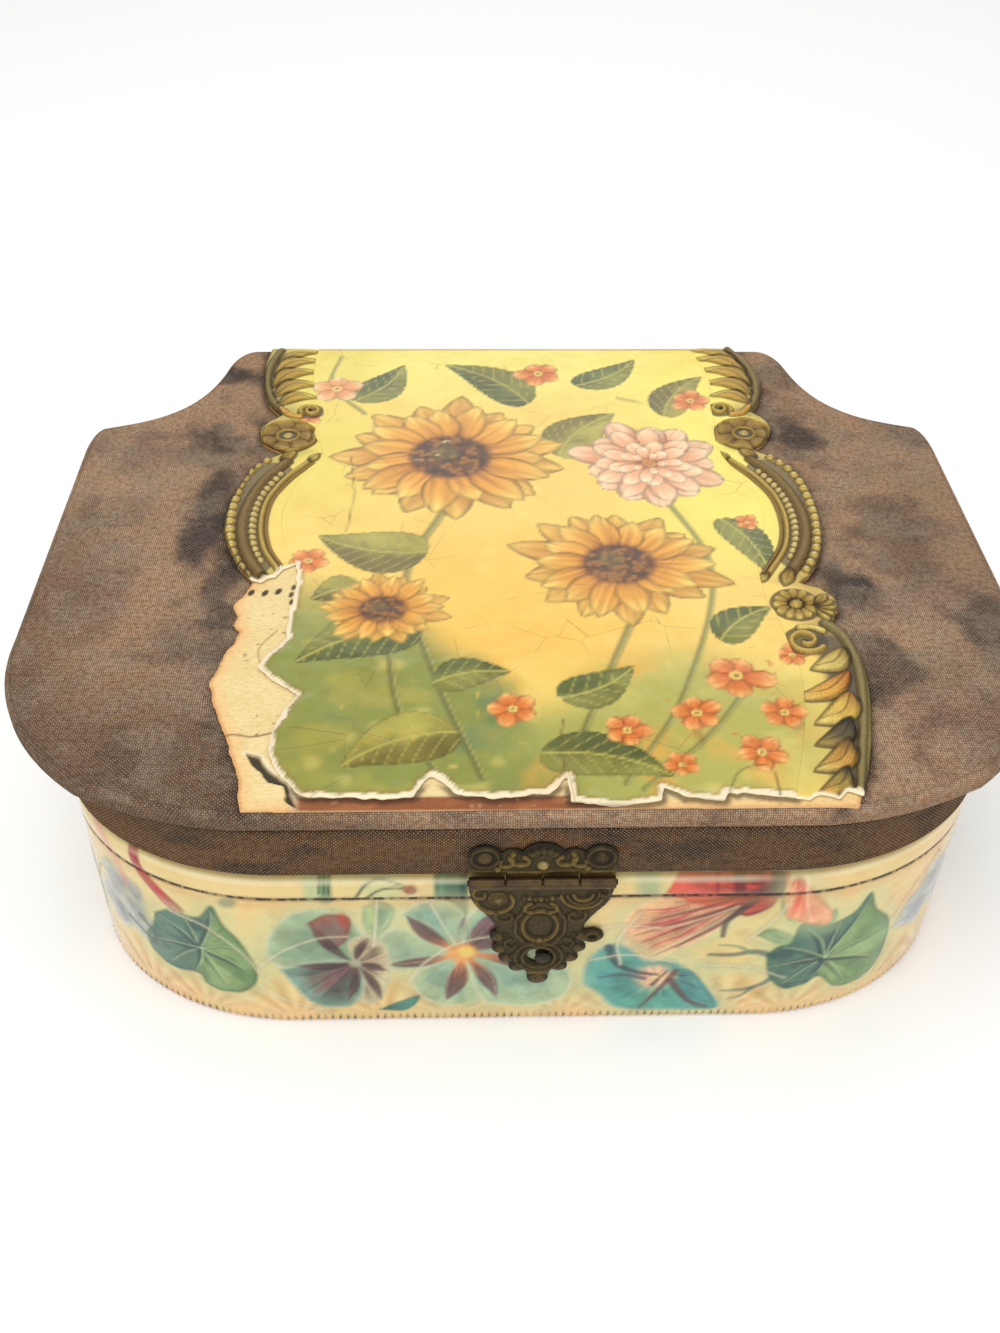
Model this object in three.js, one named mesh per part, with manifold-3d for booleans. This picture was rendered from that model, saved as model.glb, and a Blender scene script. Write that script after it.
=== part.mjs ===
// A celluloid-covered jewelry box: a wrapped wall with a flat shaped lid, two butt hinges and a hanging brass hasp.
// Millimetres. X runs to the right, Y to the back, Z up, and the origin is under the middle of the lid, on the table.
import * as THREE from "three";
import { mergeVertices } from "three/addons/utils/BufferGeometryUtils.js";
import Module from "manifold-3d";

const wasm = await Module();
wasm.setup();

// Fits and stock
const seatGap = 0.3;
const cutOverrun = 1;
const weldDistance = 0.0005;
const sheetThickness = 0.8;
const clothThickness = 0.8;
const paperThickness = 0.8;
const cardThickness = 1;
const printThickness = 0.6;
const wallThickness = 3.5;
const floorBoardThickness = 4;
const lidBoardThickness = 4;
const liningThickness = 1.2;

// Heights
const bodyHeight = 60.6;
const lidHeight = 20.8;
const seamDrop = 9.3;
const seamDepth = 0.4;
const seamHalfWidth = 0.9;
const rimRollWidth = 3.2;
const rimRollHeight = 6;
const footRound = 1.2;
const footHem = 6;
const footLift = 0.2;

// Body plan, right half
const bodyHalfWidth = 119.4;
const bodyFront = 110.6;
const bodyBack = 110.5;
const bodyBackFlat = 83;
const bodyBackCornerX = 94.5;
const bodyBackCornerDepth = 12.5;
const bodySideBack = 15;
const bodyCornerX = 58.2;
const bodyCornerY = 46.3;
const bodyBackCornerShares = [
  [0.55, 0],
  [0.9, 0.5],
];
const bodyBackFlareShares = [
  [0.19, 0.19],
  [1, 0.64],
];

// Lid board plan, right half
const lidHalfWidth = 135.2;
const lidFrontSetback = 0.1;
const lidBackOverhang = 0.4;
const lidBackFlat = 87;
const neckX = 96.5;
const neckDepth = 11.5;
const wingTipX = 131;
const wingTipY = 60;
const wingSideBack = 45;
const wingSideFront = 47;
const shoulderX = 109.3;
const shoulderDepth = 11.8;
const lidFrontFlat = 68;
const lidBackCornerShares = [
  [0.55, 0],
  [0.85, 0.45],
];
const neckShares = [
  [0.171, 0.815],
  [0.658, 0.896],
];
const wingTipShares = [
  [0.62, 0.04],
  [1, 0.4],
];
const wingFrontShares = [
  [-0.031, 0.28],
  [0.158, 0.675],
];
const shoulderShares = [
  [0.298, 0.496],
  [0.588, 0.932],
];
const lidEdgeRound = 1.8;
const apronProud = 0.4;

// Print panel plan, as X and Y of its edge from the back to the front
const panelBackMargin = 1.5;
const panelHalfWidth = 89.9;
const panelFrontMargin = 1.1;
const rightEdgeShares = [
  [0.885, 1],
  [0.941, 0.883],
  [0.941, 0.727],
  [0.887, 0.609],
  [0.933, 0.551],
  [0.917, 0.467],
  [0.845, 0.402],
  [0.959, 0.307],
  [1, 0.155],
  [0.988, -0.032],
  [0.932, -0.165],
  [0.87, -0.228],
  [0.961, -0.29],
  [0.93, -0.388],
  [0.973, -0.484],
  [0.977, -0.593],
  [0.95, -0.73],
  [0.9, -0.889],
  [0.851, -1],
];
const leftEdgeShares = [
  [-0.918, 1],
  [-0.924, 0.821],
  [-0.894, 0.67],
  [-0.834, 0.595],
  [-0.898, 0.527],
  [-0.887, 0.445],
  [-0.8, 0.391],
  [-0.931, 0.213],
  [-0.957, 0.069],
  [-0.929, -0.067],
  [-0.835, -0.206],
  [-0.879, -0.303],
  [-0.852, -0.344],
  [-0.868, -0.381],
  [-0.839, -0.404],
  [-0.882, -0.518],
  [-0.9, -0.591],
  [-0.882, -0.668],
  [-0.857, -0.714],
  [-0.805, -0.83],
  [-0.779, -0.904],
  [-0.756, -1],
];
const tornEdgeShares = [
  [-0.745, -0.155],
  [-0.696, -0.185],
  [-0.697, -0.256],
  [-0.701, -0.438],
  [-0.746, -0.495],
  [-0.775, -0.541],
  [-0.714, -0.593],
  [-0.646, -0.638],
  [-0.693, -0.733],
  [-0.709, -0.793],
  [-0.692, -0.858],
  [-0.617, -0.957],
  [-0.4, -0.963],
  [-0.314, -0.966],
  [-0.268, -0.898],
  [-0.194, -0.963],
  [0.041, -0.96],
  [0.088, -0.906],
  [0.096, -0.979],
  [0.334, -0.981],
  [0.347, -0.943],
  [0.502, -0.984],
  [0.64, -0.972],
  [0.788, -1],
];
const borderThickness = 0.8;
const borderInnerInset = 13;
const reliefHeight = 0.9;
const scrollRadius = 47;
const scrollCentreX = 43;
const scrollCentreY = 11;
const scrollBand = 12;
const scrollHalfAngleShare = 0.23;
const scrollBeadCount = 13;
const scrollLobeCount = 11;
const beadRadius = 1.5;
const lobeRadius = 3.1;
const rosetteX = 74.5;
const rosetteY = 54.4;
const flowerX = 77.5;
const flowerY = -33.8;
const petalCount = 8;
const petalRing = 4.3;
const petalRadius = 2.3;
const curlTube = 1.1;
const backCurlX = 73.5;
const backCurlY = 77;
const frontCurlX = 76;
const frontCurlY = -47.9;
const curlRadius = 3.2;
const backLeafX = 76;
const backLeafLength = 27;
const backLobeCount = 5;
const frontLeafX = 80.5;
const frontLeafStart = 56;
const frontLeafLength = 44;
const frontLobeCount = 7;
const leafLobeLength = 6.5;
const leafLobeWidth = 2.6;

// Clasp
const claspCentreX = 2.45;
const claspWidth = 35.8;
const claspKnuckles = 4;
const claspAxisDrop = 1;
const plateThickness = 0.8;
const barrelRadius = 1.6;
const pinRadius = 0.7;
const leafEarX = 13.9;
const leafEarZ = 8;
const leafEarRadius = 4.1;
const leafCrownZ = 7.4;
const leafCrownRadius = 5.6;
const leafLobeX = 7.2;
const leafLobeZ = 7.6;
const leafLobeRadius = 3.3;
const leafStart = 2.4;
const leafBand = 7;
const haspTop = 2.4;
const haspBottom = 39.2;
const haspEdgeShares = [
  [1, 0],
  [0.94, 0.16],
  [0.82, 0.25],
  [0.63, 0.41],
  [0.62, 0.57],
  [0.53, 0.71],
  [0.39, 0.83],
  [0.17, 0.93],
  [0.13, 1],
];
const haspLobeShares = [
  [0.58, 0.53],
  [0.55, 0.66],
  [0.45, 0.77],
  [0.3, 0.87],
];
const haspLobeRadius = 2.1;
const haspTipRadius = 2.7;
const haspEarReach = 13.4;
const haspEarZ = 22.1;
const haspEarRadius = 2.7;
const haspBossZ = 17.6;
const haspBossRadius = 5;
const haspHoleZ = 30;
const haspHoleRadius = 3;
const haspHoleRim = 4.1;
const haspCurlX = 11.3;
const haspCurlZ = 7;
const haspCurlRadius = 2.7;
const haspRidgeCount = 7;
const claspReliefTube = 0.6;
const claspNailHead = 2;
const studRadius = 1.8;
const studOffset = 1;
const studReach = 2.6;
const studDepth = 3.4;
const studHead = 2.05;

// Hinges and nails
const hingeOffset = 55;
const hingeWidth = 26;
const hingeKnuckles = 3;
const hingeLeafReach = 13;
const hingeNailX = 8.5;
const hingeNailZ = 8.5;
const hingeNailHead = 1.7;
const nailShank = 0.6;
const nailDepth = 4.2;
const nailHeadHeight = 0.7;

// Soft lining
const cushionHeight = 7;
const cushionCrown = 4;
const lidPadHeight = 4;
const lidPadCrown = 3.4;
const padEdgeDraw = 2.4;
const padRings = 13;
const tuftDepth = 3;
const tuftRadius = 11;
const tuftSpacingX = 46;
const tuftSpacingY = 40;

// Number of facets
const roundFacets = 16;
const smallFacets = 8;
const reliefFacets = 6;
const ringFacets = 14;
const rollSteps = 4;
const cornerSteps = 10;
const curveSteps = 6;

// Derived places
const openingHeight = bodyHeight;
const totalHeight = bodyHeight + lidHeight;
const seamHeight = bodyHeight - seamDrop;
const bodyBackCornerY = bodyBack - bodyBackCornerDepth;
const lidFront = bodyFront - lidFrontSetback;
const lidBack = bodyBack + lidBackOverhang;
const neckY = lidBack - neckDepth;
const shoulderY = lidFront - shoulderDepth;
const panelBack = lidBack - panelBackMargin;
const panelFront = lidFront - panelFrontMargin;
const floorTop = paperThickness + seatGap + floorBoardThickness;
const rimTop = openingHeight - seatGap;
const wallTop = rimTop - sheetThickness - seatGap;
const boardTop = totalHeight - clothThickness - seatGap;
const boardUnderside = boardTop - lidBoardThickness;
const apronTop = boardUnderside - seatGap;
const cardBottom = boardTop + seatGap;
const printBottom = cardBottom + cardThickness + seatGap;
const wallInset = sheetThickness + seatGap;
const wallFoot = footLift + sheetThickness + seatGap;
const liningInset = wallInset + wallThickness + seatGap;
const padInset = liningInset + liningThickness + seatGap;
const apronOuter = -apronProud;
const apronFront = bodyFront + apronProud;
const apronBack = bodyBack + apronProud;
const claspAxisY = -(apronFront + seatGap + barrelRadius);
const claspAxisZ = openingHeight - claspAxisDrop;
const hingeAxisY = apronBack + seatGap + barrelRadius;
const hingeAxisZ = openingHeight;
const boreRadius = pinRadius + seatGap;

// Finishes
const finish = (colour, roughness, metalness) =>
  new THREE.MeshStandardMaterial({ color: colour, roughness, metalness });
const celluloid = finish(0xebd7a0, 0.25, 0);
const printFinish = finish(0xe9c95c, 0.22, 0);
const cardFinish = finish(0xf2cf9c, 0.8, 0);
const clothFinish = finish(0x8c7362, 0.95, 0);
const apronFinish = finish(0x735c4b, 0.95, 0);
const woodFinish = finish(0xb08a5c, 0.7, 0);
const paperFinish = finish(0xcdbd9c, 0.9, 0);
const satinFinish = finish(0xc9a25c, 0.45, 0);
const giltFinish = finish(0x9c8544, 0.45, 0.7);
const brassFinish = finish(0x5a4f33, 0.5, 0.85);

// A closed three.js geometry as a solid, with its faces turned outwards.
function solid(geometry) {
  const bare = geometry.index ? geometry.toNonIndexed() : geometry.clone();
  bare.deleteAttribute("normal");
  bare.deleteAttribute("uv");
  const merged = mergeVertices(bare, weldDistance);
  const triVerts = new Uint32Array(merged.index.array);
  const vertProperties = merged.attributes.position.array;
  const made = new wasm.Manifold(new wasm.Mesh({ numProp: 3, vertProperties, triVerts }));
  if (made.volume() >= 0) return made;
  for (let i = 0; i < triVerts.length; i += 3) {
    [triVerts[i + 1], triVerts[i + 2]] = [triVerts[i + 2], triVerts[i + 1]];
  }
  return new wasm.Manifold(new wasm.Mesh({ numProp: 3, vertProperties, triVerts }));
}

// The geometry of a solid, ready for a mesh.
function geometryOf(made) {
  const { vertProperties, triVerts } = made.getMesh();
  const geometry = new THREE.BufferGeometry();
  geometry.setAttribute("position", new THREE.BufferAttribute(new Float32Array(vertProperties), 3));
  geometry.setIndex(new THREE.BufferAttribute(new Uint32Array(triVerts), 1));
  geometry.computeVertexNormals();
  return geometry;
}

// All the given solids as one.
const joined = (solids) => solids.reduce((whole, next) => whole.add(next));

// The first solid with the others taken away.
const cut = (whole, tools) => tools.reduce((left, tool) => left.subtract(tool), whole);

// Points after start, up to end, along a cubic curve with its handles as shares of the step.
function bend(start, end, handleShares, steps) {
  const step = end.clone().sub(start);
  const [first, second] = handleShares.map(
    ([x, y]) => new THREE.Vector2(start.x + x * step.x, start.y + y * step.y),
  );
  return new THREE.CubicBezierCurve(start, first, second, end).getPoints(steps).slice(1);
}

// A half plan on the right, from back to front, mirrored into a closed counter-clockwise plan.
function mirroredPlan(half) {
  const left = half.map((p) => new THREE.Vector2(-p.x, p.y)).reverse();
  return [...half, ...left].reverse();
}

function bodyPlan() {
  const backFlat = new THREE.Vector2(bodyBackFlat, bodyBack);
  const backCorner = new THREE.Vector2(bodyBackCornerX, bodyBackCornerY);
  const sideBack = new THREE.Vector2(bodyHalfWidth, bodySideBack);
  const half = [
    backFlat,
    ...bend(backFlat, backCorner, bodyBackCornerShares, curveSteps),
    ...bend(backCorner, sideBack, bodyBackFlareShares, curveSteps),
  ];
  for (let i = 0; i <= cornerSteps; i++) {
    const angle = (i / cornerSteps) * (Math.PI / 2);
    half.push(
      new THREE.Vector2(
        bodyHalfWidth - bodyCornerX * (1 - Math.cos(angle)),
        bodyCornerY * (1 - Math.sin(angle)) - bodyFront,
      ),
    );
  }
  return mirroredPlan(half);
}

function lidPlan() {
  const backFlat = new THREE.Vector2(lidBackFlat, lidBack);
  const neck = new THREE.Vector2(neckX, neckY);
  const tip = new THREE.Vector2(wingTipX, wingTipY);
  const sideBack = new THREE.Vector2(lidHalfWidth, wingSideBack);
  const sideFront = new THREE.Vector2(lidHalfWidth, -wingSideFront);
  const shoulder = new THREE.Vector2(shoulderX, -shoulderY);
  const frontFlat = new THREE.Vector2(lidFrontFlat, -lidFront);
  return mirroredPlan([
    backFlat,
    ...bend(backFlat, neck, lidBackCornerShares, curveSteps),
    ...bend(neck, tip, neckShares, cornerSteps),
    ...bend(tip, sideBack, wingTipShares, curveSteps),
    sideFront,
    ...bend(sideFront, shoulder, wingFrontShares, cornerSteps),
    ...bend(shoulder, frontFlat, shoulderShares, curveSteps),
  ]);
}

// A closed counter-clockwise plan moved inwards, each corner along its bisector.
function inset(plan, distance) {
  return plan.map((point, i) => {
    const before = point.clone().sub(plan[(i + plan.length - 1) % plan.length]).normalize();
    const after = plan[(i + 1) % plan.length].clone().sub(point).normalize();
    const inwards = new THREE.Vector2(-before.y - after.y, before.x + after.x).normalize();
    const reach = distance / Math.sqrt((1 + before.dot(after)) / 2);
    return point.clone().addScaledVector(inwards, reach);
  });
}

// Rings of points carried along a profile of insets and heights, joined by faces. An open profile gets flat caps.
function carried(plan, profile, closesOnItself) {
  const count = plan.length;
  const rings = profile.map(([distance, z]) => inset(plan, distance).map((p) => [p.x, p.y, z]));
  const positions = rings.flat(2);
  const faces = [];
  const last = closesOnItself ? profile.length : profile.length - 1;
  for (let j = 0; j < last; j++) {
    const below = j * count;
    const above = ((j + 1) % profile.length) * count;
    for (let i = 0; i < count; i++) {
      const next = (i + 1) % count;
      faces.push(below + i, below + next, above + next, below + i, above + next, above + i);
    }
  }
  if (!closesOnItself) {
    const capOf = (ring) =>
      THREE.ShapeUtils.triangulateShape(
        ring.map(([x, y]) => new THREE.Vector2(x, y)),
        [],
      );
    const top = (rings.length - 1) * count;
    capOf(rings[0]).forEach(([a, b, c]) => faces.push(c, b, a));
    capOf(rings.at(-1)).forEach(([a, b, c]) => faces.push(top + a, top + b, top + c));
  }
  const geometry = new THREE.BufferGeometry();
  geometry.setAttribute("position", new THREE.Float32BufferAttribute(positions, 3));
  geometry.setIndex(faces);
  return geometry;
}

// A flat piece of a plan between two heights.
function slab(plan, bottom, top) {
  const geometry = new THREE.ExtrudeGeometry(new THREE.Shape(plan), {
    depth: top - bottom,
    bevelEnabled: false,
  });
  return geometry.translate(0, 0, bottom);
}

// The quarter ellipse of the rim roll, drawn smaller by a distance, from its foot to its top.
function rimRoll(distance) {
  return Array.from({ length: rollSteps + 1 }, (_, i) => {
    const angle = (i / rollSteps) * (Math.PI / 2);
    return [
      rimRollWidth - (rimRollWidth - distance) * Math.cos(angle),
      rimTop - rimRollHeight + (rimRollHeight - distance) * Math.sin(angle),
    ];
  });
}

// A rod along X, centred on the axis that runs through the origin.
function rodAlongX(radius, from, to, facets) {
  return new THREE.CylinderGeometry(radius, radius, to - from, facets)
    .rotateZ(Math.PI / 2)
    .translate((from + to) / 2, 0, 0);
}

// A rod along Y, at a place of X and Z.
function rodAlongY(radius, x, z, from, to, facets) {
  return new THREE.CylinderGeometry(radius, radius, to - from, facets).translate(x, (from + to) / 2, z);
}

// A plate drawn in X and Z that grows towards the front from a depth.
function frontPlate(points, back, thickness) {
  return new THREE.ExtrudeGeometry(new THREE.Shape(points), { depth: thickness, bevelEnabled: false })
    .rotateX(Math.PI / 2)
    .translate(0, back, 0);
}

// A raised half round ring on the front of a plate.
function frontRing(radius, tube, x, z, face) {
  return new THREE.TorusGeometry(radius, tube, reliefFacets, ringFacets).rotateX(Math.PI / 2).translate(x, face, z);
}

// A raised bead, stretched along three directions.
function bead(radiusX, radiusY, radiusZ, x, y, z, turn = 0) {
  return new THREE.SphereGeometry(1, reliefFacets, reliefFacets - 2)
    .scale(radiusX, radiusY, radiusZ)
    .rotateZ(turn)
    .translate(x, y, z);
}

// Where each knuckle of a barrel starts and ends, from left to right.
function knuckleSpans(width, count) {
  const length = (width - (count - 1) * seatGap) / count;
  return Array.from({ length: count }, (_, i) => {
    const from = i * (length + seatGap) - width / 2;
    return [from, from + length];
  });
}

// One leaf with its own knuckles about the X axis: upwards is 1 for the leaf above the axis and -1 below.
function knuckledLeaf(leafSolids, spans, own, upwards, leafEdge) {
  const ownSpans = spans.filter((_, i) => own.includes(i));
  const otherSpans = spans.filter((_, i) => !own.includes(i));
  const back = barrelRadius;
  const tabs = ownSpans.map(([from, to]) => {
    const height = leafEdge + seatGap;
    return solid(
      new THREE.BoxGeometry(to - from, plateThickness, height).translate(
        (from + to) / 2,
        back - plateThickness / 2,
        (upwards * height) / 2,
      ),
    );
  });
  const barrels = ownSpans.map(([from, to]) => solid(rodAlongX(barrelRadius, from, to, roundFacets)));
  const bores = ownSpans.map(([from, to]) =>
    solid(rodAlongX(boreRadius, from - cutOverrun, to + cutOverrun, smallFacets)),
  );
  const clearances = otherSpans.map(([from, to]) =>
    solid(rodAlongX(barrelRadius + seatGap, from - seatGap, to + seatGap, roundFacets)),
  );
  return cut(joined([...leafSolids, ...tabs, ...barrels]), [...bores, ...clearances]);
}

// A nail along Y with its domed head at the front.
function nail(headRadius, shankRadius, depth, headHeight) {
  const profile = [
    [0, -depth],
    [shankRadius, -depth],
    [shankRadius, 0],
    [headRadius, 0],
    [headRadius * Math.SQRT1_2, headHeight * Math.SQRT1_2],
    [0, headHeight],
  ].map(([x, y]) => new THREE.Vector2(x, y));
  return new THREE.LatheGeometry(profile, smallFacets).rotateX(Math.PI);
}

// A puffed satin pad: a flat back, drawn-in sides and a crown sewn down at its tufts.
function puffedPad(plan, base, edgeHeight, crown, downwards) {
  const sign = downwards ? -1 : 1;
  const count = plan.length;
  const tuftAt = (x, y) => {
    const row = Math.round(y / tuftSpacingY);
    const shift = (Math.abs(row % 2) * tuftSpacingX) / 2;
    const column = Math.round((x - shift) / tuftSpacingX);
    const distance = Math.hypot(x - shift - column * tuftSpacingX, y - row * tuftSpacingY);
    return Math.exp(-((distance / tuftRadius) ** 2));
  };
  const positions = [];
  const foot = inset(plan, padEdgeDraw);
  foot.forEach((p) => positions.push(p.x, p.y, base));
  plan.forEach((p) => positions.push(p.x, p.y, base + (sign * edgeHeight) / 2));
  for (let ring = 0; ring < padRings; ring++) {
    const share = 1 - (ring + 1 / 2) / padRings;
    plan.forEach((p) => {
      const x = p.x * share;
      const y = p.y * share;
      const rise = crown * (1 - share ** 6) * (1 - (tuftDepth / crown) * tuftAt(x, y));
      positions.push(x, y, base + sign * (edgeHeight + rise));
    });
  }
  const faces = [];
  for (let j = 0; j <= padRings; j++) {
    for (let i = 0; i < count; i++) {
      const next = (i + 1) % count;
      const [low, high] = [j * count, (j + 1) * count];
      faces.push(low + i, low + next, high + next, low + i, high + next, high + i);
    }
  }
  const footCentre = positions.length / 3;
  positions.push(0, 0, base);
  positions.push(0, 0, base + sign * (edgeHeight + crown - tuftDepth));
  const last = (padRings + 1) * count;
  for (let i = 0; i < count; i++) {
    const next = (i + 1) % count;
    faces.push(next, i, footCentre, last + i, last + next, footCentre + 1);
  }
  const geometry = new THREE.BufferGeometry();
  geometry.setAttribute("position", new THREE.Float32BufferAttribute(positions, 3));
  geometry.setIndex(faces);
  return geometryOf(solid(geometry));
}

const root = new THREE.Group();
const baseGroup = new THREE.Group();
const lidGroup = new THREE.Group();
const haspGroup = new THREE.Group();
haspGroup.position.set(claspCentreX, claspAxisY, claspAxisZ);
root.add(baseGroup, lidGroup, haspGroup);

function addPiece(group, name, geometry, material) {
  const piece = new THREE.Mesh(geometry, material);
  piece.name = name;
  group.add(piece);
  return piece;
}

// Fasteners: each nail's place, how deep it goes behind the face it starts from, and the side it is driven from.
const claspNails = [-1, 1].map((side) => ({
  name: side < 0 ? "clasp_nail_left" : "clasp_nail_right",
  x: claspCentreX + side * leafEarX,
  z: claspAxisZ + leafEarZ,
}));
const hingeNails = [-1, 1].flatMap((hingeSide) =>
  [-1, 1].flatMap((nailSide) =>
    [-1, 1].map((level) => ({
      name: `hinge_nail_${level > 0 ? "lid" : "base"}_${hingeSide < 0 ? "left" : "right"}_${nailSide < 0 ? "a" : "b"}`,
      x: hingeSide * hingeOffset + nailSide * hingeNailX,
      z: hingeAxisZ + level * hingeNailZ,
      inLid: level > 0,
    })),
  ),
);
const nailHole = nailShank + seatGap;
const claspNailEnd = -(apronFront + seatGap + plateThickness + seatGap - nailDepth);
const hingeNailStart = apronBack + seatGap + plateThickness + seatGap;
const hingeNailEnd = hingeNailStart - nailDepth;
const studX = claspCentreX + studOffset;
const studZ = claspAxisZ - haspHoleZ;
const studEnd = -(bodyFront - studDepth);

const frontHoles = claspNails.map((n) =>
  solid(rodAlongY(nailHole, n.x, n.z, -(apronFront + cutOverrun), claspNailEnd + seatGap, smallFacets)),
);
const backHoles = (inLid) =>
  hingeNails
    .filter((n) => n.inLid === inLid)
    .map((n) =>
      solid(rodAlongY(nailHole, n.x, n.z, hingeNailEnd - seatGap, apronBack + cutOverrun, smallFacets)),
    );
const studHole = solid(
  rodAlongY(studRadius + seatGap, studX, studZ, -(bodyFront + cutOverrun), studEnd + seatGap, roundFacets),
);

// Base
const body = bodyPlan();

function buildBase() {
  addPiece(baseGroup, "underside_paper", slab(inset(body, footHem + seatGap), 0, paperThickness), paperFinish);
  addPiece(
    baseGroup,
    "base_board",
    slab(inset(body, liningInset), paperThickness + seatGap, floorTop),
    woodFinish,
  );
  const wallProfile = [
    [wallInset, wallFoot],
    ...rimRoll(wallInset),
    [wallInset + wallThickness, wallTop],
    [wallInset + wallThickness, wallFoot],
  ];
  const wall = cut(solid(carried(body, wallProfile, true)), [...backHoles(false), studHole]);
  addPiece(baseGroup, "base_wall", geometryOf(wall), woodFinish);

  const wrapProfile = [
    [footHem, footLift],
    [footRound, footLift],
    [footRound * (1 - Math.SQRT1_2), footLift + footRound * (1 - Math.SQRT1_2)],
    [0, footLift + footRound],
    [0, seamHeight - seamHalfWidth],
    [seamDepth, seamHeight],
    [0, seamHeight + seamHalfWidth],
    ...rimRoll(0),
    [liningInset + liningThickness, rimTop],
    [liningInset + liningThickness, rimTop - sheetThickness],
    ...rimRoll(sheetThickness).reverse(),
    [sheetThickness, footLift + sheetThickness],
    [footHem, footLift + sheetThickness],
  ];
  const wrap = cut(solid(carried(body, wrapProfile, true)), [...backHoles(false), studHole]);
  addPiece(baseGroup, "base_wrap", geometryOf(wrap), celluloid);

  const liningProfile = [
    [liningInset, floorTop + seatGap],
    [liningInset, rimTop - sheetThickness - seatGap],
    [liningInset + liningThickness, rimTop - sheetThickness - seatGap],
    [liningInset + liningThickness, floorTop + seatGap],
  ];
  addPiece(baseGroup, "base_lining_wall", carried(body, liningProfile, true), satinFinish);
  addPiece(
    baseGroup,
    "floor_cushion",
    puffedPad(inset(body, padInset), floorTop + seatGap, cushionHeight, cushionCrown, false),
    satinFinish,
  );
  const stud = nail(studHead, studRadius, studReach + studDepth, nailHeadHeight);
  addPiece(baseGroup, "catch_stud", stud, brassFinish).position.set(studX, -(bodyFront + studReach), studZ);
}

// Lid
function buildLid() {
  const board = lidPlan();
  const boardInset = clothThickness + seatGap;
  addPiece(lidGroup, "lid_board", slab(inset(board, boardInset), boardUnderside, boardTop), woodFinish);

  const panel = panelPlan();
  const clothProfile = [
    [clothThickness, boardTop + seatGap],
    [clothThickness, boardUnderside],
    [0, boardUnderside],
    [0, totalHeight - lidEdgeRound],
    [lidEdgeRound * (1 - Math.SQRT1_2), totalHeight - lidEdgeRound * (1 - Math.SQRT1_2)],
    [lidEdgeRound, totalHeight],
  ];
  const window = slab(inset(panel, -seatGap), boardTop, totalHeight + cutOverrun);
  const cloth = cut(solid(carried(board, clothProfile, false)), [solid(window)]);
  addPiece(lidGroup, "lid_cloth", geometryOf(cloth), clothFinish);

  const turnedUnder = openingHeight + clothThickness;
  const apronInset = apronOuter + clothThickness + seatGap;
  const apronInner = apronInset + wallThickness;
  const apronProfile = [
    [apronInset, turnedUnder + seatGap],
    [apronInset, apronTop],
    [apronInner, apronTop],
    [apronInner, turnedUnder + seatGap],
  ];
  const apron = cut(solid(carried(body, apronProfile, true)), [...frontHoles, ...backHoles(true)]);
  addPiece(lidGroup, "lid_apron", geometryOf(apron), woodFinish);

  const apronClothProfile = [
    [apronInner, openingHeight],
    [apronOuter + clothThickness, openingHeight],
    [apronOuter, turnedUnder],
    [apronOuter, apronTop],
    [apronOuter + clothThickness, apronTop],
    [apronOuter + clothThickness, turnedUnder],
    [apronInner, turnedUnder],
  ];
  const apronCloth = cut(solid(carried(body, apronClothProfile, true)), [...frontHoles, ...backHoles(true)]);
  addPiece(lidGroup, "apron_cloth", geometryOf(apronCloth), apronFinish);

  const lidLining = apronInner + seatGap;
  const liningProfile = [
    [lidLining, openingHeight],
    [lidLining, apronTop],
    [lidLining + liningThickness, apronTop],
    [lidLining + liningThickness, openingHeight],
  ];
  addPiece(lidGroup, "lid_lining_wall", carried(body, liningProfile, true), satinFinish);
  const padPlan = inset(body, lidLining + liningThickness + seatGap);
  addPiece(
    lidGroup,
    "lid_lining_pad",
    puffedPad(padPlan, boardUnderside - seatGap, lidPadHeight, lidPadCrown, true),
    satinFinish,
  );
  buildPanel(panel);
}

// Print panel
const onPanel = ([x, y]) =>
  new THREE.Vector2(x * panelHalfWidth, y * (y > 0 ? panelBack : panelFront));

function panelPlan() {
  return [...rightEdgeShares.map(onPanel).reverse(), ...leftEdgeShares.map(onPanel)];
}

// The scroll arc of a border: points at a radius, from the back end to the front end.
function scrollPoint(radius, share) {
  const angle = (1 / 2 - share) * 2 * scrollHalfAngleShare * Math.PI;
  return new THREE.Vector2(scrollCentreX + radius * Math.cos(angle), scrollCentreY + radius * Math.sin(angle));
}

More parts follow.
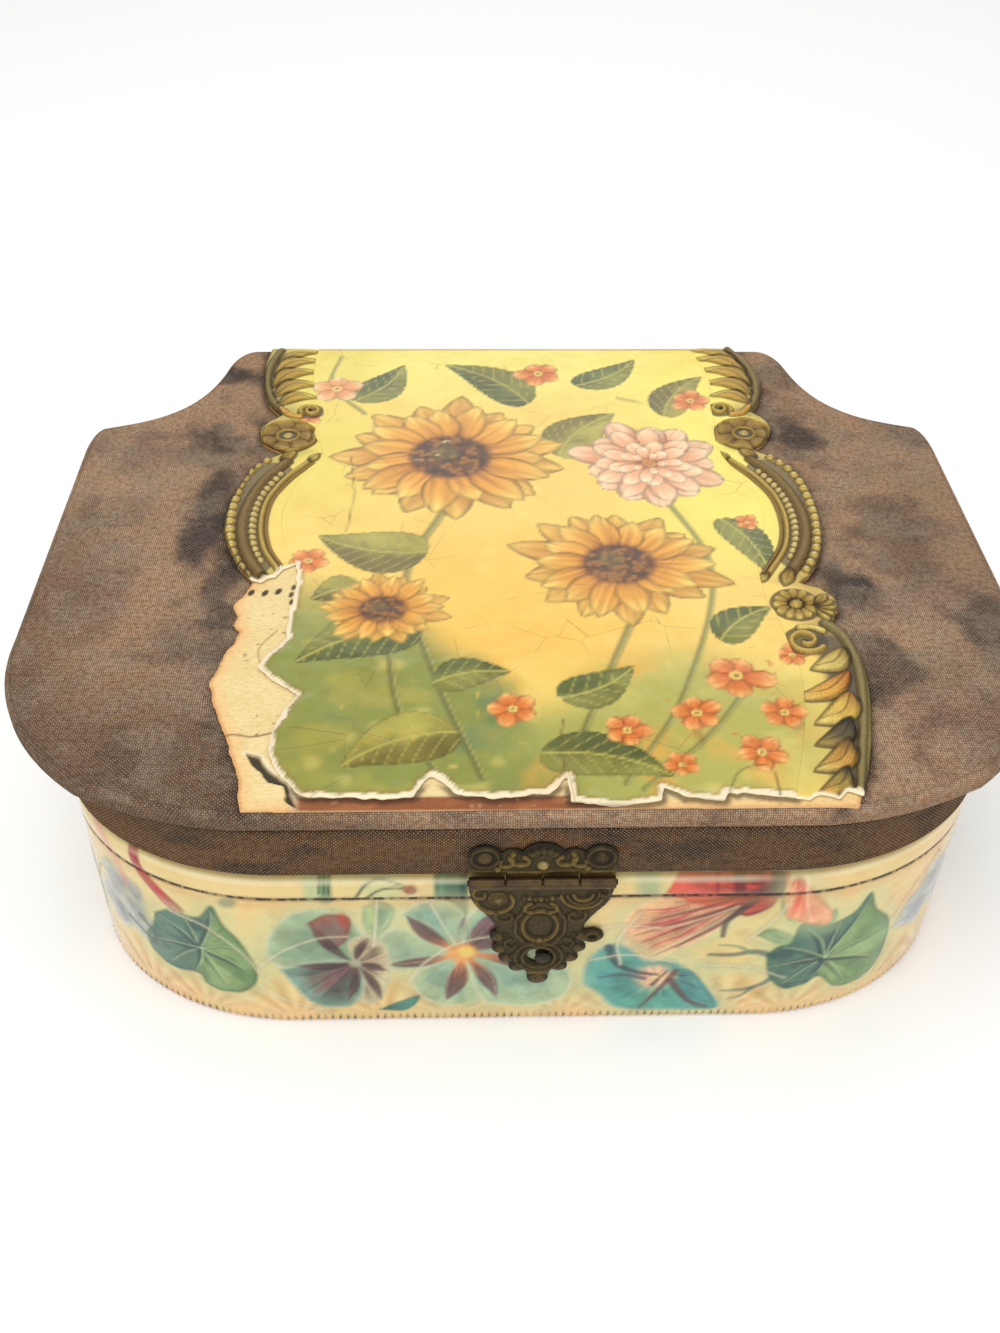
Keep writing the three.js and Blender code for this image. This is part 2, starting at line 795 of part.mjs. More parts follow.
// The raised ornament of a border, drawn for the right side: beads, lobes, rosettes, curls and leaves.
function borderRelief(face, torn) {
  const along = (count) => Array.from({ length: count }, (_, i) => (i + 1 / 2) / count);
  const rosette = (x, y) => [
    bead(petalRadius, petalRadius, reliefHeight, x, y, face),
    ...Array.from({ length: petalCount }, (_, i) => {
      const turn = (i / petalCount) * 2 * Math.PI;
      const reach = petalRing;
      return bead(
        petalRadius,
        petalRadius / 2,
        reliefHeight,
        x + reach * Math.cos(turn),
        y + reach * Math.sin(turn),
        face,
        turn,
      );
    }),
  ];
  const curl = (x, y) =>
    new THREE.TorusGeometry(curlRadius, curlTube, reliefFacets, ringFacets).translate(x, y, face);
  const leaf = (x, start, length, count, lean) =>
    along(count).map((share) =>
      bead(leafLobeLength, leafLobeWidth, reliefHeight, x, start - share * length, face, lean),
    );
  const scroll = [
    ...along(scrollBeadCount).map((share) => {
      const p = scrollPoint(scrollRadius - scrollBand / 2, share);
      return bead(beadRadius, beadRadius, reliefHeight, p.x, p.y, face);
    }),
    ...along(scrollLobeCount).map((share) => {
      const p = scrollPoint(scrollRadius - lobeRadius, share);
      return bead(lobeRadius, lobeRadius, reliefHeight, p.x, p.y, face);
    }),
  ];
  const back = [
    ...rosette(rosetteX, rosetteY),
    curl(backCurlX, backCurlY),
    ...leaf(backLeafX, panelBack - leafLobeWidth, backLeafLength, backLobeCount, Math.PI / 4),
  ];
  const front = [
    ...rosette(flowerX, flowerY),
    curl(frontCurlX, frontCurlY),
    ...leaf(frontLeafX, -frontLeafStart, frontLeafLength, frontLobeCount, -Math.PI / 5),
  ];
  return [...scroll, ...back, ...(torn ? [] : front)];
}

function buildPanel(panel) {
  addPiece(lidGroup, "panel_card", slab(panel, cardBottom, cardBottom + cardThickness), cardFinish);
  const printTop = printBottom + printThickness;
  const borderBottom = printBottom;
  const borderTop = borderBottom + borderThickness;
  const borders = [1, -1].map((side) => {
    const edge = (side > 0 ? rightEdgeShares : leftEdgeShares).map(onPanel);
    const torn = side < 0;
    const tear = onPanel(tornEdgeShares[0]);
    const kept = edge.filter((p) => !torn || p.y > tear.y);
    const inner = kept.map((p) => new THREE.Vector2(p.x - side * borderInnerInset, p.y)).reverse();
    const outer = torn ? [...kept, edge[kept.length], tear] : kept;
    const strip = solid(slab([...outer, ...inner], borderBottom, borderTop));
    const relief = borderRelief(borderTop, torn).map((g) => solid(side > 0 ? g : g.scale(-1, 1, 1)));
    const reach = solid(slab([...outer, ...inner], borderBottom, borderTop + 2 * reliefHeight));
    return joined([strip, ...relief]).intersect(reach);
  });
  addPiece(lidGroup, "gilt_border_right", geometryOf(borders[0]), giltFinish);
  addPiece(lidGroup, "gilt_border_left", geometryOf(borders[1]), giltFinish);

  const printRight = rightEdgeShares.map(onPanel).map((p) => p.clone().setX(p.x - borderInnerInset - seatGap));
  const printLeft = leftEdgeShares
    .map(onPanel)
    .filter((p) => p.y > onPanel(tornEdgeShares[0]).y)
    .map((p) => p.clone().setX(p.x + borderInnerInset + seatGap));
  const torn = tornEdgeShares.map(onPanel).slice(1);
  torn.at(-1).setX(printRight.at(-1).x);
  const print = [...printRight.slice(0, -1).reverse(), ...printLeft, ...torn];
  addPiece(lidGroup, "print_sheet", slab(print, printBottom, printTop), printFinish);
}

// Clasp
const claspSpans = knuckleSpans(claspWidth, claspKnuckles);
const haspKnuckles = [0, 2];
const lidKnuckles = [1, 3];

function disc(radius, x, z, back, thickness) {
  return rodAlongY(radius, x, z, back - thickness, back, roundFacets);
}

function buildClasp() {
  const back = barrelRadius;
  const face = back - plateThickness;
  const half = claspWidth / 2;
  const onPlate = (radius, x, z) => solid(disc(radius, x, z, back, plateThickness));
  const leafPlate = [
    solid(
      new THREE.BoxGeometry(claspWidth, plateThickness, leafBand - leafStart).translate(
        0,
        back - plateThickness / 2,
        (leafBand + leafStart) / 2,
      ),
    ),
    ...[-1, 1].flatMap((side) => [
      onPlate(leafEarRadius, side * leafEarX, leafEarZ),
      onPlate(leafLobeRadius, side * leafLobeX, leafLobeZ),
      solid(frontRing(leafEarRadius - claspReliefTube, claspReliefTube, side * leafEarX, leafEarZ, face)),
      solid(frontRing(leafLobeRadius / 2, claspReliefTube, side * leafLobeX, leafLobeZ, face)),
    ]),
    onPlate(leafCrownRadius, 0, leafCrownZ),
    ...Array.from({ length: haspRidgeCount }, (_, i) => {
      const angle = ((i + 1) / (haspRidgeCount + 1)) * Math.PI;
      const reach = leafCrownRadius / 2;
      const ridge = new THREE.SphereGeometry(1, reliefFacets, reliefFacets - 2)
        .scale(reach, claspReliefTube, claspReliefTube)
        .rotateY(-angle)
        .translate(reach * Math.cos(angle), face, leafStart + claspReliefTube * 2 + reach * Math.sin(angle));
      return solid(ridge);
    }),
  ];
  const leafHoles = [-1, 1].map((side) =>
    solid(
      rodAlongY(nailHole, side * leafEarX, leafEarZ, face - cutOverrun, back + cutOverrun, smallFacets),
    ),
  );
  const leaf = cut(knuckledLeaf(leafPlate, claspSpans, lidKnuckles, 1, leafStart), leafHoles);
  addPiece(lidGroup, "clasp_lid_leaf", geometryOf(leaf), brassFinish).position.copy(haspGroup.position);
  const pin = rodAlongX(pinRadius, -half - seatGap, half + seatGap, smallFacets);
  addPiece(lidGroup, "clasp_pin", pin, brassFinish).position.copy(haspGroup.position);
  claspNails.forEach((n) => {
    const geometry = nail(claspNailHead, nailShank, nailDepth, nailHeadHeight);
    const start = -(apronFront + seatGap + plateThickness + seatGap);
    addPiece(lidGroup, n.name, geometry, brassFinish).position.set(n.x, start, n.z);
  });

  const outline = [...haspEdgeShares, ...haspEdgeShares.map(([x, z]) => [-x, z]).reverse()].map(
    ([x, z]) => new THREE.Vector2(x * half, -haspTop - z * (haspBottom - haspTop)),
  );
  const place = ([x, z]) => [x * half, -haspTop - z * (haspBottom - haspTop)];
  const hasp = [
    solid(frontPlate(outline, back, plateThickness)),
    ...haspLobeShares.map(place).flatMap(([x, z]) =>
      [-1, 1].flatMap((side) => [
        onPlate(haspLobeRadius, side * x, z),
        solid(bead(haspLobeRadius / 2, claspReliefTube, haspLobeRadius / 2, side * x, face, z)),
      ]),
    ),
    onPlate(haspTipRadius, 0, -haspBottom),
    solid(bead(haspTipRadius / 2, claspReliefTube, haspTipRadius / 2, 0, face, -haspBottom)),
    onPlate(haspEarRadius, haspEarReach, -haspEarZ),
    solid(frontRing(haspEarRadius - claspReliefTube, claspReliefTube, haspEarReach, -haspEarZ, face)),
    solid(frontRing(haspBossRadius, claspReliefTube, 0, -haspBossZ, face)),
    solid(bead(haspBossRadius - 2 * claspReliefTube, claspReliefTube, haspBossRadius - 2 * claspReliefTube, 0, face, -haspBossZ)),
    solid(frontRing(haspHoleRim, claspReliefTube, 0, -haspHoleZ, face)),
    ...[-1, 1].map((side) => solid(frontRing(haspCurlRadius, claspReliefTube, side * haspCurlX, -haspCurlZ, face))),
    ...Array.from({ length: haspRidgeCount }, (_, i) => {
      const x = ((i + 1 / 2) / haspRidgeCount - 1 / 2) * 2 * (haspCurlX - haspCurlRadius);
      return solid(bead(claspReliefTube, claspReliefTube, haspCurlRadius, x, face, -haspCurlZ));
    }),
  ];
  const keyHole = solid(
    rodAlongY(haspHoleRadius, 0, -haspHoleZ, face - cutOverrun, back + cutOverrun, roundFacets),
  );
  const hanging = cut(knuckledLeaf(hasp, claspSpans, haspKnuckles, -1, haspTop), [keyHole]);
  addPiece(haspGroup, "clasp_hasp", geometryOf(hanging), brassFinish);
}

// Hinges at the back, each in a group turned to face the back
function buildHinges() {
  const spans = knuckleSpans(hingeWidth, hingeKnuckles);
  const leafSolid = (upwards) => {
    const start = barrelRadius + seatGap;
    const height = hingeLeafReach - start;
    const plate = new THREE.BoxGeometry(hingeWidth, plateThickness, height).translate(
      0,
      barrelRadius - plateThickness / 2,
      upwards * (start + height / 2),
    );
    const holes = [-1, 1].map((side) =>
      solid(
        rodAlongY(
          nailHole,
          side * hingeNailX,
          upwards * hingeNailZ,
          barrelRadius - plateThickness - cutOverrun,
          barrelRadius + cutOverrun,
          smallFacets,
        ),
      ),
    );
    const own = spans.map((_, i) => i).filter((i) => (upwards > 0 ? i % 2 === 1 : i % 2 === 0));
    return cut(knuckledLeaf([solid(plate)], spans, own, upwards, start), holes);
  };
  [-1, 1].forEach((side) => {
    const label = side < 0 ? "left" : "right";
    [baseGroup, lidGroup].forEach((owner) => {
      const group = new THREE.Group();
      group.position.set(side * hingeOffset, hingeAxisY, hingeAxisZ);
      group.rotation.z = Math.PI;
      owner.add(group);
      const upwards = owner === lidGroup ? 1 : -1;
      const name = owner === lidGroup ? "hinge_lid_leaf_" : "hinge_base_leaf_";
      addPiece(group, name + label, geometryOf(leafSolid(upwards)), brassFinish);
      if (owner === baseGroup) {
        const pin = rodAlongX(pinRadius, -hingeWidth / 2 - seatGap, hingeWidth / 2 + seatGap, smallFacets);
        addPiece(group, "hinge_pin_" + label, pin, brassFinish);
      }
    });
  });
  hingeNails.forEach((n) => {
    const geometry = nail(hingeNailHead, nailShank, nailDepth, nailHeadHeight).rotateZ(Math.PI);
    const piece = addPiece(n.inLid ? lidGroup : baseGroup, n.name, geometry, brassFinish);
    piece.position.set(n.x, hingeNailStart, n.z);
  });
}

buildBase();
buildLid();
buildClasp();
buildHinges();

export default root;
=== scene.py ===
"""Celluloid jewelry box: the dressed model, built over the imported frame.

Lengths in the tables below are in millimetres, in the frame's own axes: X to the right,
Y to the back and Z up from the surface that the box stands on. Meshes are written in metres.
"""

from __future__ import annotations

import logging
import math
from dataclasses import dataclass, field
from enum import Enum
from typing import Callable

import bpy
import numpy as np
from mathutils import Matrix, Vector


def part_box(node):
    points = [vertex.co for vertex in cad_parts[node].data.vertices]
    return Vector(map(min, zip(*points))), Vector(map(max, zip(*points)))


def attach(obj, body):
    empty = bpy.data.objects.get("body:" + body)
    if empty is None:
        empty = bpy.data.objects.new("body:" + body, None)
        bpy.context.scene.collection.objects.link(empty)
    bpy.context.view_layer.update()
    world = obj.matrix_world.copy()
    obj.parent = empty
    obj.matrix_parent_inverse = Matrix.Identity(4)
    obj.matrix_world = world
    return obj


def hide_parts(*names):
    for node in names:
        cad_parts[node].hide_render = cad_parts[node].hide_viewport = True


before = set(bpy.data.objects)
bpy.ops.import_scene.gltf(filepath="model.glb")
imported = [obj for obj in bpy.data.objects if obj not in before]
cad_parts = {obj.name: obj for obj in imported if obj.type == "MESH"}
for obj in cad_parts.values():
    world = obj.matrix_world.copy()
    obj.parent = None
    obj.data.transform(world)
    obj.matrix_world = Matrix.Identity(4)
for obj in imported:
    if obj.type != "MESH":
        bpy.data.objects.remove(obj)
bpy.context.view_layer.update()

MM = 0.001
WHITE = (255, 255, 255)
LOG = logging.getLogger("jewelry_box")
LATTICE = np.random.default_rng(11).random((256, 256))

Colour = tuple[float, float, float]
Field = Callable[[np.ndarray, np.ndarray], np.ndarray]


class Body(str, Enum):
    """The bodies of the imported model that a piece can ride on."""

    BASE = "base"
    LID = "lid"
    HASP = "hasp"


def linear(colour: Colour) -> np.ndarray:
    """Change a display colour to linear light.

    Args:
        colour: Red, green and blue from 0 to 255.

    Returns:
        The three linear values from 0 to 1.
    """
    share = np.asarray(colour, float) / 255.0
    return np.where(share <= 0.04045, share / 12.92, ((share + 0.055) / 1.055) ** 2.4)


def rgba(colour: Colour) -> tuple[float, float, float, float]:
    """Give a display colour as the four linear values that a socket takes.

    Args:
        colour: Red, green and blue from 0 to 255.

    Returns:
        Linear red, green, blue and an alpha of one.
    """
    red, green, blue = linear(colour)
    return float(red), float(green), float(blue), 1.0


def smooth(low: float, high: float, value: np.ndarray) -> np.ndarray:
    """Rise smoothly from zero at low to one at high.

    Args:
        low: Where the rise starts.
        high: Where it ends.
        value: The numbers to grade.

    Returns:
        A share from 0 to 1 for each number.
    """
    share = np.clip((value - low) / (high - low), 0.0, 1.0)
    return share * share * (3.0 - 2.0 * share)


def lattice_noise(x: np.ndarray, y: np.ndarray, seed: int = 0) -> np.ndarray:
    """Value noise: random numbers on whole-number corners, blended smoothly between them.

    Args:
        x: Positions along the first axis, one lattice cell to the unit.
        y: Positions along the second axis.
        seed: Which part of the random table is used.

    Returns:
        Numbers from -1 to 1.
    """
    column, row = np.floor(x).astype(int), np.floor(y).astype(int)
    across, up = x - column, y - row
    across, up = across * across * (3 - 2 * across), up * up * (3 - 2 * up)
    column, row = column + 37 * seed, row + 91 * seed
    near = LATTICE[column % 256, row % 256] * (1 - across) + LATTICE[(column + 1) % 256, row % 256] * across
    far = LATTICE[column % 256, (row + 1) % 256] * (1 - across)
    far = far + LATTICE[(column + 1) % 256, (row + 1) % 256] * across
    return 2.0 * (near * (1 - up) + far * up) - 1.0


def cloud(x: np.ndarray, y: np.ndarray, size: float, octaves: int = 4, seed: int = 0) -> np.ndarray:
    """Sum value noise at sizes that halve each time.

    Args:
        x: Positions along the first axis.
        y: Positions along the second axis.
        size: Size of the largest patches.
        octaves: How many sizes are summed.
        seed: Which part of the random table is used.

    Returns:
        Numbers mostly from -1 to 1.
    """
    total = np.zeros(np.broadcast(x, y).shape)
    weight = 1.0
    for step in range(octaves):
        scale = 2.0**step / size
        total = total + weight * lattice_noise(x * scale + 3.7 * step, y * scale - 5.1 * step, seed + step)
        weight *= 0.5
    return total / 1.4


def bent(start, end, start_handle, end_handle, count: int = 60) -> np.ndarray:
    """Sample a cubic curve whose two handles are shares of the way from start to end on each axis.

    Args:
        start: First point.
        end: Last point.
        start_handle: Shares for the first handle, along X and Y.
        end_handle: Shares for the second handle.
        count: Number of points.

    Returns:
        The points, one row each.
    """
    start, end = np.asarray(start, float), np.asarray(end, float)
    first = start + np.asarray(start_handle) * (end - start)
    second = start + np.asarray(end_handle) * (end - start)
    t = np.linspace(0, 1, count)[:, None]
    return (1 - t) ** 3 * start + 3 * t * (1 - t) ** 2 * first + 3 * t * t * (1 - t) * second + t**3 * end


def through(points, count: int = 60) -> np.ndarray:
    """Sample a smooth curve that passes through each point, with slopes from its neighbours.

    Args:
        points: The points, one row each.
        count: Number of samples.

    Returns:
        The samples, one row each.
    """
    p = np.asarray(points, float)
    p = np.vstack([2 * p[0] - p[1], p, 2 * p[-1] - p[-2]])
    t = np.linspace(0, len(p) - 3 - 1e-9, count)
    i = t.astype(int)
    t = (t - i)[:, None]
    a, b, c, d = p[i], p[i + 1], p[i + 2], p[i + 3]
    return 0.5 * (2 * b + (c - a) * t + (2 * a - 5 * b + 4 * c - d) * t**2 + (3 * b - a - 3 * c + d) * t**3)


def away(x: np.ndarray, y: np.ndarray, path: np.ndarray) -> tuple[np.ndarray, np.ndarray, np.ndarray]:
    """Measure points against an open line of straight steps.

    Args:
        x: Positions along the first axis.
        y: Positions along the second axis.
        path: Points of the line, one row each.

    Returns:
        The distance to the line, how far along it the nearest place is (0 to 1), and the side
        (1 on the left of the line's direction, -1 on its right).
    """
    a, b = path[:-1], path[1:]
    step = b - a
    size = np.maximum((step**2).sum(1), 1e-12)
    dx, dy = x.ravel()[:, None] - a[:, 0], y.ravel()[:, None] - a[:, 1]
    share = np.clip((dx * step[:, 0] + dy * step[:, 1]) / size, 0, 1)
    ex, ey = dx - share * step[:, 0], dy - share * step[:, 1]
    gap = ex * ex + ey * ey
    near = gap.argmin(1)
    row = np.arange(len(near))
    side = np.sign(step[near, 0] * dy[row, near] - step[near, 1] * dx[row, near])
    along = (near + share[row, near]) / len(a)
    shape = x.shape
    return np.sqrt(gap[row, near]).reshape(shape), along.reshape(shape), side.reshape(shape)


def within(x: np.ndarray, y: np.ndarray, outline: np.ndarray) -> np.ndarray:
    """Distance to a closed outline, above zero inside it and below zero outside.

    Args:
        x: Positions along the first axis.
        y: Positions along the second axis.
        outline: Corners of the outline, one row each, without the first repeated.

    Returns:
        The signed distances.
    """
    closed = np.vstack([outline, outline[:1]])
    px, py = x.ravel(), y.ravel()
    inside = np.zeros(len(px), bool)
    for (ax, ay), (bx, by) in zip(closed[:-1], closed[1:]):
        crosses = (ay > py) != (by > py)
        with np.errstate(divide="ignore", invalid="ignore"):
            inside ^= crosses & (px < (bx - ax) * (py - ay) / (by - ay) + ax)
    gap = np.full(len(px), np.inf)
    for first in range(0, len(px), 20000):
        part = slice(first, first + 20000)
        gap[part] = away(px[part], py[part], closed)[0]
    return np.where(inside, gap, -gap).reshape(x.shape)


class Plan:
    """A closed outline seen from above, told by arc length from its front middle, right side first."""

    def __init__(self, right_half: np.ndarray) -> None:
        """Mirror the right half and measure the loop.

        Args:
            right_half: Points from the front middle to the back middle.
        """
        loop = np.vstack([right_half, right_half[-2:0:-1] * (-1, 1)])
        step = np.hypot(*(np.roll(loop, -1, 0) - loop).T)
        loop = loop[step > 1e-6]
        closed = np.vstack([loop, loop[:1]])
        self.loop = loop
        self.arc = np.concatenate([[0.0], np.cumsum(np.hypot(*np.diff(closed, axis=0).T))])
        self.length = float(self.arc[-1])
        tangent = np.roll(loop, -1, 0) - np.roll(loop, 1, 0)
        tangent /= np.hypot(*tangent.T)[:, None]
        inward = np.stack([-tangent[:, 1], tangent[:, 0]], 1)
        self._points = closed
        self._inward = np.vstack([inward, inward[:1]])

    def at(self, arc: np.ndarray, inset: np.ndarray | float = 0.0) -> np.ndarray:
        """Give points of the outline, moved inwards.

        Args:
            arc: Arc length from the front middle, more to the right.
            inset: How far inside the outline.

        Returns:
            X and Y in the last axis.
        """
        where = np.mod(arc, self.length)
        point = np.stack([np.interp(where, self.arc, self._points[:, k]) for k in (0, 1)], -1)
        inward = np.stack([np.interp(where, self.arc, self._inward[:, k]) for k in (0, 1)], -1)
        inward /= np.maximum(np.linalg.norm(inward, axis=-1, keepdims=True), 1e-9)
        return point + inward * np.asarray(inset)[..., None]


def body_plan() -> Plan:
    """Outline of the body: a straight back, long bowed sides and an elliptical front corner.

    Returns:
        The plan of the body's outer face.
    """
    turn = np.linspace(math.pi / 2, 0, 60)
    front = np.stack([119.4 - 58.2 * (1 - np.cos(turn)), 46.3 * (1 - np.sin(turn)) - 110.6], 1)
    side = bent((94.5, 98), (119.4, 15), (0.19, 0.19), (1, 0.64))[::-1]
    corner = bent((83, 110.5), (94.5, 98), (0.55, 0), (0.9, 0.5))[::-1]
    straight = np.array([[119.4, -64.3], [119.4, 15.0]])
    front_flat = np.stack([np.linspace(0, 61.2, 30), np.full(30, -110.6)], 1)
    back_flat = np.stack([np.linspace(83, 0, 30), np.full(30, 110.5)], 1)
    return Plan(np.vstack([front_flat, front[1:], straight[1:], side[1:], corner[1:], back_flat[1:]]))


def lid_plan() -> Plan:
    """Outline of the lid board: front shoulders, straight wings that overhang, and a neck at the back.

    Returns:
        The plan of the lid's covered edge.
    """
    wing_front = bent((109.3, -98.7), (68, -110.5), (0.298, 0.496), (0.588, 0.932))[::-1]
    shoulder = bent((135.2, -47), (109.3, -98.7), (-0.031, 0.28), (0.158, 0.675))[::-1]
    tip = bent((131, 60), (135.2, 45), (0.62, 0.04), (1, 0.4))[::-1]
    flare = bent((96.5, 99.4), (131, 60), (0.171, 0.815), (0.658, 0.896))[::-1]
    neck = bent((87, 110.9), (96.5, 99.4), (0.55, 0), (0.85, 0.45))[::-1]
    side = np.array([[135.2, -47.0], [135.2, 45.0]])
    front_flat = np.stack([np.linspace(0, 68, 30), np.full(30, -110.5)], 1)
    back_flat = np.stack([np.linspace(87, 0, 30), np.full(30, 110.9)], 1)
    half = [front_flat, wing_front[1:], shoulder[1:], side[1:], tip[1:], flare[1:], neck[1:], back_flat[1:]]
    return Plan(np.vstack(half))


def write_mesh(name: str, points: np.ndarray, faces: list[np.ndarray]) -> bpy.types.Object:
    """Write a mesh object at the origin from whole arrays.

    Args:
        name: Name of the object.
        points: Corners in millimetres, one row each.
        faces: Arrays of corner numbers, each with one face size.

    Returns:
        The new object, linked to the scene and shaded smooth.
    """
    mesh = bpy.data.meshes.new(name)
    sizes = np.concatenate([np.full(len(part), part.shape[1]) for part in faces]).astype(np.int32)
    corners = np.concatenate([part.ravel() for part in faces]).astype(np.int32)
    mesh.vertices.add(len(points))
    mesh.vertices.foreach_set("co", (np.asarray(points, float) * MM).astype(np.float32).ravel())
    mesh.loops.add(len(corners))
    mesh.loops.foreach_set("vertex_index", corners)
    mesh.polygons.add(len(sizes))
    mesh.polygons.foreach_set("loop_start", np.concatenate([[0], np.cumsum(sizes)[:-1]]).astype(np.int32))
    mesh.polygons.foreach_set("use_smooth", np.ones(len(sizes), bool))
    mesh.update(calc_edges=True)
    mesh.validate()
    thing = bpy.data.objects.new(name, mesh)
    bpy.context.scene.collection.objects.link(thing)
    return thing


def grid_faces(rows: int, columns: int, wrap_rows: bool = False, wrap_columns: bool = False) -> np.ndarray:
    """Join a grid of points with four-sided faces.

    Args:
        rows: Number of rows of points.
        columns: Number of points in a row.
        wrap_rows: Whether the last row joins the first.
        wrap_columns: Whether the last column joins the first.

    Returns:
        The corner numbers, one face to a row.
    """
    number = np.arange(rows * columns).reshape(rows, columns)
    if wrap_rows:
        number = np.vstack([number, number[:1]])
    if wrap_columns:
        number = np.hstack([number, number[:, :1]])
    parts = [number[:-1, :-1], number[:-1, 1:], number[1:, 1:], number[1:, :-1]]
    return np.stack([part.ravel() for part in parts], 1)


def give_colour(thing: bpy.types.Object, name: str, colour: np.ndarray) -> None:
    """Store a colour for each corner point of a mesh.

    Args:
        thing: The object.
        name: Name of the attribute.
        colour: Linear red, green and blue, one row to a point.
    """
    store = thing.data.attributes.new(name, "FLOAT_COLOR", "POINT")
    full = np.ones((len(colour), 4), np.float32)
    full[:, :3] = colour
    store.data.foreach_set("color", full.ravel())


def give_uv(thing: bpy.types.Object, place: np.ndarray) -> None:
    """Store flat places, in millimetres, for each face corner of a mesh.

    Args:
        thing: The object.
        place: Two numbers for each face corner, in the mesh's own order.
    """
    layer = thing.data.uv_layers.new(name="place")
    layer.data.foreach_set("uv", np.asarray(place, np.float32).ravel())


def corner_places(faces: np.ndarray, columns: int, u: np.ndarray, v: np.ndarray, step: float) -> np.ndarray:
    """Lay out a grid's face corners flat, with the closing column carried on past the last.

    Args:
        faces: Four corner numbers to a face, as grid_faces gives them.
        columns: Number of points in a row.
        u: Flat place along the rows, one to a point.
        v: Flat place across the rows, one to a point.
        step: Length of one closing step along a row.

    Returns:
        Two numbers for each face corner.
    """
    flat_u = u.ravel()[faces]
    closing = (faces[:, [1]] % columns == 0) & (faces[:, [0]] % columns == columns - 1)
    right = np.zeros_like(flat_u, bool)
    right[:, 1:3] = True
    flat_u = np.where(closing & right, u.ravel()[faces[:, [0, 0, 3, 3]]] + step, flat_u)
    return np.stack([flat_u, v.ravel()[faces]], -1)


def lathe(name: str, profile: list[tuple[float, float]], centre, axis, sides: int = 40) -> bpy.types.Object:
    """Turn a section about an axis.

    Args:
        name: Name of the object.
        profile: Radius and distance along the axis, from one end to the other, both on the axis.
        centre: The point of the axis where the distance is zero.
        axis: Direction of the axis.
        sides: Number of sides.

    Returns:
        The new object.
    """
    forth = np.asarray(axis, float)
    aside = np.cross(forth, (0.0, 0.0, 1.0)) if abs(forth[2]) < 0.9 else np.cross(forth, (1.0, 0.0, 0.0))
    aside /= np.linalg.norm(aside)
    third = np.cross(forth, aside)
    turn = np.linspace(0, math.tau, sides + 1)[:-1]
    round_about = np.cos(turn)[:, None] * aside + np.sin(turn)[:, None] * third
    section = np.array(profile, float)
    rows = section[:, 0, None, None] * round_about + section[:, 1, None, None] * forth
    points = np.asarray(centre, float) + rows
    thing = write_mesh(name, points.reshape(-1, 3), [grid_faces(len(section), sides, wrap_columns=True)])
    thing.data.set_sharp_from_angle(angle=math.radians(40))
    return thing


def settle(thing: bpy.types.Object, body: Body, slot: str, finish: Finish, *nodes: str) -> None:
    """Give a piece its finish, the body it rides on and the nodes it stands for.

    Args:
        thing: The piece.
        body: The body that it moves with.
        slot: The record's material slot; not used.
        finish: The finish that it shows.
        *nodes: Names of the nodes that it replaces.
    """
    thing.data.materials.clear()
    thing.data.materials.append(finish.material())
    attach(thing, body.value)
    if nodes:
        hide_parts(*nodes)
    LOG.info("%s: %d points, on %s", thing.name, len(thing.data.vertices), body.value)


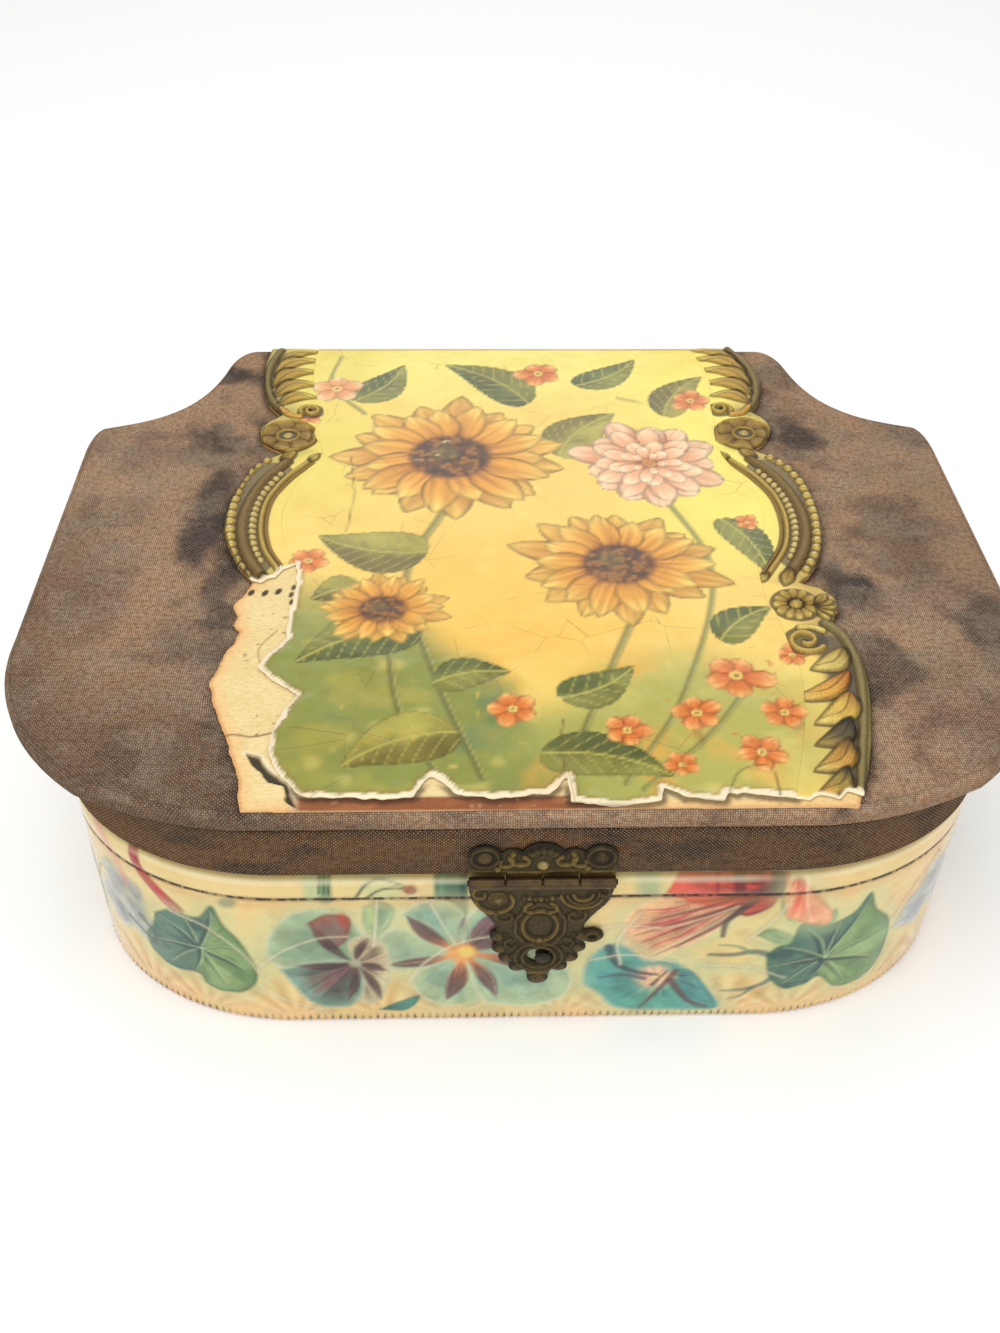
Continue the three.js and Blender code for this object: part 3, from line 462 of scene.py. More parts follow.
@dataclass
class FieldPlate:
    """A plate on a fine square grid, cut where a distance field is zero, with a modelled top."""

    name: str
    low: tuple[float, float]
    high: tuple[float, float]
    cell: float
    inside: Field
    top: Field
    foot: float
    wall_y: float | None = None
    facing: int = -1
    backed: bool = False

    def stand(self, points: np.ndarray) -> np.ndarray:
        """Turn points of the flat plate to where the plate is.

        Args:
            points: Places across and up, and the height above the back.

        Returns:
            The same points, or for a standing plate those in the XZ plane, facing the front or the back.
        """
        if self.wall_y is None:
            return points
        across = points[:, 0] if self.facing < 0 else -points[:, 0]
        return np.column_stack([across, self.wall_y + self.facing * points[:, 2], points[:, 1]])

    def build(self) -> bpy.types.Object:
        """Keep the cells whose corners lie inside on average, and draw the edge points onto the zero line.

        Each edge point moves by its distance over the field's slope. The top takes the height that
        top gives there, and a wall goes down to foot. A plate whose back shows has a copy of the
        grid there, and a sheet that is glued down stays open below. With wall_y set, the plate
        stands in the XZ plane with its back there.

        Returns:
            The new object; its first points are the top's, in the order of self.places.
        """
        xs = np.arange(self.low[0] - self.cell, self.high[0] + 2 * self.cell, self.cell)
        ys = np.arange(self.low[1] - self.cell, self.high[1] + 2 * self.cell, self.cell)
        x, y = np.meshgrid(xs, ys)
        gap = self.inside(x, y)
        mean = (gap[:-1, :-1] + gap[:-1, 1:] + gap[1:, 1:] + gap[1:, :-1]) / 4
        number = np.arange(x.size).reshape(x.shape)
        corners = np.stack([number[:-1, :-1], number[:-1, 1:], number[1:, 1:], number[1:, :-1]], -1)
        quads = corners[mean > 0]
        used, quads = np.unique(quads, return_inverse=True)
        quads = quads.reshape(-1, 4)
        x, y = x.ravel()[used], y.ravel()[used]
        edges = np.concatenate([quads[:, [k, (k + 1) % 4]] for k in range(4)])
        count = len(x)
        lone = ~np.isin(edges[:, 0] * count + edges[:, 1], edges[:, 1] * count + edges[:, 0])
        rim = edges[lone]
        border = np.unique(rim)
        reach = self.cell * 0.3
        for _ in range(2):
            bx, by = x[border], y[border]
            here = self.inside(bx, by)
            slope_x = (self.inside(bx + reach, by) - self.inside(bx - reach, by)) / (2 * reach)
            slope_y = (self.inside(bx, by + reach) - self.inside(bx, by - reach)) / (2 * reach)
            steep = np.maximum(slope_x**2 + slope_y**2, 0.25)
            move = np.clip(here / steep, -0.7 * self.cell, 0.7 * self.cell)
            x[border] = bx - move * slope_x
            y[border] = by - move * slope_y
        self.places = np.stack([x, y], 1)
        self.height = self.top(x, y)
        below = np.full(count, -1)
        lower = np.arange(count) if self.backed else border
        below[lower] = count + np.arange(len(lower))
        wall = np.stack([rim[:, 0], below[rim[:, 0]], below[rim[:, 1]], rim[:, 1]], 1)
        points = np.column_stack([x, y, self.height])
        points = np.vstack([points, np.column_stack([x[lower], y[lower], np.full(len(lower), self.foot)])])
        under = [below[quads][:, ::-1]] if self.backed else []
        faces = [quads, wall] + under
        points = self.stand(points)
        self.top_count = count
        self.lower = lower
        thing = write_mesh(self.name, points, faces)
        thing.data.set_sharp_from_angle(angle=math.radians(50))
        return thing

    def canvas(self, ground: Colour) -> Canvas:
        """Give the top as a canvas with one ground colour."""
        return Canvas(self.places[:, 0], self.places[:, 1], ground)

    def paint(self, thing: bpy.types.Object, colour: np.ndarray, gilt: np.ndarray | None = None) -> None:
        """Store what is painted on the top, with the wall's taken from the edge above it.

        Args:
            thing: The built object.
            colour: One colour for each point of the top.
            gilt: A share of gilt for each.
        """
        give_colour(thing, "paint", np.vstack([colour, colour[self.lower]]))
        if gilt is not None:
            store = thing.data.attributes.new("gilt", "FLOAT", "POINT")
            store.data.foreach_set("value", np.concatenate([gilt, gilt[self.lower]]).astype(np.float32))

    def press(self, thing: bpy.types.Object, height: np.ndarray) -> None:
        """Give the top new heights.

        Args:
            thing: The built object.
            height: One height for each point of the top.
        """
        points = np.empty(len(thing.data.vertices) * 3, np.float32)
        thing.data.vertices.foreach_get("co", points)
        points = points.reshape(-1, 3)
        top = self.stand(np.column_stack([self.places, height]))
        points[: self.top_count] = top * MM
        thing.data.vertices.foreach_set("co", points.ravel())
        thing.data.update()


PALED: Colour = (232, 232, 196)
HALO: Colour = (192, 206, 156)


def blended(tones: tuple[Colour, Colour, Colour], way: np.ndarray, reached: float = 0.5) -> np.ndarray:
    """Run from one tone through a second to a third.

    Args:
        tones: Display colours at the start, in the middle and at the end.
        way: How far along each point is, 0 to 1.
        reached: Where the second tone is reached.

    Returns:
        A linear colour for each point.
    """
    start, middle, end = (linear(tone) for tone in tones)
    first, second = smooth(0.0, reached, way)[:, None], smooth(0.5, 1.0, way)[:, None]
    return (start * (1 - first) + middle * first) * (1 - second) + end * second


def domed(share: np.ndarray) -> np.ndarray:
    """Rise as a quarter circle, by one less the square of what is left to the middle, under a root.

    Args:
        share: How far in from the edge each point is, 0 to 1.

    Returns:
        Heights from 0 to 1.
    """
    return np.sqrt(np.clip(1 - (1 - np.clip(share, 0, 1)) ** 2, 0, 1))


class Canvas:
    """Points that are painted one by one: a linear colour, a lift in millimetres and a share of gilt."""

    def __init__(self, x: np.ndarray, y: np.ndarray, ground: Colour) -> None:
        """Start from one ground colour.

        Args:
            x: Places along the first axis, in millimetres.
            y: Places along the second axis.
            ground: A display colour.
        """
        self.x, self.y = x.ravel(), y.ravel()
        self.colour = np.array(np.broadcast_to(linear(ground), (self.x.size, 3)))
        self.lift = np.zeros(self.x.size)
        self.gilt = np.zeros(self.x.size)

    def near(self, low, high) -> np.ndarray:
        """Pick the points in a box.

        Args:
            low: Lowest corner.
            high: Highest corner.

        Returns:
            The points' numbers.
        """
        pick = (self.x > low[0]) & (self.x < high[0]) & (self.y > low[1]) & (self.y < high[1])
        return np.nonzero(pick)[0]

    def lay(self, where: np.ndarray | slice, tone: np.ndarray, share: np.ndarray) -> None:
        """Mix linear colours into the points, each by its share."""
        share = share[..., None]
        self.colour[where] = self.colour[where] * (1 - share) + tone * share

    def press(self, where: np.ndarray, lift: np.ndarray, gilt: np.ndarray) -> None:
        """Raise the points to at least a lift, and give them at least a share of gilt."""
        self.lift[where] = np.maximum(self.lift[where], lift)
        self.gilt[where] = np.maximum(self.gilt[where], gilt)

    def wash(self, share: np.ndarray, colour: Colour, where: np.ndarray | slice = slice(None)) -> None:
        """Lay a display colour over the points, each by its share."""
        self.lay(where, linear(colour), np.clip(share, 0, 1))

    def patches(self, share: float, reach: tuple[float, float], size: float, octaves: int, seed: int,
                colour: Colour, shift: tuple[float, float] = (0.0, 0.0)) -> None:
        """Lay a colour over all points in cloudy patches.

        Args:
            share: How strongly a patch covers.
            reach: Noise values at which a patch begins and is full.
            size: Size of the largest patches.
            octaves: How many sizes of noise are summed.
            seed: Which noise it takes.
            colour: The display colour.
            shift: How far the noise is shifted.
        """
        grain = cloud(self.x + shift[0], self.y + shift[1], size, octaves, seed)
        self.wash(share * smooth(*reach, grain), colour)

    def stroke(self, points, width: float, colour: Colour, share: float = 1.0, lift: float = 0.0,
               gilt: float = 0.0, taper: float = 0.0, soft: float = 0.3, smoothly: bool = True) -> None:
        """Draw a line, round on top where it is lifted.

        Args:
            points: The line's points, one row each.
            width: Its full width.
            colour: Its display colour.
            share: How strongly it covers.
            lift: Height of its rounded top above the ground.
            gilt: Share of gilt that it carries.
            taper: How much of the width is lost towards the end of the line, 0 to 1.
            soft: Width of its soft edge.
            smoothly: Whether the line is curved through its points.
        """
        path = through(points, 24 + 6 * len(points)) if smoothly else np.asarray(points, float)
        where = self.near(path.min(0) - width - 1, path.max(0) + width + 1)
        if not where.size:
            return
        gap, along, _ = away(self.x[where], self.y[where], path)
        half = 0.5 * width * (1 - taper * along)
        cover = share * (1 - smooth(-soft, soft, gap - half))
        self.wash(cover, colour, where)
        self.press(where, lift * domed(1 - gap / np.maximum(half, 1e-6)), gilt * cover)

    def measured(self, root, tip, bow: float, reach: float
                 ) -> tuple[np.ndarray, np.ndarray, np.ndarray, float]:
        """Pick the points round a middle line that bows by a parabola, and measure them against it.

        Args:
            root: Where the line starts.
            tip: Where it ends.
            bow: How far it bows to the left, as a share of its length.
            reach: How far from it the points may lie.

        Returns:
            The points' numbers, how far along it each is (0 to 1), how far to the left, and its length.
        """
        root, tip = np.asarray(root, float), np.asarray(tip, float)
        length = float(np.hypot(*(tip - root)))
        forth = (tip - root) / length
        reach = reach + abs(bow) * length
        where = self.near(np.minimum(root, tip) - reach, np.maximum(root, tip) + reach)
        dx, dy = self.x[where] - root[0], self.y[where] - root[1]
        along = (dx * forth[0] + dy * forth[1]) / length
        held = np.clip(along, 0, 1)
        return where, along, dy * forth[0] - dx * forth[1] - bow * length * 4 * held * (1 - held), length

    def blade(self, root, tip, width: float, colours: tuple[Colour, Colour, Colour], bow: float = 0.0,
              full: float = 0.5, blunt: float = 0.7, edge: float = 0.35, streak: float = 0.35,
              lift: float = 0.0,
              gilt: float = 0.0, seed: int = 1, cover: float = 1.0, soft: float = 0.3) -> None:
        """Paint a petal or a plain leaf, from a narrow root to its tip.

        The half width follows the sine of the way along, raised to the power blunt, with the widest
        place at full. The colour runs from root to middle to tip, broken by streaks that follow the
        form, and darkens at the edge.

        Args:
            root: Where it starts.
            tip: Where it ends.
            width: Its greatest width.
            colours: Display colours at the root, the middle and the tip.
            bow: How far the middle line bows to the left, as a share of the length.
            full: Where along it is widest, 0 to 1.
            blunt: How blunt the ends are; lower is blunter.
            edge: How much the edge is darkened.
            streak: How strong the streaks are.
            lift: Height of its raised middle.
            gilt: Share of gilt that it carries.
            seed: Which noise it takes.
            cover: How strongly it covers.
            soft: Width of its soft edge.
        """
        where, along, across, length = self.measured(root, tip, bow, width + 1)
        if not where.size:
            return
        bend = np.log(0.5) / np.log(full)
        half = 0.5 * width * np.sin(np.pi * np.clip(along, 1e-4, 1 - 1e-4) ** bend) ** blunt
        ends = np.minimum(along, 1 - along) * length
        gap = half - np.abs(across)
        gap = np.where((along > 0) & (along < 1), gap, np.minimum(ends, gap))
        mask = cover * smooth(-soft, soft, gap)
        lines = lattice_noise(across / (0.09 * width) + 9 * seed, along * 2.2 + seed, seed)
        shade = 1 - edge * (1 - smooth(0, 0.16 * width + 0.4, gap)) + 0.22 * streak * lines
        tone = blended(colours, np.clip(along + 0.16 * streak * lines, 0, 1)) * shade[:, None]
        self.lay(where, tone, mask)
        self.press(where, lift * domed(gap / (0.5 * width)), gilt * mask)

    def petal(self, outline, focus, tones: tuple[Colour, Colour, Colour], vein: Colour, rays: float = 3.0,
              curl: float = 0.0, strength: float = 0.6, seed: int = 1, edge: float = 0.25,
              pale: float = 0.0,
              cover: float = 1.0, soft: float = 0.6, lift: float = 0.2, halo: float = 0.0) -> None:
        """Paint a free shape in the manner of a watercolour, with streaks that run out from a focus.

        A point's way is its distance from the focus over that distance and its distance to the
        outline together, so it is zero at the focus and one at the edge. The colour follows the way
        from root to tip. Streaks are noise on the direction from the focus, which turns by curl on
        the way out.

        Args:
            outline: Points of the closed outline, which is curved through them.
            focus: Where the streaks meet.
            tones: Display colours at the focus, half way and at the edge.
            vein: Display colour of the streaks.
            rays: Streaks to the radian.
            curl: How far the streaks turn, in radians.
            strength: How strongly they cover.
            seed: Which noise it takes.
            edge: How much the edge is darkened.
            pale: How much the edge is paled.
            cover: How strongly the shape covers what is under it.
            soft: Width of its soft edge.
            lift: Height of its raised middle.
            halo: How strong a pale green wash lies round it.
        """
        points = np.asarray(outline, float)
        path = through(np.vstack([points, points[:1]]), 12 * len(points))
        where = self.near(path.min(0) - 8, path.max(0) + 8)
        if not where.size:
            return
        x, y = self.x[where], self.y[where]
        gap = within(x, y, path[:-1])
        dx, dy = x - focus[0], y - focus[1]
        far = np.hypot(dx, dy)
        way = far / np.maximum(far + np.maximum(gap, 0.0), 1e-6)
        aim = math.atan2(*(points.mean(0) - focus)[::-1])
        turn = np.mod(np.arctan2(dy, dx) - aim + math.pi, math.tau) - math.pi + curl * way
        turn = turn + 0.06 * cloud(x, y, 9.0, 2, seed)
        lines = 0.62 * lattice_noise(turn * rays + 7.0, way * 1.2 + seed, seed)
        lines = lines + 0.5 * lattice_noise(turn * rays * 2.9 + 3.0, way * 2.4, seed + 1)
        tone = blended(tones, np.clip(way + 0.3 * lines + 0.12 * cloud(x, y, 6.0, 3, seed + 2), 0, 1), 0.55)
        share = (strength * smooth(-0.05, 0.42, lines) * smooth(1.05, 0.6, way))[:, None]
        tone = tone * (1 - share) + linear(vein) * share
        tone = tone * (1 + 0.24 * cloud(x, y, 3.5, 3, seed + 3) - edge * smooth(1.6, 0.1, gap))[:, None]
        rim = (pale * smooth(1.5, 0.3, gap))[:, None]
        tone = tone * (1 - rim) + linear(PALED) * rim
        if halo:
            self.wash(halo * smooth(-7.5, 0.0, gap + 1.5 * cloud(x, y, 7.0, 2, seed)), HALO, where)
        self.lay(where, tone, cover * smooth(-soft, soft, gap))
        self.press(where, lift * domed(gap / 5.0) * (1 + 0.35 * lines), 0.0)

    def leaf(self, root, tip, width: float, tones: tuple[Colour, Colour, Colour], bow: float, seed: int,
             teeth: float = 0.5) -> None:
        """Paint a leaf with one side darker than the other, a midrib and side veins.

        Args:
            root: Where the stalk meets it.
            tip: Its point.
            width: Its greatest width.
            tones: Display colours of the left side, the right side and the veins.
            bow: How far the midrib bows to the left, as a share of the length.
            seed: Which noise it takes.
            teeth: How deep the edge is notched, in millimetres.
        """
        where, along, across, length = self.measured(root, tip, bow, width + 2)
        if not where.size:
            return
        dark, light, vein = (linear(tone) for tone in tones)
        held, inside = np.clip(along, 0, 1), np.clip(along, 1e-4, 1 - 1e-4)
        half = 0.5 * width * (np.sin(np.pi * inside**0.62) ** 0.75) * (1 - 0.25 * inside**3)
        half = half + teeth * np.abs(np.sin(held * length * 1.1 + 0.5)) * np.sin(np.pi * inside)
        ends = np.minimum(along, 1 - along) * length
        gap = half - np.abs(across)
        gap = np.where((along > 0) & (along < 1), gap, np.minimum(ends, gap))
        patch = cloud(self.x[where], self.y[where], 7.0, 3, seed)
        side = smooth(-0.22 * width, 0.22 * width, -across + 1.4 * patch)[:, None]
        tone = (dark * (1 - side) + light * side) * (1 + 0.28 * patch)[:, None]
        rib = 1 - smooth(0.1, 0.55, np.abs(across))
        slant = held * length - 0.9 * np.abs(across)
        side_vein = (1 - smooth(0.0, 0.5, np.abs((slant / 4.2) % 1 - 0.5) * 4.2)) * 0.55
        lines = np.maximum(rib * 0.9, side_vein)[:, None]
        tone = (tone * (1 - lines) + vein * lines) * (1 - 0.4 * (1 - smooth(0, 1.0, gap)))[:, None]
        self.lay(where, tone, smooth(-0.35, 0.35, gap))

    def spot(self, centre, radius: float, colour: Colour, share: float = 1.0, lift: float = 0.0,
             gilt: float = 0.0, squeeze: float = 1.0, turn: float = 0.0, soft: float = 0.3) -> None:
        """Paint a round or oval spot, domed where it is lifted.

        Args:
            centre: Its middle.
            radius: Half its greater width.
            colour: Its display colour.
            share: How strongly it covers.
            lift: Height of its dome.
            gilt: Share of gilt that it carries.
            squeeze: Its lesser width as a share of the greater.
            turn: How far the greater width is turned from the first axis, in degrees.
            soft: Width of its soft edge.
        """
        reach = radius + soft + 0.5
        where = self.near(np.subtract(centre, reach), np.add(centre, reach))
        if not where.size:
            return
        dx, dy = self.x[where] - centre[0], self.y[where] - centre[1]
        c, s = math.cos(math.radians(turn)), math.sin(math.radians(turn))
        gap = np.hypot(dx * c + dy * s, (dy * c - dx * s) / squeeze)
        cover = share * (1 - smooth(radius - soft, radius + soft, gap))
        self.wash(cover, colour, where)
        self.press(where, lift * domed(1 - gap / radius), gilt * cover)

    def flecks(self, low, high, size: float, amount: float, colour: Colour, share: float,
               seed: int) -> None:
        """Scatter small irregular flecks over a box, fading towards its edges.

        Args:
            low: Lowest corner of the box.
            high: Highest corner.
            size: Size of a fleck.
            amount: How much of the box they cover, 0 to 1.
            colour: Their display colour.
            share: How strongly they cover.
            seed: Which noise they take.
        """
        where = self.near(low, high)
        x, y = self.x[where], self.y[where]
        middle, half = np.add(low, high) / 2, np.subtract(high, low) / 2
        fade = 1 - smooth(0.55, 1.0, np.hypot((x - middle[0]) / half[0], (y - middle[1]) / half[1]))
        edge = 0.9 - 1.1 * amount
        self.wash(share * smooth(edge, edge + 0.18, cloud(x, y, size, 2, seed)) * fade, colour, where)

    def petals(self, centre, count: int, inner: float, outer: float, width: float,
               colours: tuple[Colour, Colour, Colour], start: float = 0.0, squash: float = 1.0,
               wobble: float = 0.08, seed: int = 1, **kind: float) -> None:
        """Set petals round a centre.

        Args:
            centre: Middle of the flower.
            count: Number of petals.
            inner: Where a petal starts, from the centre.
            outer: Where it ends.
            width: Its greatest width.
            colours: Display colours at its root, middle and tip.
            start: Direction of the first petal, in degrees.
            squash: Height of the flower as a share of its width.
            wobble: How much the petals differ in length and direction.
            seed: Which random numbers they take.
            **kind: Further settings of blade.
        """
        chance = np.random.default_rng(seed)
        middle = np.asarray(centre, float)
        for k in range(count):
            angle = math.radians(start + 360 * k / count + 30 * wobble * chance.normal())
            length = outer * (1 + wobble * chance.normal())
            step = np.array([math.cos(angle), squash * math.sin(angle)])
            self.blade(middle + inner * step, middle + length * step, width, colours, seed=seed + k, **kind)


Socket = bpy.types.NodeSocket
FLOAT = "NodeSocketFloat"


@dataclass
class Tree:
    """A short way to write shader nodes. Three numbers stand for a display colour."""

    tree: bpy.types.NodeTree

    def fill(self, target: Socket, value: object) -> None:
        """Link an input to a socket, or set it to a number, vector or colour."""
        if isinstance(value, Socket):
            self.tree.links.new(value, target)
        else:
            target.default_value = value

    def node(self, kind: str, values: dict[str | int, object] | None = None,
             **settings: object) -> bpy.types.Node:
        """Add a node, and set or link its inputs.

        Args:
            kind: The node's type name, without its ShaderNode prefix.
            values: A number, vector or socket for each input.
            **settings: The node's own settings.

        Returns:
            The node.
        """
        made = self.tree.nodes.new("ShaderNode" + kind)
        for name, value in settings.items():
            setattr(made, name, value)
        for name, value in (values or {}).items():
            self.fill(made.inputs[name], value)
        return made

    def sums(self, operation: str, first: object, second: object = 0.0, third: object = 0.0) -> Socket:
        """Work out one number from up to three with the named operation of a Math node."""
        return self.node("Math", {0: first, 1: second, 2: third}, operation=operation).outputs[0]

    def times(self, first: object, second: object) -> Socket:
        """Multiply two numbers."""
        return self.sums("MULTIPLY", first, second)

    def vector(self, operation: str, first: Socket, name: str | int, second: object) -> Socket:
        """Work out a vector with the named operation; its second input goes by name or number."""
        return self.node("VectorMath", {0: first, name: second}, operation=operation).outputs[0]

    def graded(self, value: Socket, low: float, high: float, start: float = 0.0,
               end: float = 1.0) -> Socket:
        """Map a number smoothly from one range to another, held at both ends.

        Args:
            value: The number.
            low: Where the first range starts.
            high: Where it ends.
            start: The result at low.
            end: The result at high.

        Returns:
            The result.
        """
        values = {"Value": value, "From Min": low, "From Max": high, "To Min": start, "To Max": end}
        return self.node("MapRange", values, interpolation_type="SMOOTHSTEP").outputs["Result"]

    def mixed(self, share: object, first: object, second: object, blend: str = "MIX") -> Socket:
        """Mix two colours.

        Args:
            share: How much of the second is taken.
            first: A display colour or socket.
            second: A display colour or socket.
            blend: Name of the way they are mixed.

        Returns:
            The mixed colour.
        """
        made = self.node("Mix", data_type="RGBA", blend_type=blend)
        self.fill(made.inputs[0], share)
        for number, value in ((6, first), (7, second)):
            self.fill(made.inputs[number], rgba(value) if isinstance(value, tuple) else value)
        return made.outputs[2]

    def shaded(self, share: object, first: object, second: object) -> Socket:
        """Darken a colour by a second one that it is multiplied with."""
        return self.mixed(share, first, second, "MULTIPLY")

    def noise(self, place: Socket, scale: float, detail: float = 4.0, roughness: float = 0.55,
              distortion: float = 0.0) -> Socket:
        """Add cloudy noise.

        Args:
            place: Where it is read.
            scale: Patches to the unit of place.
            detail: How many smaller sizes are added.
            roughness: How strong these are.
            distortion: How much it is twisted.

        Returns:
            A number near one half.
        """
        values = {"Vector": place, "Scale": scale, "Detail": detail, "Roughness": roughness,
                  "Distortion": distortion}
        return self.node("TexNoise", values).outputs[0]

    def stretched(self, place: Socket, scale: tuple[float, float, float], turn: float = 0.0) -> Socket:
        """Scale a place along each axis, and turn it about Z."""
        return self.node("Mapping", {"Vector": place, "Rotation": (0.0, 0.0, turn),
                                     "Scale": scale}).outputs[0]

    def paint(self) -> Socket:
        """Read the painted colour."""
        return self.node("Attribute", attribute_name="paint").outputs["Color"]

    def gilt(self) -> Socket:
        """Read the painted share of gilt."""
        return self.node("Attribute", attribute_name="gilt").outputs["Fac"]


@dataclass
class Shelf:
    """Node groups and materials, each made once."""

    groups: dict[str, bpy.types.NodeTree] = field(default_factory=dict)
    materials: dict[str, bpy.types.Material] = field(default_factory=dict)

    def group(self, name: str, inputs: dict[str, float], outputs: tuple[str, ...],
              write: Callable[[Tree, Socket, dict[str, Socket]], dict[str, Socket]]) -> bpy.types.NodeTree:
        """Make a node group on first use.

        Args:
            name: Its name.
            inputs: Each number that it takes beside its Place, and its usual value.
            outputs: The numbers that it gives.
            write: Fills the group, given the Tree, the place and the inputs, and gives its outputs.

        Returns:
            The group.
        """
        if name in self.groups:
            return self.groups[name]
        tree = bpy.data.node_groups.new(name, "ShaderNodeTree")
        tree.interface.new_socket("Place", in_out="INPUT", socket_type="NodeSocketVector")
        for label, usual in inputs.items():
            tree.interface.new_socket(label, in_out="INPUT", socket_type=FLOAT).default_value = usual
        for label in outputs:
            tree.interface.new_socket(label, in_out="OUTPUT", socket_type=FLOAT)
        entry, end = tree.nodes.new("NodeGroupInput"), tree.nodes.new("NodeGroupOutput")
        for label, socket in write(Tree(tree), entry.outputs["Place"], entry.outputs).items():
            tree.links.new(socket, end.inputs[label])
        self.groups[name] = tree
        return tree


SHELF = Shelf()


def weave_group() -> bpy.types.NodeTree:
    """Plain weave: threads that pass over and under each other in turn.

    A thread of either set is a half sine across its width. It lies on top where the product of the
    two sines of half the pitch is above zero, and below where it is not. The places are first
    shifted by slow noise, so the threads wander.

    Returns:
        The group, with Height, Over (1 where the first set is on top) and Hole outputs.
    """

    def write(tree: Tree, place: Socket, given: dict[str, Socket]) -> dict[str, Socket]:
        wander = tree.node("TexNoise", {"Vector": place, "Scale": 0.11, "Detail": 3.0}).outputs[1]
        shift = tree.vector("SUBTRACT", wander, 1, (0.5, 0.5, 0.5))
        shifted = tree.vector("ADD", place, 1, tree.vector("SCALE", shift, "Scale", given["Wander"]))
        parts = tree.node("SeparateXYZ", {0: shifted}).outputs
        turns = [tree.sums("DIVIDE", parts[k], given["Pitch"]) for k in (0, 1)]
        waves = [tree.sums("SINE", tree.times(turn, math.pi)) for turn in turns]
        sizes = [tree.sums("POWER", tree.sums("ABSOLUTE", wave), 0.6) for wave in waves]
        crown = tree.times(*sizes)
        return {
            "Height": tree.times(crown, tree.graded(tree.noise(place, 0.9, 2.0), 0.3, 0.7, 0.72, 1.12)),
            "Over": tree.graded(tree.times(*waves), -0.25, 0.25),
            "Hole": tree.graded(crown, 0.1, 0.55, 1.0, 0.0),
        }

    return SHELF.group("Plain weave", {"Pitch": 0.75, "Wander": 1.2}, ("Height", "Over", "Hole"), write)


def wear_group() -> bpy.types.NodeTree:
    """Cloudy grime, fine scratches and specks, shared by the hard finishes.

    Returns:
        The group, with Grime, Scratch and Speck outputs from 0 to 1.
    """

    def write(tree: Tree, place: Socket, given: dict[str, Socket]) -> dict[str, Socket]:
        place = tree.vector("SCALE", place, "Scale", given["Scale"])
        ways = [tree.stretched(place, (1.0, thin, 1.0), turn) for thin, turn in ((0.03, 0.5), (0.04, -0.9))]
        marks = [tree.graded(tree.noise(way, 2.2, 2.0, 0.5), 0.66, 0.74) for way in ways]
        return {
            "Grime": tree.graded(tree.noise(place, 0.05, 6.0, 0.62, 0.4), 0.42, 0.68),
            "Scratch": tree.sums("MAXIMUM", *marks),
            "Speck": tree.graded(tree.noise(place, 1.6, 3.0, 0.7), 0.68, 0.76),
        }

    return SHELF.group("Wear", {"Scale": 1.0}, ("Grime", "Scratch", "Speck"), write)


class Place(Enum):
    """Where a material reads its pattern."""

    OBJECT = "object"
    FLAT = "flat"


@dataclass(frozen=True)
class Finish:
    """A procedural material. Subclasses write the colour and the bump."""

    name: str
    roughness: float = 0.4
    metallic: float = 0.0
    coat: float = 0.0
    coat_roughness: float = 0.08
    sheen: float = 0.0
    sheen_roughness: float = 0.45
    ior: float = 1.5
    specular: float = 0.5
    bump: float = 0.3
    place: Place = Place.OBJECT

    def material(self) -> bpy.types.Material:
        """Make the material on first use.

        Returns:
            The material.
        """
        if self.name in SHELF.materials:
            return SHELF.materials[self.name]
        made = bpy.data.materials.new(self.name)
        made.use_nodes = True
        made.node_tree.nodes.clear()
        tree = Tree(made.node_tree)
        shader = tree.node("BsdfPrincipled", {
            "Roughness": self.roughness, "Metallic": self.metallic, "Coat Weight": self.coat,
            "IOR": self.ior,
            "Coat Roughness": self.coat_roughness, "Sheen Weight": self.sheen,
            "Sheen Roughness": self.sheen_roughness, "Specular IOR Level": self.specular,
        })
        if self.place is Place.FLAT:
            place = tree.node("UVMap", uv_map="place").outputs[0]
        else:
            place = tree.vector("SCALE", tree.node("TexCoord").outputs["Object"], "Scale", 1 / MM)
        sockets = self.write(tree, place)
        bump = tree.node("Bump", {"Height": sockets.pop("Height"), "Strength": self.bump, "Distance": MM})
        for name, socket in (sockets | {"Normal": bump.outputs[0]}).items():
            tree.fill(shader.inputs[name], socket)
        tree.node("OutputMaterial", {0: shader.outputs[0]})
        SHELF.materials[self.name] = made
        return made

    def write(self, tree: Tree, place: Socket) -> dict[str, Socket]:
        """Write the nodes that differ from one finish to another.

        Args:
            tree: Where they are written.
            place: The pattern's place, in millimetres.

        Returns:
            Sockets for the shader's inputs, and Height for the bump.
        """
        raise NotImplementedError

    def wear(self, tree: Tree, place: Socket, scale: float = 1.0) -> dict[str, Socket]:
        """Add the shared wear group.

        Args:
            tree: Where it is written.
            place: The pattern's place.
            scale: How much finer than usual it is.

        Returns:
            Its outputs.
        """
        made = tree.node("Group", node_tree=wear_group())
        tree.fill(made.inputs["Place"], place)
        tree.fill(made.inputs["Scale"], scale)
        return made.outputs


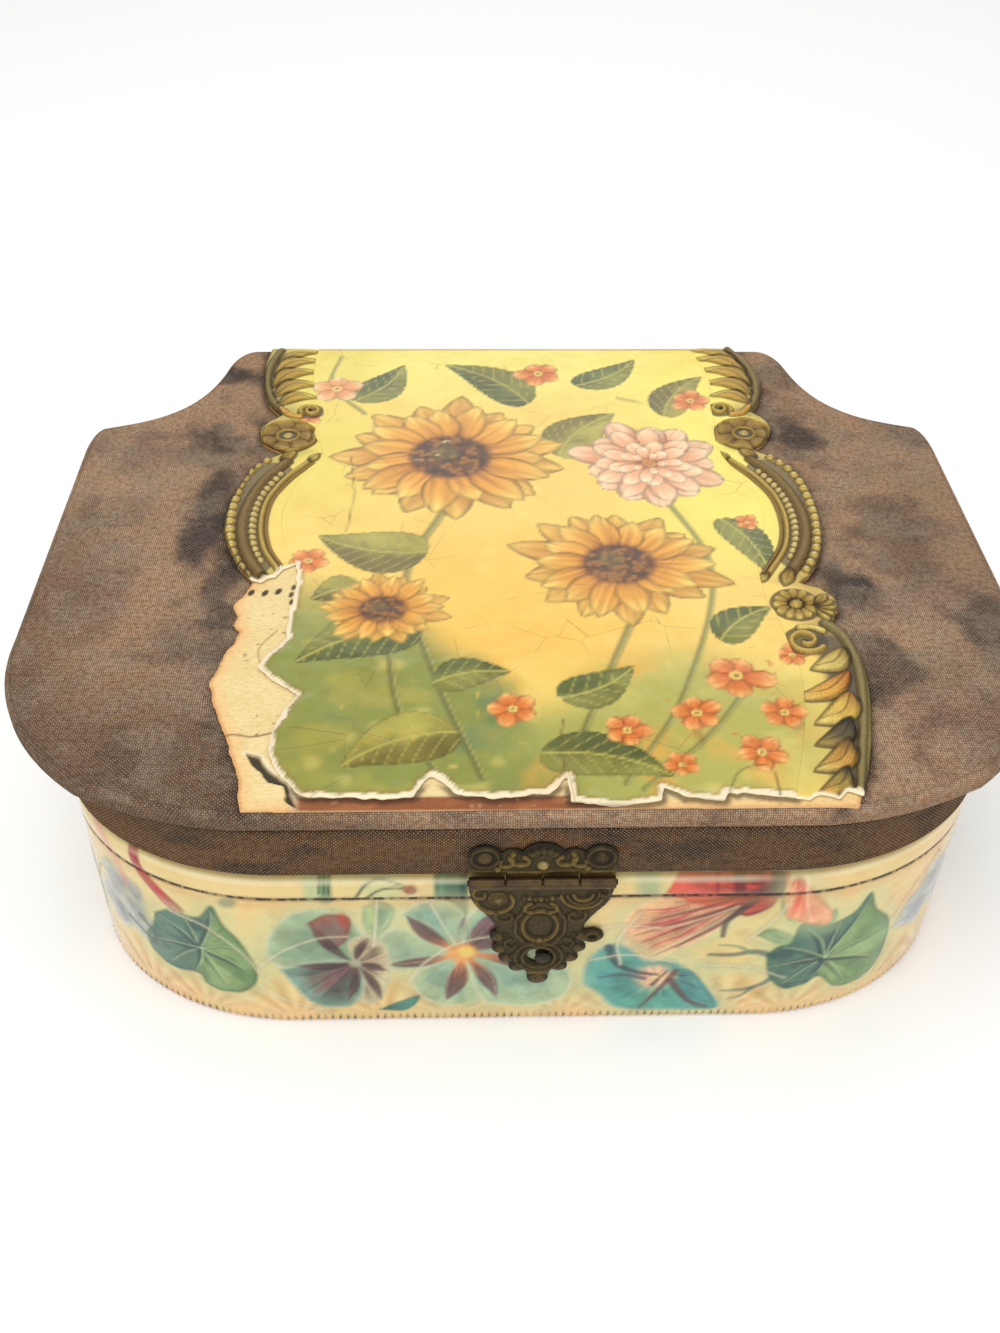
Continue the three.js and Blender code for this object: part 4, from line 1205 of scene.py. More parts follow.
@dataclass(frozen=True)
class PaintedCelluloid(Finish):
    """Glossy celluloid whose colours are painted on, with slight waves, scratches and browned age."""

    age: Colour = (214, 178, 104)
    crackle: float = 0.0
    crimp_pitch: float = 0.0
    seam: float = 51.05

    def write(self, tree: Tree, place: Socket) -> dict[str, Socket]:
        """Darken the paint in cloudy patches, and add the crimped foot, the seam and crackle where asked.

        Args:
            tree: Where the nodes are written.
            place: The pattern's place, in millimetres.

        Returns:
            Sockets for the shader and the bump.
        """
        wear = self.wear(tree, place)
        fine = tree.noise(place, 1.4, 3.0, 0.6)
        colour = tree.shaded(tree.graded(fine, 0.4, 0.75, 0.0, 0.06), tree.paint(), (150, 126, 92))
        colour = tree.shaded(tree.times(wear["Grime"], 0.16), colour, self.age)
        colour = tree.mixed(tree.times(wear["Speck"], 0.25), colour, (92, 66, 40))
        waves = tree.times(tree.noise(place, 0.09, 2.0), 1.2)
        height = tree.sums("SUBTRACT", waves, tree.times(wear["Scratch"], 0.02))
        if self.crimp_pitch:
            across, up = tree.node("SeparateXYZ", {0: place}).outputs[:2]
            shake = tree.noise(place, 0.35, 2.0)
            turn = tree.sums("ADD", tree.times(across, math.tau / self.crimp_pitch), tree.times(shake, 2.2))
            tick = tree.graded(tree.sums("SINE", turn), 0.15, 0.85)
            tick = tree.times(tick, tree.graded(tree.noise(place, 0.16, 3.0), 0.36, 0.6, 0.25, 1.0))
            mark = tree.times(tick, tree.graded(up, 1.2, 4.2, 1.0, 0.0))
            colour = tree.mixed(tree.times(mark, 0.85), colour, (44, 34, 22))
            height = tree.sums("SUBTRACT", height, tree.times(mark, 0.5))
            breaks = tree.graded(tree.noise(tree.stretched(place, (1.0, 0.05, 1.0)), 0.5, 3.0), 0.38, 0.56)
            line = tree.sums("MULTIPLY_ADD", shake, 0.5, self.seam)
            off = tree.sums("ABSOLUTE", tree.sums("SUBTRACT", up, line))
            score = tree.times(tree.graded(off, 0.22, 0.75, 1.0, 0.0),
                               tree.graded(breaks, 0.0, 1.0, 0.42, 0.95))
            colour = tree.mixed(score, colour, (44, 34, 26))
        if self.crackle:
            cells = tree.node("TexVoronoi", {"Vector": place, "Scale": 0.06},
                              feature="DISTANCE_TO_EDGE").outputs[0]
            line = tree.graded(cells, 0.0, 0.012, self.crackle, 0.0)
            line = tree.times(line, tree.graded(tree.noise(place, 0.05, 2.0), 0.5, 0.6))
            colour = tree.mixed(line, colour, (120, 84, 40))
        rough = tree.noise(place, 0.25, 5.0, 0.65)
        rough = tree.graded(rough, 0.3, 0.75, self.roughness * 0.7, self.roughness * 1.7)
        return {"Base Color": colour, "Roughness": rough, "Height": height}


@dataclass(frozen=True)
class PressedGilt(Finish):
    """Pressed ornament: painted colours that turn to worn metal on the heights."""

    shine: float = 0.75

    def write(self, tree: Tree, place: Socket) -> dict[str, Socket]:
        """Take the colour from the paint and the metal from the gilt mask, both broken by wear.

        Args:
            tree: Where the nodes are written.
            place: The pattern's place, in millimetres.

        Returns:
            Sockets for the shader and the bump.
        """
        wear = self.wear(tree, place, 1.5)
        gilt = tree.gilt()
        fine = tree.noise(place, 2.6, 4.0, 0.65)
        pressed = tree.graded(gilt, 0.05, 0.4)
        worn = tree.times(tree.graded(fine, 0.42, 0.72, 0.0, 0.5), pressed)
        colour = tree.shaded(worn, tree.paint(), (104, 82, 46))
        specks = tree.times(wear["Speck"], tree.graded(pressed, 0.0, 1.0, 0.15, 0.5))
        colour = tree.mixed(specks, colour, (46, 36, 24))
        metal = tree.times(gilt, tree.graded(fine, 0.35, 0.65, self.shine, self.shine * 0.6))
        rough = tree.graded(fine, 0.35, 0.7, self.roughness * 0.75, self.roughness * 1.5)
        rough = tree.times(rough, tree.graded(pressed, 0.0, 1.0, 0.5, 1.0))
        height = tree.times(fine, tree.graded(pressed, 0.0, 1.0, 0.15, 1.0))
        return {"Base Color": colour, "Metallic": metal, "Roughness": rough, "Height": height}


@dataclass(frozen=True)
class WornCloth(Finish):
    """Plain-woven cloth with its stains and shade painted on."""

    pitch: float = 0.75
    # hole: strength of the painted shade in the holes between threads
    hole: float = 0.85
    contrast: float = 0.75

    def write(self, tree: Tree, place: Socket) -> dict[str, Socket]:
        """Shade the paint by thread, darken the holes between threads with painted shade and fray the
        surface with fine fibres.

        Args:
            tree: Where the nodes are written.
            place: The pattern's place, in millimetres.

        Returns:
            Sockets for the shader and the bump.
        """
        weave = tree.node("Group", node_tree=weave_group())
        tree.fill(weave.inputs["Place"], place)
        tree.fill(weave.inputs["Pitch"], self.pitch)
        colour = tree.paint()
        lighter = tree.mixed(0.42, colour, tree.mixed(1.0, colour, (255, 226, 196), "SCREEN"))
        colour = tree.mixed(tree.times(weave.outputs["Over"], self.contrast), colour, lighter)
        thread = tree.noise(place, 0.7, 3.0, 0.6)
        colour = tree.shaded(tree.graded(thread, 0.38, 0.7, 0.0, 0.6), colour, (190, 158, 134))
        # painted shade in the holes between threads
        colour = tree.shaded(tree.times(weave.outputs["Hole"], self.hole), colour, (46, 34, 26))
        fibre = tree.noise(place, 5.0, 3.0, 0.7)
        height = tree.sums("ADD", weave.outputs["Height"], tree.times(fibre, 0.25))
        return {"Base Color": colour, "Height": height}


@dataclass(frozen=True)
class AntiqueBrass(Finish):
    """Brass with a dark patina, worn bright where gilt is painted or the surface stands out."""

    patina: Colour = (64, 54, 36)
    bright: Colour = (196, 160, 84)
    painted: bool = False

    def write(self, tree: Tree, place: Socket) -> dict[str, Socket]:
        """Mix patina and bare brass by the painted wear or by noise.

        Args:
            tree: Where the nodes are written.
            place: The pattern's place, in millimetres.

        Returns:
            Sockets for the shader and the bump.
        """
        fine = tree.noise(place, 1.3, 6.0, 0.68)
        if self.painted:
            base = tree.paint()
            worn = tree.times(tree.gilt(), tree.graded(fine, 0.3, 0.6, 1.0, 0.45))
        else:
            wide = tree.graded(tree.noise(place, 0.2, 3.0), 0.35, 0.65)
            base = tree.mixed(wide, self.patina, (88, 72, 44))
            worn = tree.graded(fine, 0.52, 0.72, 0.0, 0.6)
        colour = tree.mixed(worn, base, self.bright)
        colour = tree.shaded(tree.graded(fine, 0.5, 0.78, 0.0, 0.6), colour, (48, 38, 24))
        rough = tree.graded(worn, 0.0, 0.8, self.roughness * 1.25, self.roughness * 0.7)
        return {"Base Color": colour, "Roughness": rough, "Height": fine}


@dataclass(frozen=True)
class BareCard(Finish):
    """Cream card and old paper with fibres, foxing and painted stains."""

    tone: Colour | None = None

    def write(self, tree: Tree, place: Socket) -> dict[str, Socket]:
        """Add fibres and small brown specks to the paint, or to the tone where one is given.

        Args:
            tree: Where the nodes are written.
            place: The pattern's place, in millimetres.

        Returns:
            Sockets for the shader and the bump.
        """
        wear = self.wear(tree, place)
        if self.tone:
            colour = tree.mixed(tree.graded(tree.noise(place, 0.04, 4.0), 0.3, 0.7), self.tone,
                                (150, 122, 84))
        else:
            colour = tree.paint()
        fibre = tree.noise(tree.stretched(place, (0.5, 1.6, 1.0)), 1.5, 5.0, 0.7)
        colour = tree.shaded(tree.graded(fibre, 0.4, 0.75, 0.0, 0.4), colour, (196, 158, 104))
        colour = tree.mixed(tree.times(wear["Speck"], 0.4), colour, (150, 96, 50))
        return {"Base Color": colour, "Height": fibre}


@dataclass(frozen=True)
class Softwood(Finish):
    """Bare planed softwood with a straight grain."""

    early: Colour = (206, 164, 104)
    late: Colour = (150, 104, 58)

    def write(self, tree: Tree, place: Socket) -> dict[str, Socket]:
        """Draw long bands along X that noise bends.

        Args:
            tree: Where the nodes are written.
            place: The pattern's place, in millimetres.

        Returns:
            Sockets for the shader and the bump.
        """
        long = tree.stretched(place, (0.05, 1.0, 1.0))
        bands = {"Vector": long, "Scale": 0.16, "Distortion": 3.5, "Detail": 3.0, "Detail Scale": 0.6}
        waves = tree.node("TexWave", bands, bands_direction="Y").outputs[0]
        pores = tree.noise(long, 2.2, 4.0, 0.7)
        colour = tree.mixed(tree.graded(waves, 0.2, 0.9), self.early, self.late)
        colour = tree.shaded(tree.graded(pores, 0.45, 0.75, 0.0, 0.6), colour, (160, 120, 78))
        return {"Base Color": colour, "Height": pores}


@dataclass(frozen=True)
class Satin(Finish):
    """Old gold satin: a close weave of long floats, with faded patches and the painted shade that each
    piece carries in its paint.
    """

    tone: Colour = (206, 162, 98)
    faded: Colour = (226, 196, 142)

    def write(self, tree: Tree, place: Socket) -> dict[str, Socket]:
        """Draw fine threads, fade the colour in patches and multiply in the painted shade.

        Args:
            tree: Where the nodes are written.
            place: The pattern's place, in millimetres.

        Returns:
            Sockets for the shader and the bump.
        """
        threads = tree.noise(tree.stretched(place, (6.0, 0.4, 0.4)), 0.8, 3.0, 0.6)
        wide = tree.noise(place, 0.035, 4.0, 0.6)
        colour = tree.mixed(tree.graded(wide, 0.36, 0.66, 0.0, 0.5), self.tone, self.faded)
        # the paint holds painted shade: tufts, creases, rims and pleat valleys
        colour = tree.shaded(1.0, colour, tree.paint())
        colour = tree.shaded(tree.graded(threads, 0.35, 0.7, 0.0, 0.35), colour, (168, 128, 84))
        rough = tree.graded(threads, 0.3, 0.7, self.roughness * 0.85, self.roughness * 1.2)
        return {"Base Color": colour, "Roughness": rough, "Height": threads}


CELLULOID = {"coat": 0.15, "specular": 0.3}
CLOTH = {"roughness": 0.9, "bump": 0.9, "contrast": 0.7, "place": Place.FLAT}
WRAP = PaintedCelluloid("celluloid_wrap", roughness=0.11, bump=0.5, place=Place.FLAT, crimp_pitch=2.0,
                        **CELLULOID)
PRINT = PaintedCelluloid("celluloid_print", roughness=0.17, bump=0.35, age=(226, 190, 110), crackle=0.4,
                         **CELLULOID)
GILT = PressedGilt("pressed_gilt", roughness=0.4, specular=0.35, bump=0.3)
CARD = BareCard("bare_card", roughness=0.72, bump=0.25)
LID_CLOTH = WornCloth("lid_cloth", specular=0.12, pitch=0.56, hole=0.58, **CLOTH)
APRON_CLOTH = WornCloth("apron_cloth", specular=0.1, pitch=0.5, hole=0.85, **CLOTH)
BRASS = AntiqueBrass("antique_brass", metallic=0.8, bump=0.15, patina=(50, 42, 26), bright=(130, 106, 58))
BARREL_BRASS = AntiqueBrass("barrel_brass", roughness=0.32, metallic=0.8, bump=0.1, patina=(70, 54, 42),
                            bright=(150, 116, 74))
DARK_BRASS = AntiqueBrass("dark_brass", metallic=0.7, bump=0.1, patina=(34, 30, 24), bright=(90, 76, 50))
PLATE_BRASS = AntiqueBrass("pressed_brass", roughness=0.42, metallic=0.75, painted=True,
                           bright=(122, 100, 54))
WOOD = Softwood("softwood", roughness=0.7, bump=0.2)
PAPER = BareCard("lining_paper", roughness=0.85, bump=0.2, tone=(206, 184, 140))
SATIN = Satin("gold_satin", roughness=0.34, sheen=0.3, bump=0.12)


def plain_finish(nodes: tuple[str, ...], finish: Finish) -> None:
    """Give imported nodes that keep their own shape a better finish.

    Args:
        nodes: Their names.
        finish: The finish.
    """
    for name in nodes:
        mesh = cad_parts[name].data
        mesh.materials.clear()
        mesh.materials.append(finish.material())


TEAL: Colour = (108, 158, 138)
PALE_TEAL: Colour = (168, 190, 146)
BLUE_TEAL: Colour = (90, 158, 142)
DEEP_TEAL: Colour = (40, 78, 74)
GREEN: Colour = (112, 148, 92)
LIGHT_GREEN: Colour = (146, 172, 110)
PLUM: Colour = (96, 60, 58)
DARK_PLUM: Colour = (58, 34, 36)
RED: Colour = (182, 52, 50)
MAROON: Colour = (110, 30, 30)
CREAM: Colour = (230, 206, 138)
NAVY: Colour = (34, 48, 72)


@dataclass
class BodyPainting:
    """Flowers, leaves and faint pressed fans on the body's celluloid.

    The canvas has the arc length from the front middle as its first place and the height as its
    second. The shift and the flip bring the front's design to where its present repeat lies.
    """

    canvas: Canvas
    shift: float = 0.0
    flip: int = 1

    def spot_at(self, points) -> np.ndarray:
        """Bring places of the front's design to where the present repeat of it lies.

        Args:
            points: One place, or a row for each.

        Returns:
            The moved places.
        """
        return np.asarray(points, float) * (self.flip, 1) + (self.shift, 0)

    def ground(self) -> None:
        """Lay the cream ground with peach and greenish clouds and the pressed fans near the foot, with a
        painted highlight on the fans' ribs and painted shade in their grooves.
        """
        c = self.canvas
        c.patches(0.75, (-0.1, 0.8), 34.0, 4, 3, (238, 202, 142))
        c.wash(0.75 * smooth(17.0, 5.0, c.y + 5 * cloud(c.x, c.y, 24, 2, 6)), (238, 198, 140))
        c.patches(0.35, (0.1, 0.9), 22.0, 4, 9, (210, 202, 138))
        c.patches(0.3, (0.25, 0.9), 9.0, 3, 14, (232, 160, 104), (90, 0))
        for k in range(34):
            middle = -374 + 22.3 * k + 4 * math.sin(2.7 * k)
            across, up = c.x - middle, c.y - 1.5
            ring, turn = np.hypot(across, up), np.arctan2(across, up)
            place = smooth(21.0, 15.0, ring) * smooth(3.5, 6.5, ring) * smooth(1.25, 0.95, np.abs(turn))
            ribs = 0.5 + 0.5 * np.cos(turn * 13.0)
            c.lift += 0.20 * ribs * place
            # painted shade in the fans' grooves, then a painted highlight on their ribs
            c.wash(0.38 * (1 - ribs) * place, (190, 136, 76))
            c.wash(0.2 * ribs * place, (254, 234, 170))
        c.wash(0.5 * smooth(3.2, 0.4, c.y), (196, 150, 84))

    def ray(self, points, width: float, colour: Colour, share: float = 0.85, taper: float = 0.75,
            soft: float = 0.55) -> None:
        """Draw a tapered stroke of the front's design, thick where it starts.

        Args:
            points: Its points.
            width: Its width at the start.
            colour: Its display colour.
            share: How strongly it covers.
            taper: How much of the width is lost towards the end.
            soft: Width of its soft edge.
        """
        self.canvas.stroke(self.spot_at(points), width, colour, share, taper=taper, soft=soft)

    def bar(self, points, width: float, colour: Colour, share: float, soft: float) -> None:
        """Draw a straight stroke of the front's design."""
        self.canvas.stroke(self.spot_at(points), width, colour, share, soft=soft, smoothly=False)

    def dot(self, centre, radius: float, colour: Colour, share: float, **kind: float) -> None:
        """Paint a round or oval spot of the front's design."""
        self.canvas.spot(self.spot_at(centre), radius, colour, share, **kind)

    def wedge(self, focus, tip, width: float, tones: tuple[Colour, Colour, Colour]) -> None:
        """Draw a pointed dark streak from a flower's focus along a petal.

        Args:
            focus: Where it starts.
            tip: Where it ends.
            width: Its greatest width, a little past half way.
            tones: Display colours at its start, middle and tip.
        """
        self.canvas.blade(self.spot_at(focus), self.spot_at(tip), width, tones, bow=0.06 * self.flip,
                          full=0.56, blunt=1.1, edge=0.0,
                          streak=1.0, seed=int(abs(tip[0])) % 19, cover=0.88, soft=0.6)

    def shape(self, outline, focus, tones, vein: Colour, seed: int, **kind: float) -> None:
        """Paint one streaked shape of the front's design.

        Args:
            outline: Points of its outline.
            focus: Where its streaks meet.
            tones: Display colours at the focus, half way and at the edge.
            vein: Display colour of the streaks.
            seed: Which noise it takes.
            **kind: Further settings of Canvas.petal.
        """
        self.canvas.petal(self.spot_at(outline), self.spot_at(focus), tones, vein, seed=seed, **kind)

    def arcs(self, lines) -> None:
        """Press pale curved lines over the painting: each a raised painted highlight along its crest, over
        a wider band of painted shade.

        Args:
            lines: Points of each line.
        """
        for line in lines:
            # painted shade beside the crest, then the painted highlight along it
            self.canvas.stroke(self.spot_at(line), 1.9, (150, 140, 98), 0.25, soft=0.9)
            self.canvas.stroke(self.spot_at(line), 0.55, (250, 246, 216), 0.55, 0.42, taper=0.4, soft=0.5)

    def veined_leaf(self, outline, focus, tips, split, seed: int) -> None:
        """Paint a broad leaf, blue-green left of a dividing line and mid green right of it.

        Args:
            outline: Points of its outline.
            focus: Where its veins meet.
            tips: Where each vein ends.
            split: Points of the dividing line, from the foot up.
            seed: Which noise it takes.
        """
        self.shape(outline, focus, (GREEN, LIGHT_GREEN, GREEN), (78, 116, 70), seed, rays=2.6, strength=0.5,
                   edge=0.4, halo=0.41,
                   lift=0.24)
        c = self.canvas
        points = self.spot_at(outline)
        path = through(np.vstack([points, points[:1]]), 10 * len(points))
        where = c.near(tuple(path.min(0)), tuple(path.max(0)))
        if where.size:
            gap, _, side = away(c.x[where], c.y[where], self.spot_at(split))
            inside = smooth(-0.2, 0.9, within(c.x[where], c.y[where], path[:-1]))
            ragged_gap = gap * side * self.flip + 1.5 * cloud(c.x[where], c.y[where], 5.0, 2, seed)
            left = smooth(-1.2, 2.2, ragged_gap)
            c.wash(0.8 * left * inside, (64, 108, 100), where)
            dark = smooth(0.0, 0.7, cloud(c.x[where], c.y[where] * 1.3, 6.0, 3, seed + 4))
            c.wash(0.6 * left * inside * dark, (34, 62, 68), where)
        for k, tip in enumerate(tips):
            middle = (np.asarray(focus) + tip) / 2 + (0.6 * (-1) ** k, 0.7)
            self.ray([focus, middle, tip], 1.7, (30, 62, 62), 0.6 if k % 2 else 0.85, 0.8, 0.5)
            self.ray([np.add(focus, (0.9, 0.5)), np.add(middle, (1.1, 0.6)), tip], 0.6, (182, 204, 150),
                     0.6, 0.6, 0.35)

    def heart_leaf(self) -> None:
        """Paint the broad leaf at the left of the front."""
        outline = [(-97.5, 36), (-92.6, 39.8), (-86.2, 40.2), (-83.3, 41.4), (-79.4, 46.6), (-77.2, 39.9),
                   (-73.3, 33.6), (-70.4, 24),
                   (-70.9, 17), (-75.0, 12.2), (-80.9, 10.9), (-85.1, 12.4), (-86.8, 16.0), (-92.4, 15.0),
                   (-98.3, 15.4), (-102, 19),
                   (-102.4, 24.5), (-99.2, 30)]
        tips = [(-96, 36), (-88, 39), (-79.8, 44.5), (-74, 31), (-72.5, 21), (-79, 13.5), (-87.5, 17.5),
                (-95, 17.5), (-101, 24)]
        midrib = [(-86.5, 12), (-85.6, 20), (-84.4, 28), (-80.5, 36), (-77.5, 47)]
        self.veined_leaf(outline, (-85.4, 27.6), tips, midrib, 3)
        self.ray([(-103, 31), (-99, 26), (-101, 21)], 2.2, (44, 62, 60), 0.6, 0.5)
        self.ray([(-108, 27), (-103, 24), (-99, 22)], 1.6, (48, 68, 62), 0.7, 0.4)
        self.dot((-75, 49), 2.6, (84, 132, 112), 0.7, squeeze=0.7, turn=30, soft=1.2)

    def plum_flower(self) -> None:
        """Paint the pale green flower whose lower petal is plum."""
        focus = (-44.6, 25.6)
        self.shape([(-67.5, 27), (-66, 36.7), (-61.2, 44.5), (-54.6, 47.5), (-48, 46), (-42, 38),
                    (-44.6, 26), (-50, 23.5), (-60, 22.5)],
                   focus, (TEAL, (134, 168, 136), PALE_TEAL), (100, 120, 104), 11, rays=3.4, strength=0.5,
                   pale=0.5, halo=0.45)
        self.shape([(-44.6, 26), (-46, 34), (-41, 37.5), (-36.5, 33), (-35.5, 22), (-38.5, 10), (-43.5, 8),
                    (-46.5, 15)], focus,
                   ((132, 82, 70), (186, 166, 134), (214, 204, 158)), PLUM, 14, rays=3.0, strength=0.75,
                   pale=0.3)
        self.shape([(-64.5, 23.5), (-56.3, 26.6), (-44.6, 26.4), (-42.4, 16.5), (-46.0, 7.4), (-53.6, 6.6),
                    (-58.2, 10), (-61.6, 17)],
                   focus, ((82, 52, 54), (124, 88, 84), (122, 158, 138)), DARK_PLUM, 12, rays=3.4,
                   strength=0.75, pale=0.4)
        self.shape([(-55.6, 42.6), (-51.0, 45.6), (-45.2, 44.4), (-45.2, 38.5), (-47.6, 33.4),
                    (-51.9, 32.4)], (-47.5, 31),
                   ((82, 58, 56), (122, 104, 98), (150, 96, 80)), DARK_PLUM, 13, rays=3.0, strength=0.6,
                   edge=0.3)
        self.dot((-46.6, 43.4), 3.0, (176, 70, 48), 0.7, squeeze=0.5, turn=100, soft=1.4)
        for tip, width in (((-54.7, 41.8), 3.4), ((-60, 25.2), 3.0), ((-47.5, 9.4), 2.6),
                           ((-38.6, 9.6), 2.8),
                           ((-36.6, 22.4), 3.0), ((-41, 36), 2.6)):
            self.wedge(focus, tip, width, (PLUM, DARK_PLUM, (110, 78, 74)))
        self.ray([(-60, 44), (-52, 47.5), (-44, 46)], 2.0, (160, 186, 150), 0.4, 0.2, 1.0)
        self.dot(focus, 1.5, (178, 182, 150), 0.7, soft=0.8)

    def pale_flower(self) -> None:
        """Paint the pale teal flower with the orange centre, beside the clasp."""
        focus = (-17.2, 29.6)
        tones = ((176, 166, 122), (132, 172, 150), (176, 194, 152))
        for seed, outline in enumerate((
            [(-40.5, 27), (-38.2, 36), (-33, 40), (-24.7, 34.6), (-17.2, 29.6), (-27, 23), (-36, 22.6)],
            [(-32.5, 45.4), (-27.5, 50), (-20.2, 50), (-15.5, 42), (-17.2, 29.6), (-25.4, 34.4)],
            [(-28, 23), (-17.2, 29.6), (-14, 20), (-12.5, 9), (-20.4, 6.6), (-27.6, 10.6), (-30.5, 17.5)],
            [(-17.2, 29.6), (-6, 30), (9, 24), (11.5, 14), (5, 7), (-6, 6.6), (-12.5, 10.5)],
            [(-17.2, 29.6), (-17, 42), (-10, 50), (4, 50), (10.5, 42), (10, 31), (-4, 27)],
        )):
            self.shape(outline, focus, tones, (112, 140, 124), 31 + seed, rays=3.6, strength=0.5, pale=0.55,
                       halo=0.36)
        self.shape([(-17.2, 29.6), (-14.5, 39), (-10, 45), (-1, 46), (3, 39), (-4, 33)], focus,
                   ((92, 40, 38), (92, 58, 64), (128, 96, 96)),
                   (52, 30, 40), 41, rays=3.0, strength=0.7)
        for tip, bend, width, tone in (((-31.1, 45.4), (0.8, 0.8), 4.6, (92, 34, 36)),
                                       ((-37, 25.0), (0, -1.4), 4.0, (104, 56, 58)),
                                       ((-21.6, 9), (-1.8, 0), 5.4, (104, 34, 34)),
                                       ((-8, 10), (2, 0), 4.4, (96, 46, 46)),
                                       ((6, 20), (0, 2), 4.4, (110, 52, 50)),
                                       ((-16, 45), (1, 0), 1.8, (150, 170, 140))):
            self.wedge(focus, tip, width, ((244, 146, 76), tone, (96, 66, 72)))
            middle = np.add(focus, tip) / 2 + bend
            self.ray([np.add(focus, (1, 0.6)), np.add(middle, (0.8, 0.5)), tip], 0.5, (226, 190, 160), 0.35,
                     0.5, 0.3)
        self.dot(focus, 4.0, (246, 158, 76), 0.75, soft=1.6)
        self.dot((-16, 30), 2.2, (246, 214, 104), 0.85, lift=0.25, soft=0.8)
        self.shape([(-39.5, 5), (-34, 9), (-28.5, 11.2), (-30, 7), (-33, 4.6)], (-38, 5),
                   (DEEP_TEAL, (70, 122, 100), BLUE_TEAL),
                   (30, 60, 56), 45, rays=4, edge=0.4)

    def rim_sprigs(self) -> None:
        """Paint the buds and bands that reach over the rim, left of the clasp."""
        self.shape([(-41.5, 48.5), (-37, 50.6), (-33.6, 46), (-38.5, 34.6), (-41.8, 41)], (-38, 38),
                   (TEAL, (176, 196, 130), PALE_TEAL),
                   (66, 112, 96), 46, rays=3.5, strength=0.7, halo=0.32)
        self.bar([(-19.6, 61), (-19.6, 46)], 8.4, (26, 92, 68), 0.95, 0.7)
        self.bar([(-16.6, 61), (-16.8, 46)], 1.5, (18, 62, 54), 0.8, 0.6)
        self.bar([(-21.8, 61), (-22, 47)], 1.0, (84, 146, 104), 0.7, 0.5)
        self.bar([(-50.3, 61), (-50.5, 51)], 3.2, (70, 126, 88), 0.85, 0.8)
        self.bar([(-53.6, 61), (-53.8, 52)], 3.6, (170, 198, 150), 0.7, 1.4)
        for u in (-51.4, -50.2, -49.0):
            self.bar([(u, 60.5), (u - 0.6, 53.5)], 0.5, (24, 60, 48), 0.85, 0.3)
        self.dot((-36.4, 55.6), 5.6, (196, 206, 150), 0.6, squeeze=0.8, soft=2.0)
        for line in ([(-43, 52), (-40.4, 56.4), (-36.6, 58), (-31, 56)],
                     [(-40.5, 51.5), (-37.4, 54.4), (-33, 55.4), (-30, 54)]):
            self.ray(line, 0.9, (40, 66, 56), 0.8, 0.3, 0.35)
        self.dot((-29.6, 54.6), 1.7, (150, 58, 38), 0.9, lift=0.2, soft=0.6)
        self.shape([(-102.5, 60), (-99.5, 60.5), (-98.0, 53), (-93.4, 47.6), (-87.6, 41.6), (-91, 39.6),
                    (-97.5, 46), (-101.5, 52)],
                   (-88, 41), ((232, 146, 116), (216, 96, 84), (186, 44, 44)), (150, 40, 44), 47, rays=9,
                   strength=0.6, edge=0.2)
        for k, (u, z, size) in enumerate(((-112, 40, 6.5), (-106, 33, 6.0), (-113, 27, 5.5),
                                          (-104.5, 41, 4.0))):
            tones = (((128, 132, 140), (150, 156, 150), (196, 198, 168)) if k % 2 else
                     ((160, 110, 116), (150, 152, 150), (190, 196, 170)))
            self.shape([(u - size, z - 1), (u - 1, z + size), (u + size, z + 2), (u + 2, z - size)],
                       (u + size, z - 2), tones,
                       (96, 104, 112), 60 + k, rays=4, strength=0.6, soft=1.4, cover=0.85)
        self.ray([(-115, 58), (-109, 50), (-106, 42)], 4.5, (214, 130, 132), 0.55, 0.4, 1.4)

    def teal_flower(self) -> None:
        """Paint the turquoise flower right of the clasp."""
        focus = (34.3, 18.4)
        self.shape([(14.2, 15.9), (14.8, 24.5), (19.6, 32), (25, 31.4), (31, 25.6), (37.5, 25.2),
                    (43.6, 19.6), (49, 11.6), (51.6, 4),
                    (36.3, 3.2), (24, 4.6), (19, 11)], focus, ((176, 196, 156), BLUE_TEAL, (98, 172, 158)),
                   (62, 128, 128), 51, rays=2.6,
                   strength=0.6, pale=0.35, halo=0.49)
        self.shape([(36, 20), (42, 21.4), (47.6, 13.4), (51, 4.6), (46, 4.4), (40, 11)], (36, 19),
                   ((50, 84, 100), (78, 136, 134), (92, 158, 148)),
                   NAVY, 52, rays=5, strength=0.8, edge=0.35)
        self.canvas.petal(self.spot_at([(27, 20), (31, 24), (37, 23), (39, 17), (34, 13), (29, 15)]),
                          self.spot_at(focus),
                          ((244, 214, 150), (232, 188, 150), (168, 188, 158)), (196, 134, 110), seed=53,
                          soft=1.8, lift=0.2)
        for line, width, tone in (([(20.6, 31), (23, 24.4), (28, 20.8), (34, 19.4)], 2.6, NAVY),
                                  ([(38.6, 20.6), (35, 13), (30.4, 4.6)], 2.0, PLUM),
                                  ([(37.6, 17), (43, 8), (48.6, 4.8)], 2.2, PLUM),
                                  ([(30.6, 17.8), (25, 19.6), (18.6, 18.4)], 1.6, (84, 72, 96)),
                                  ([(33, 15), (36.5, 21)], 1.5, (64, 46, 60))):
            self.ray(line, width, tone, 0.8, 0.6)

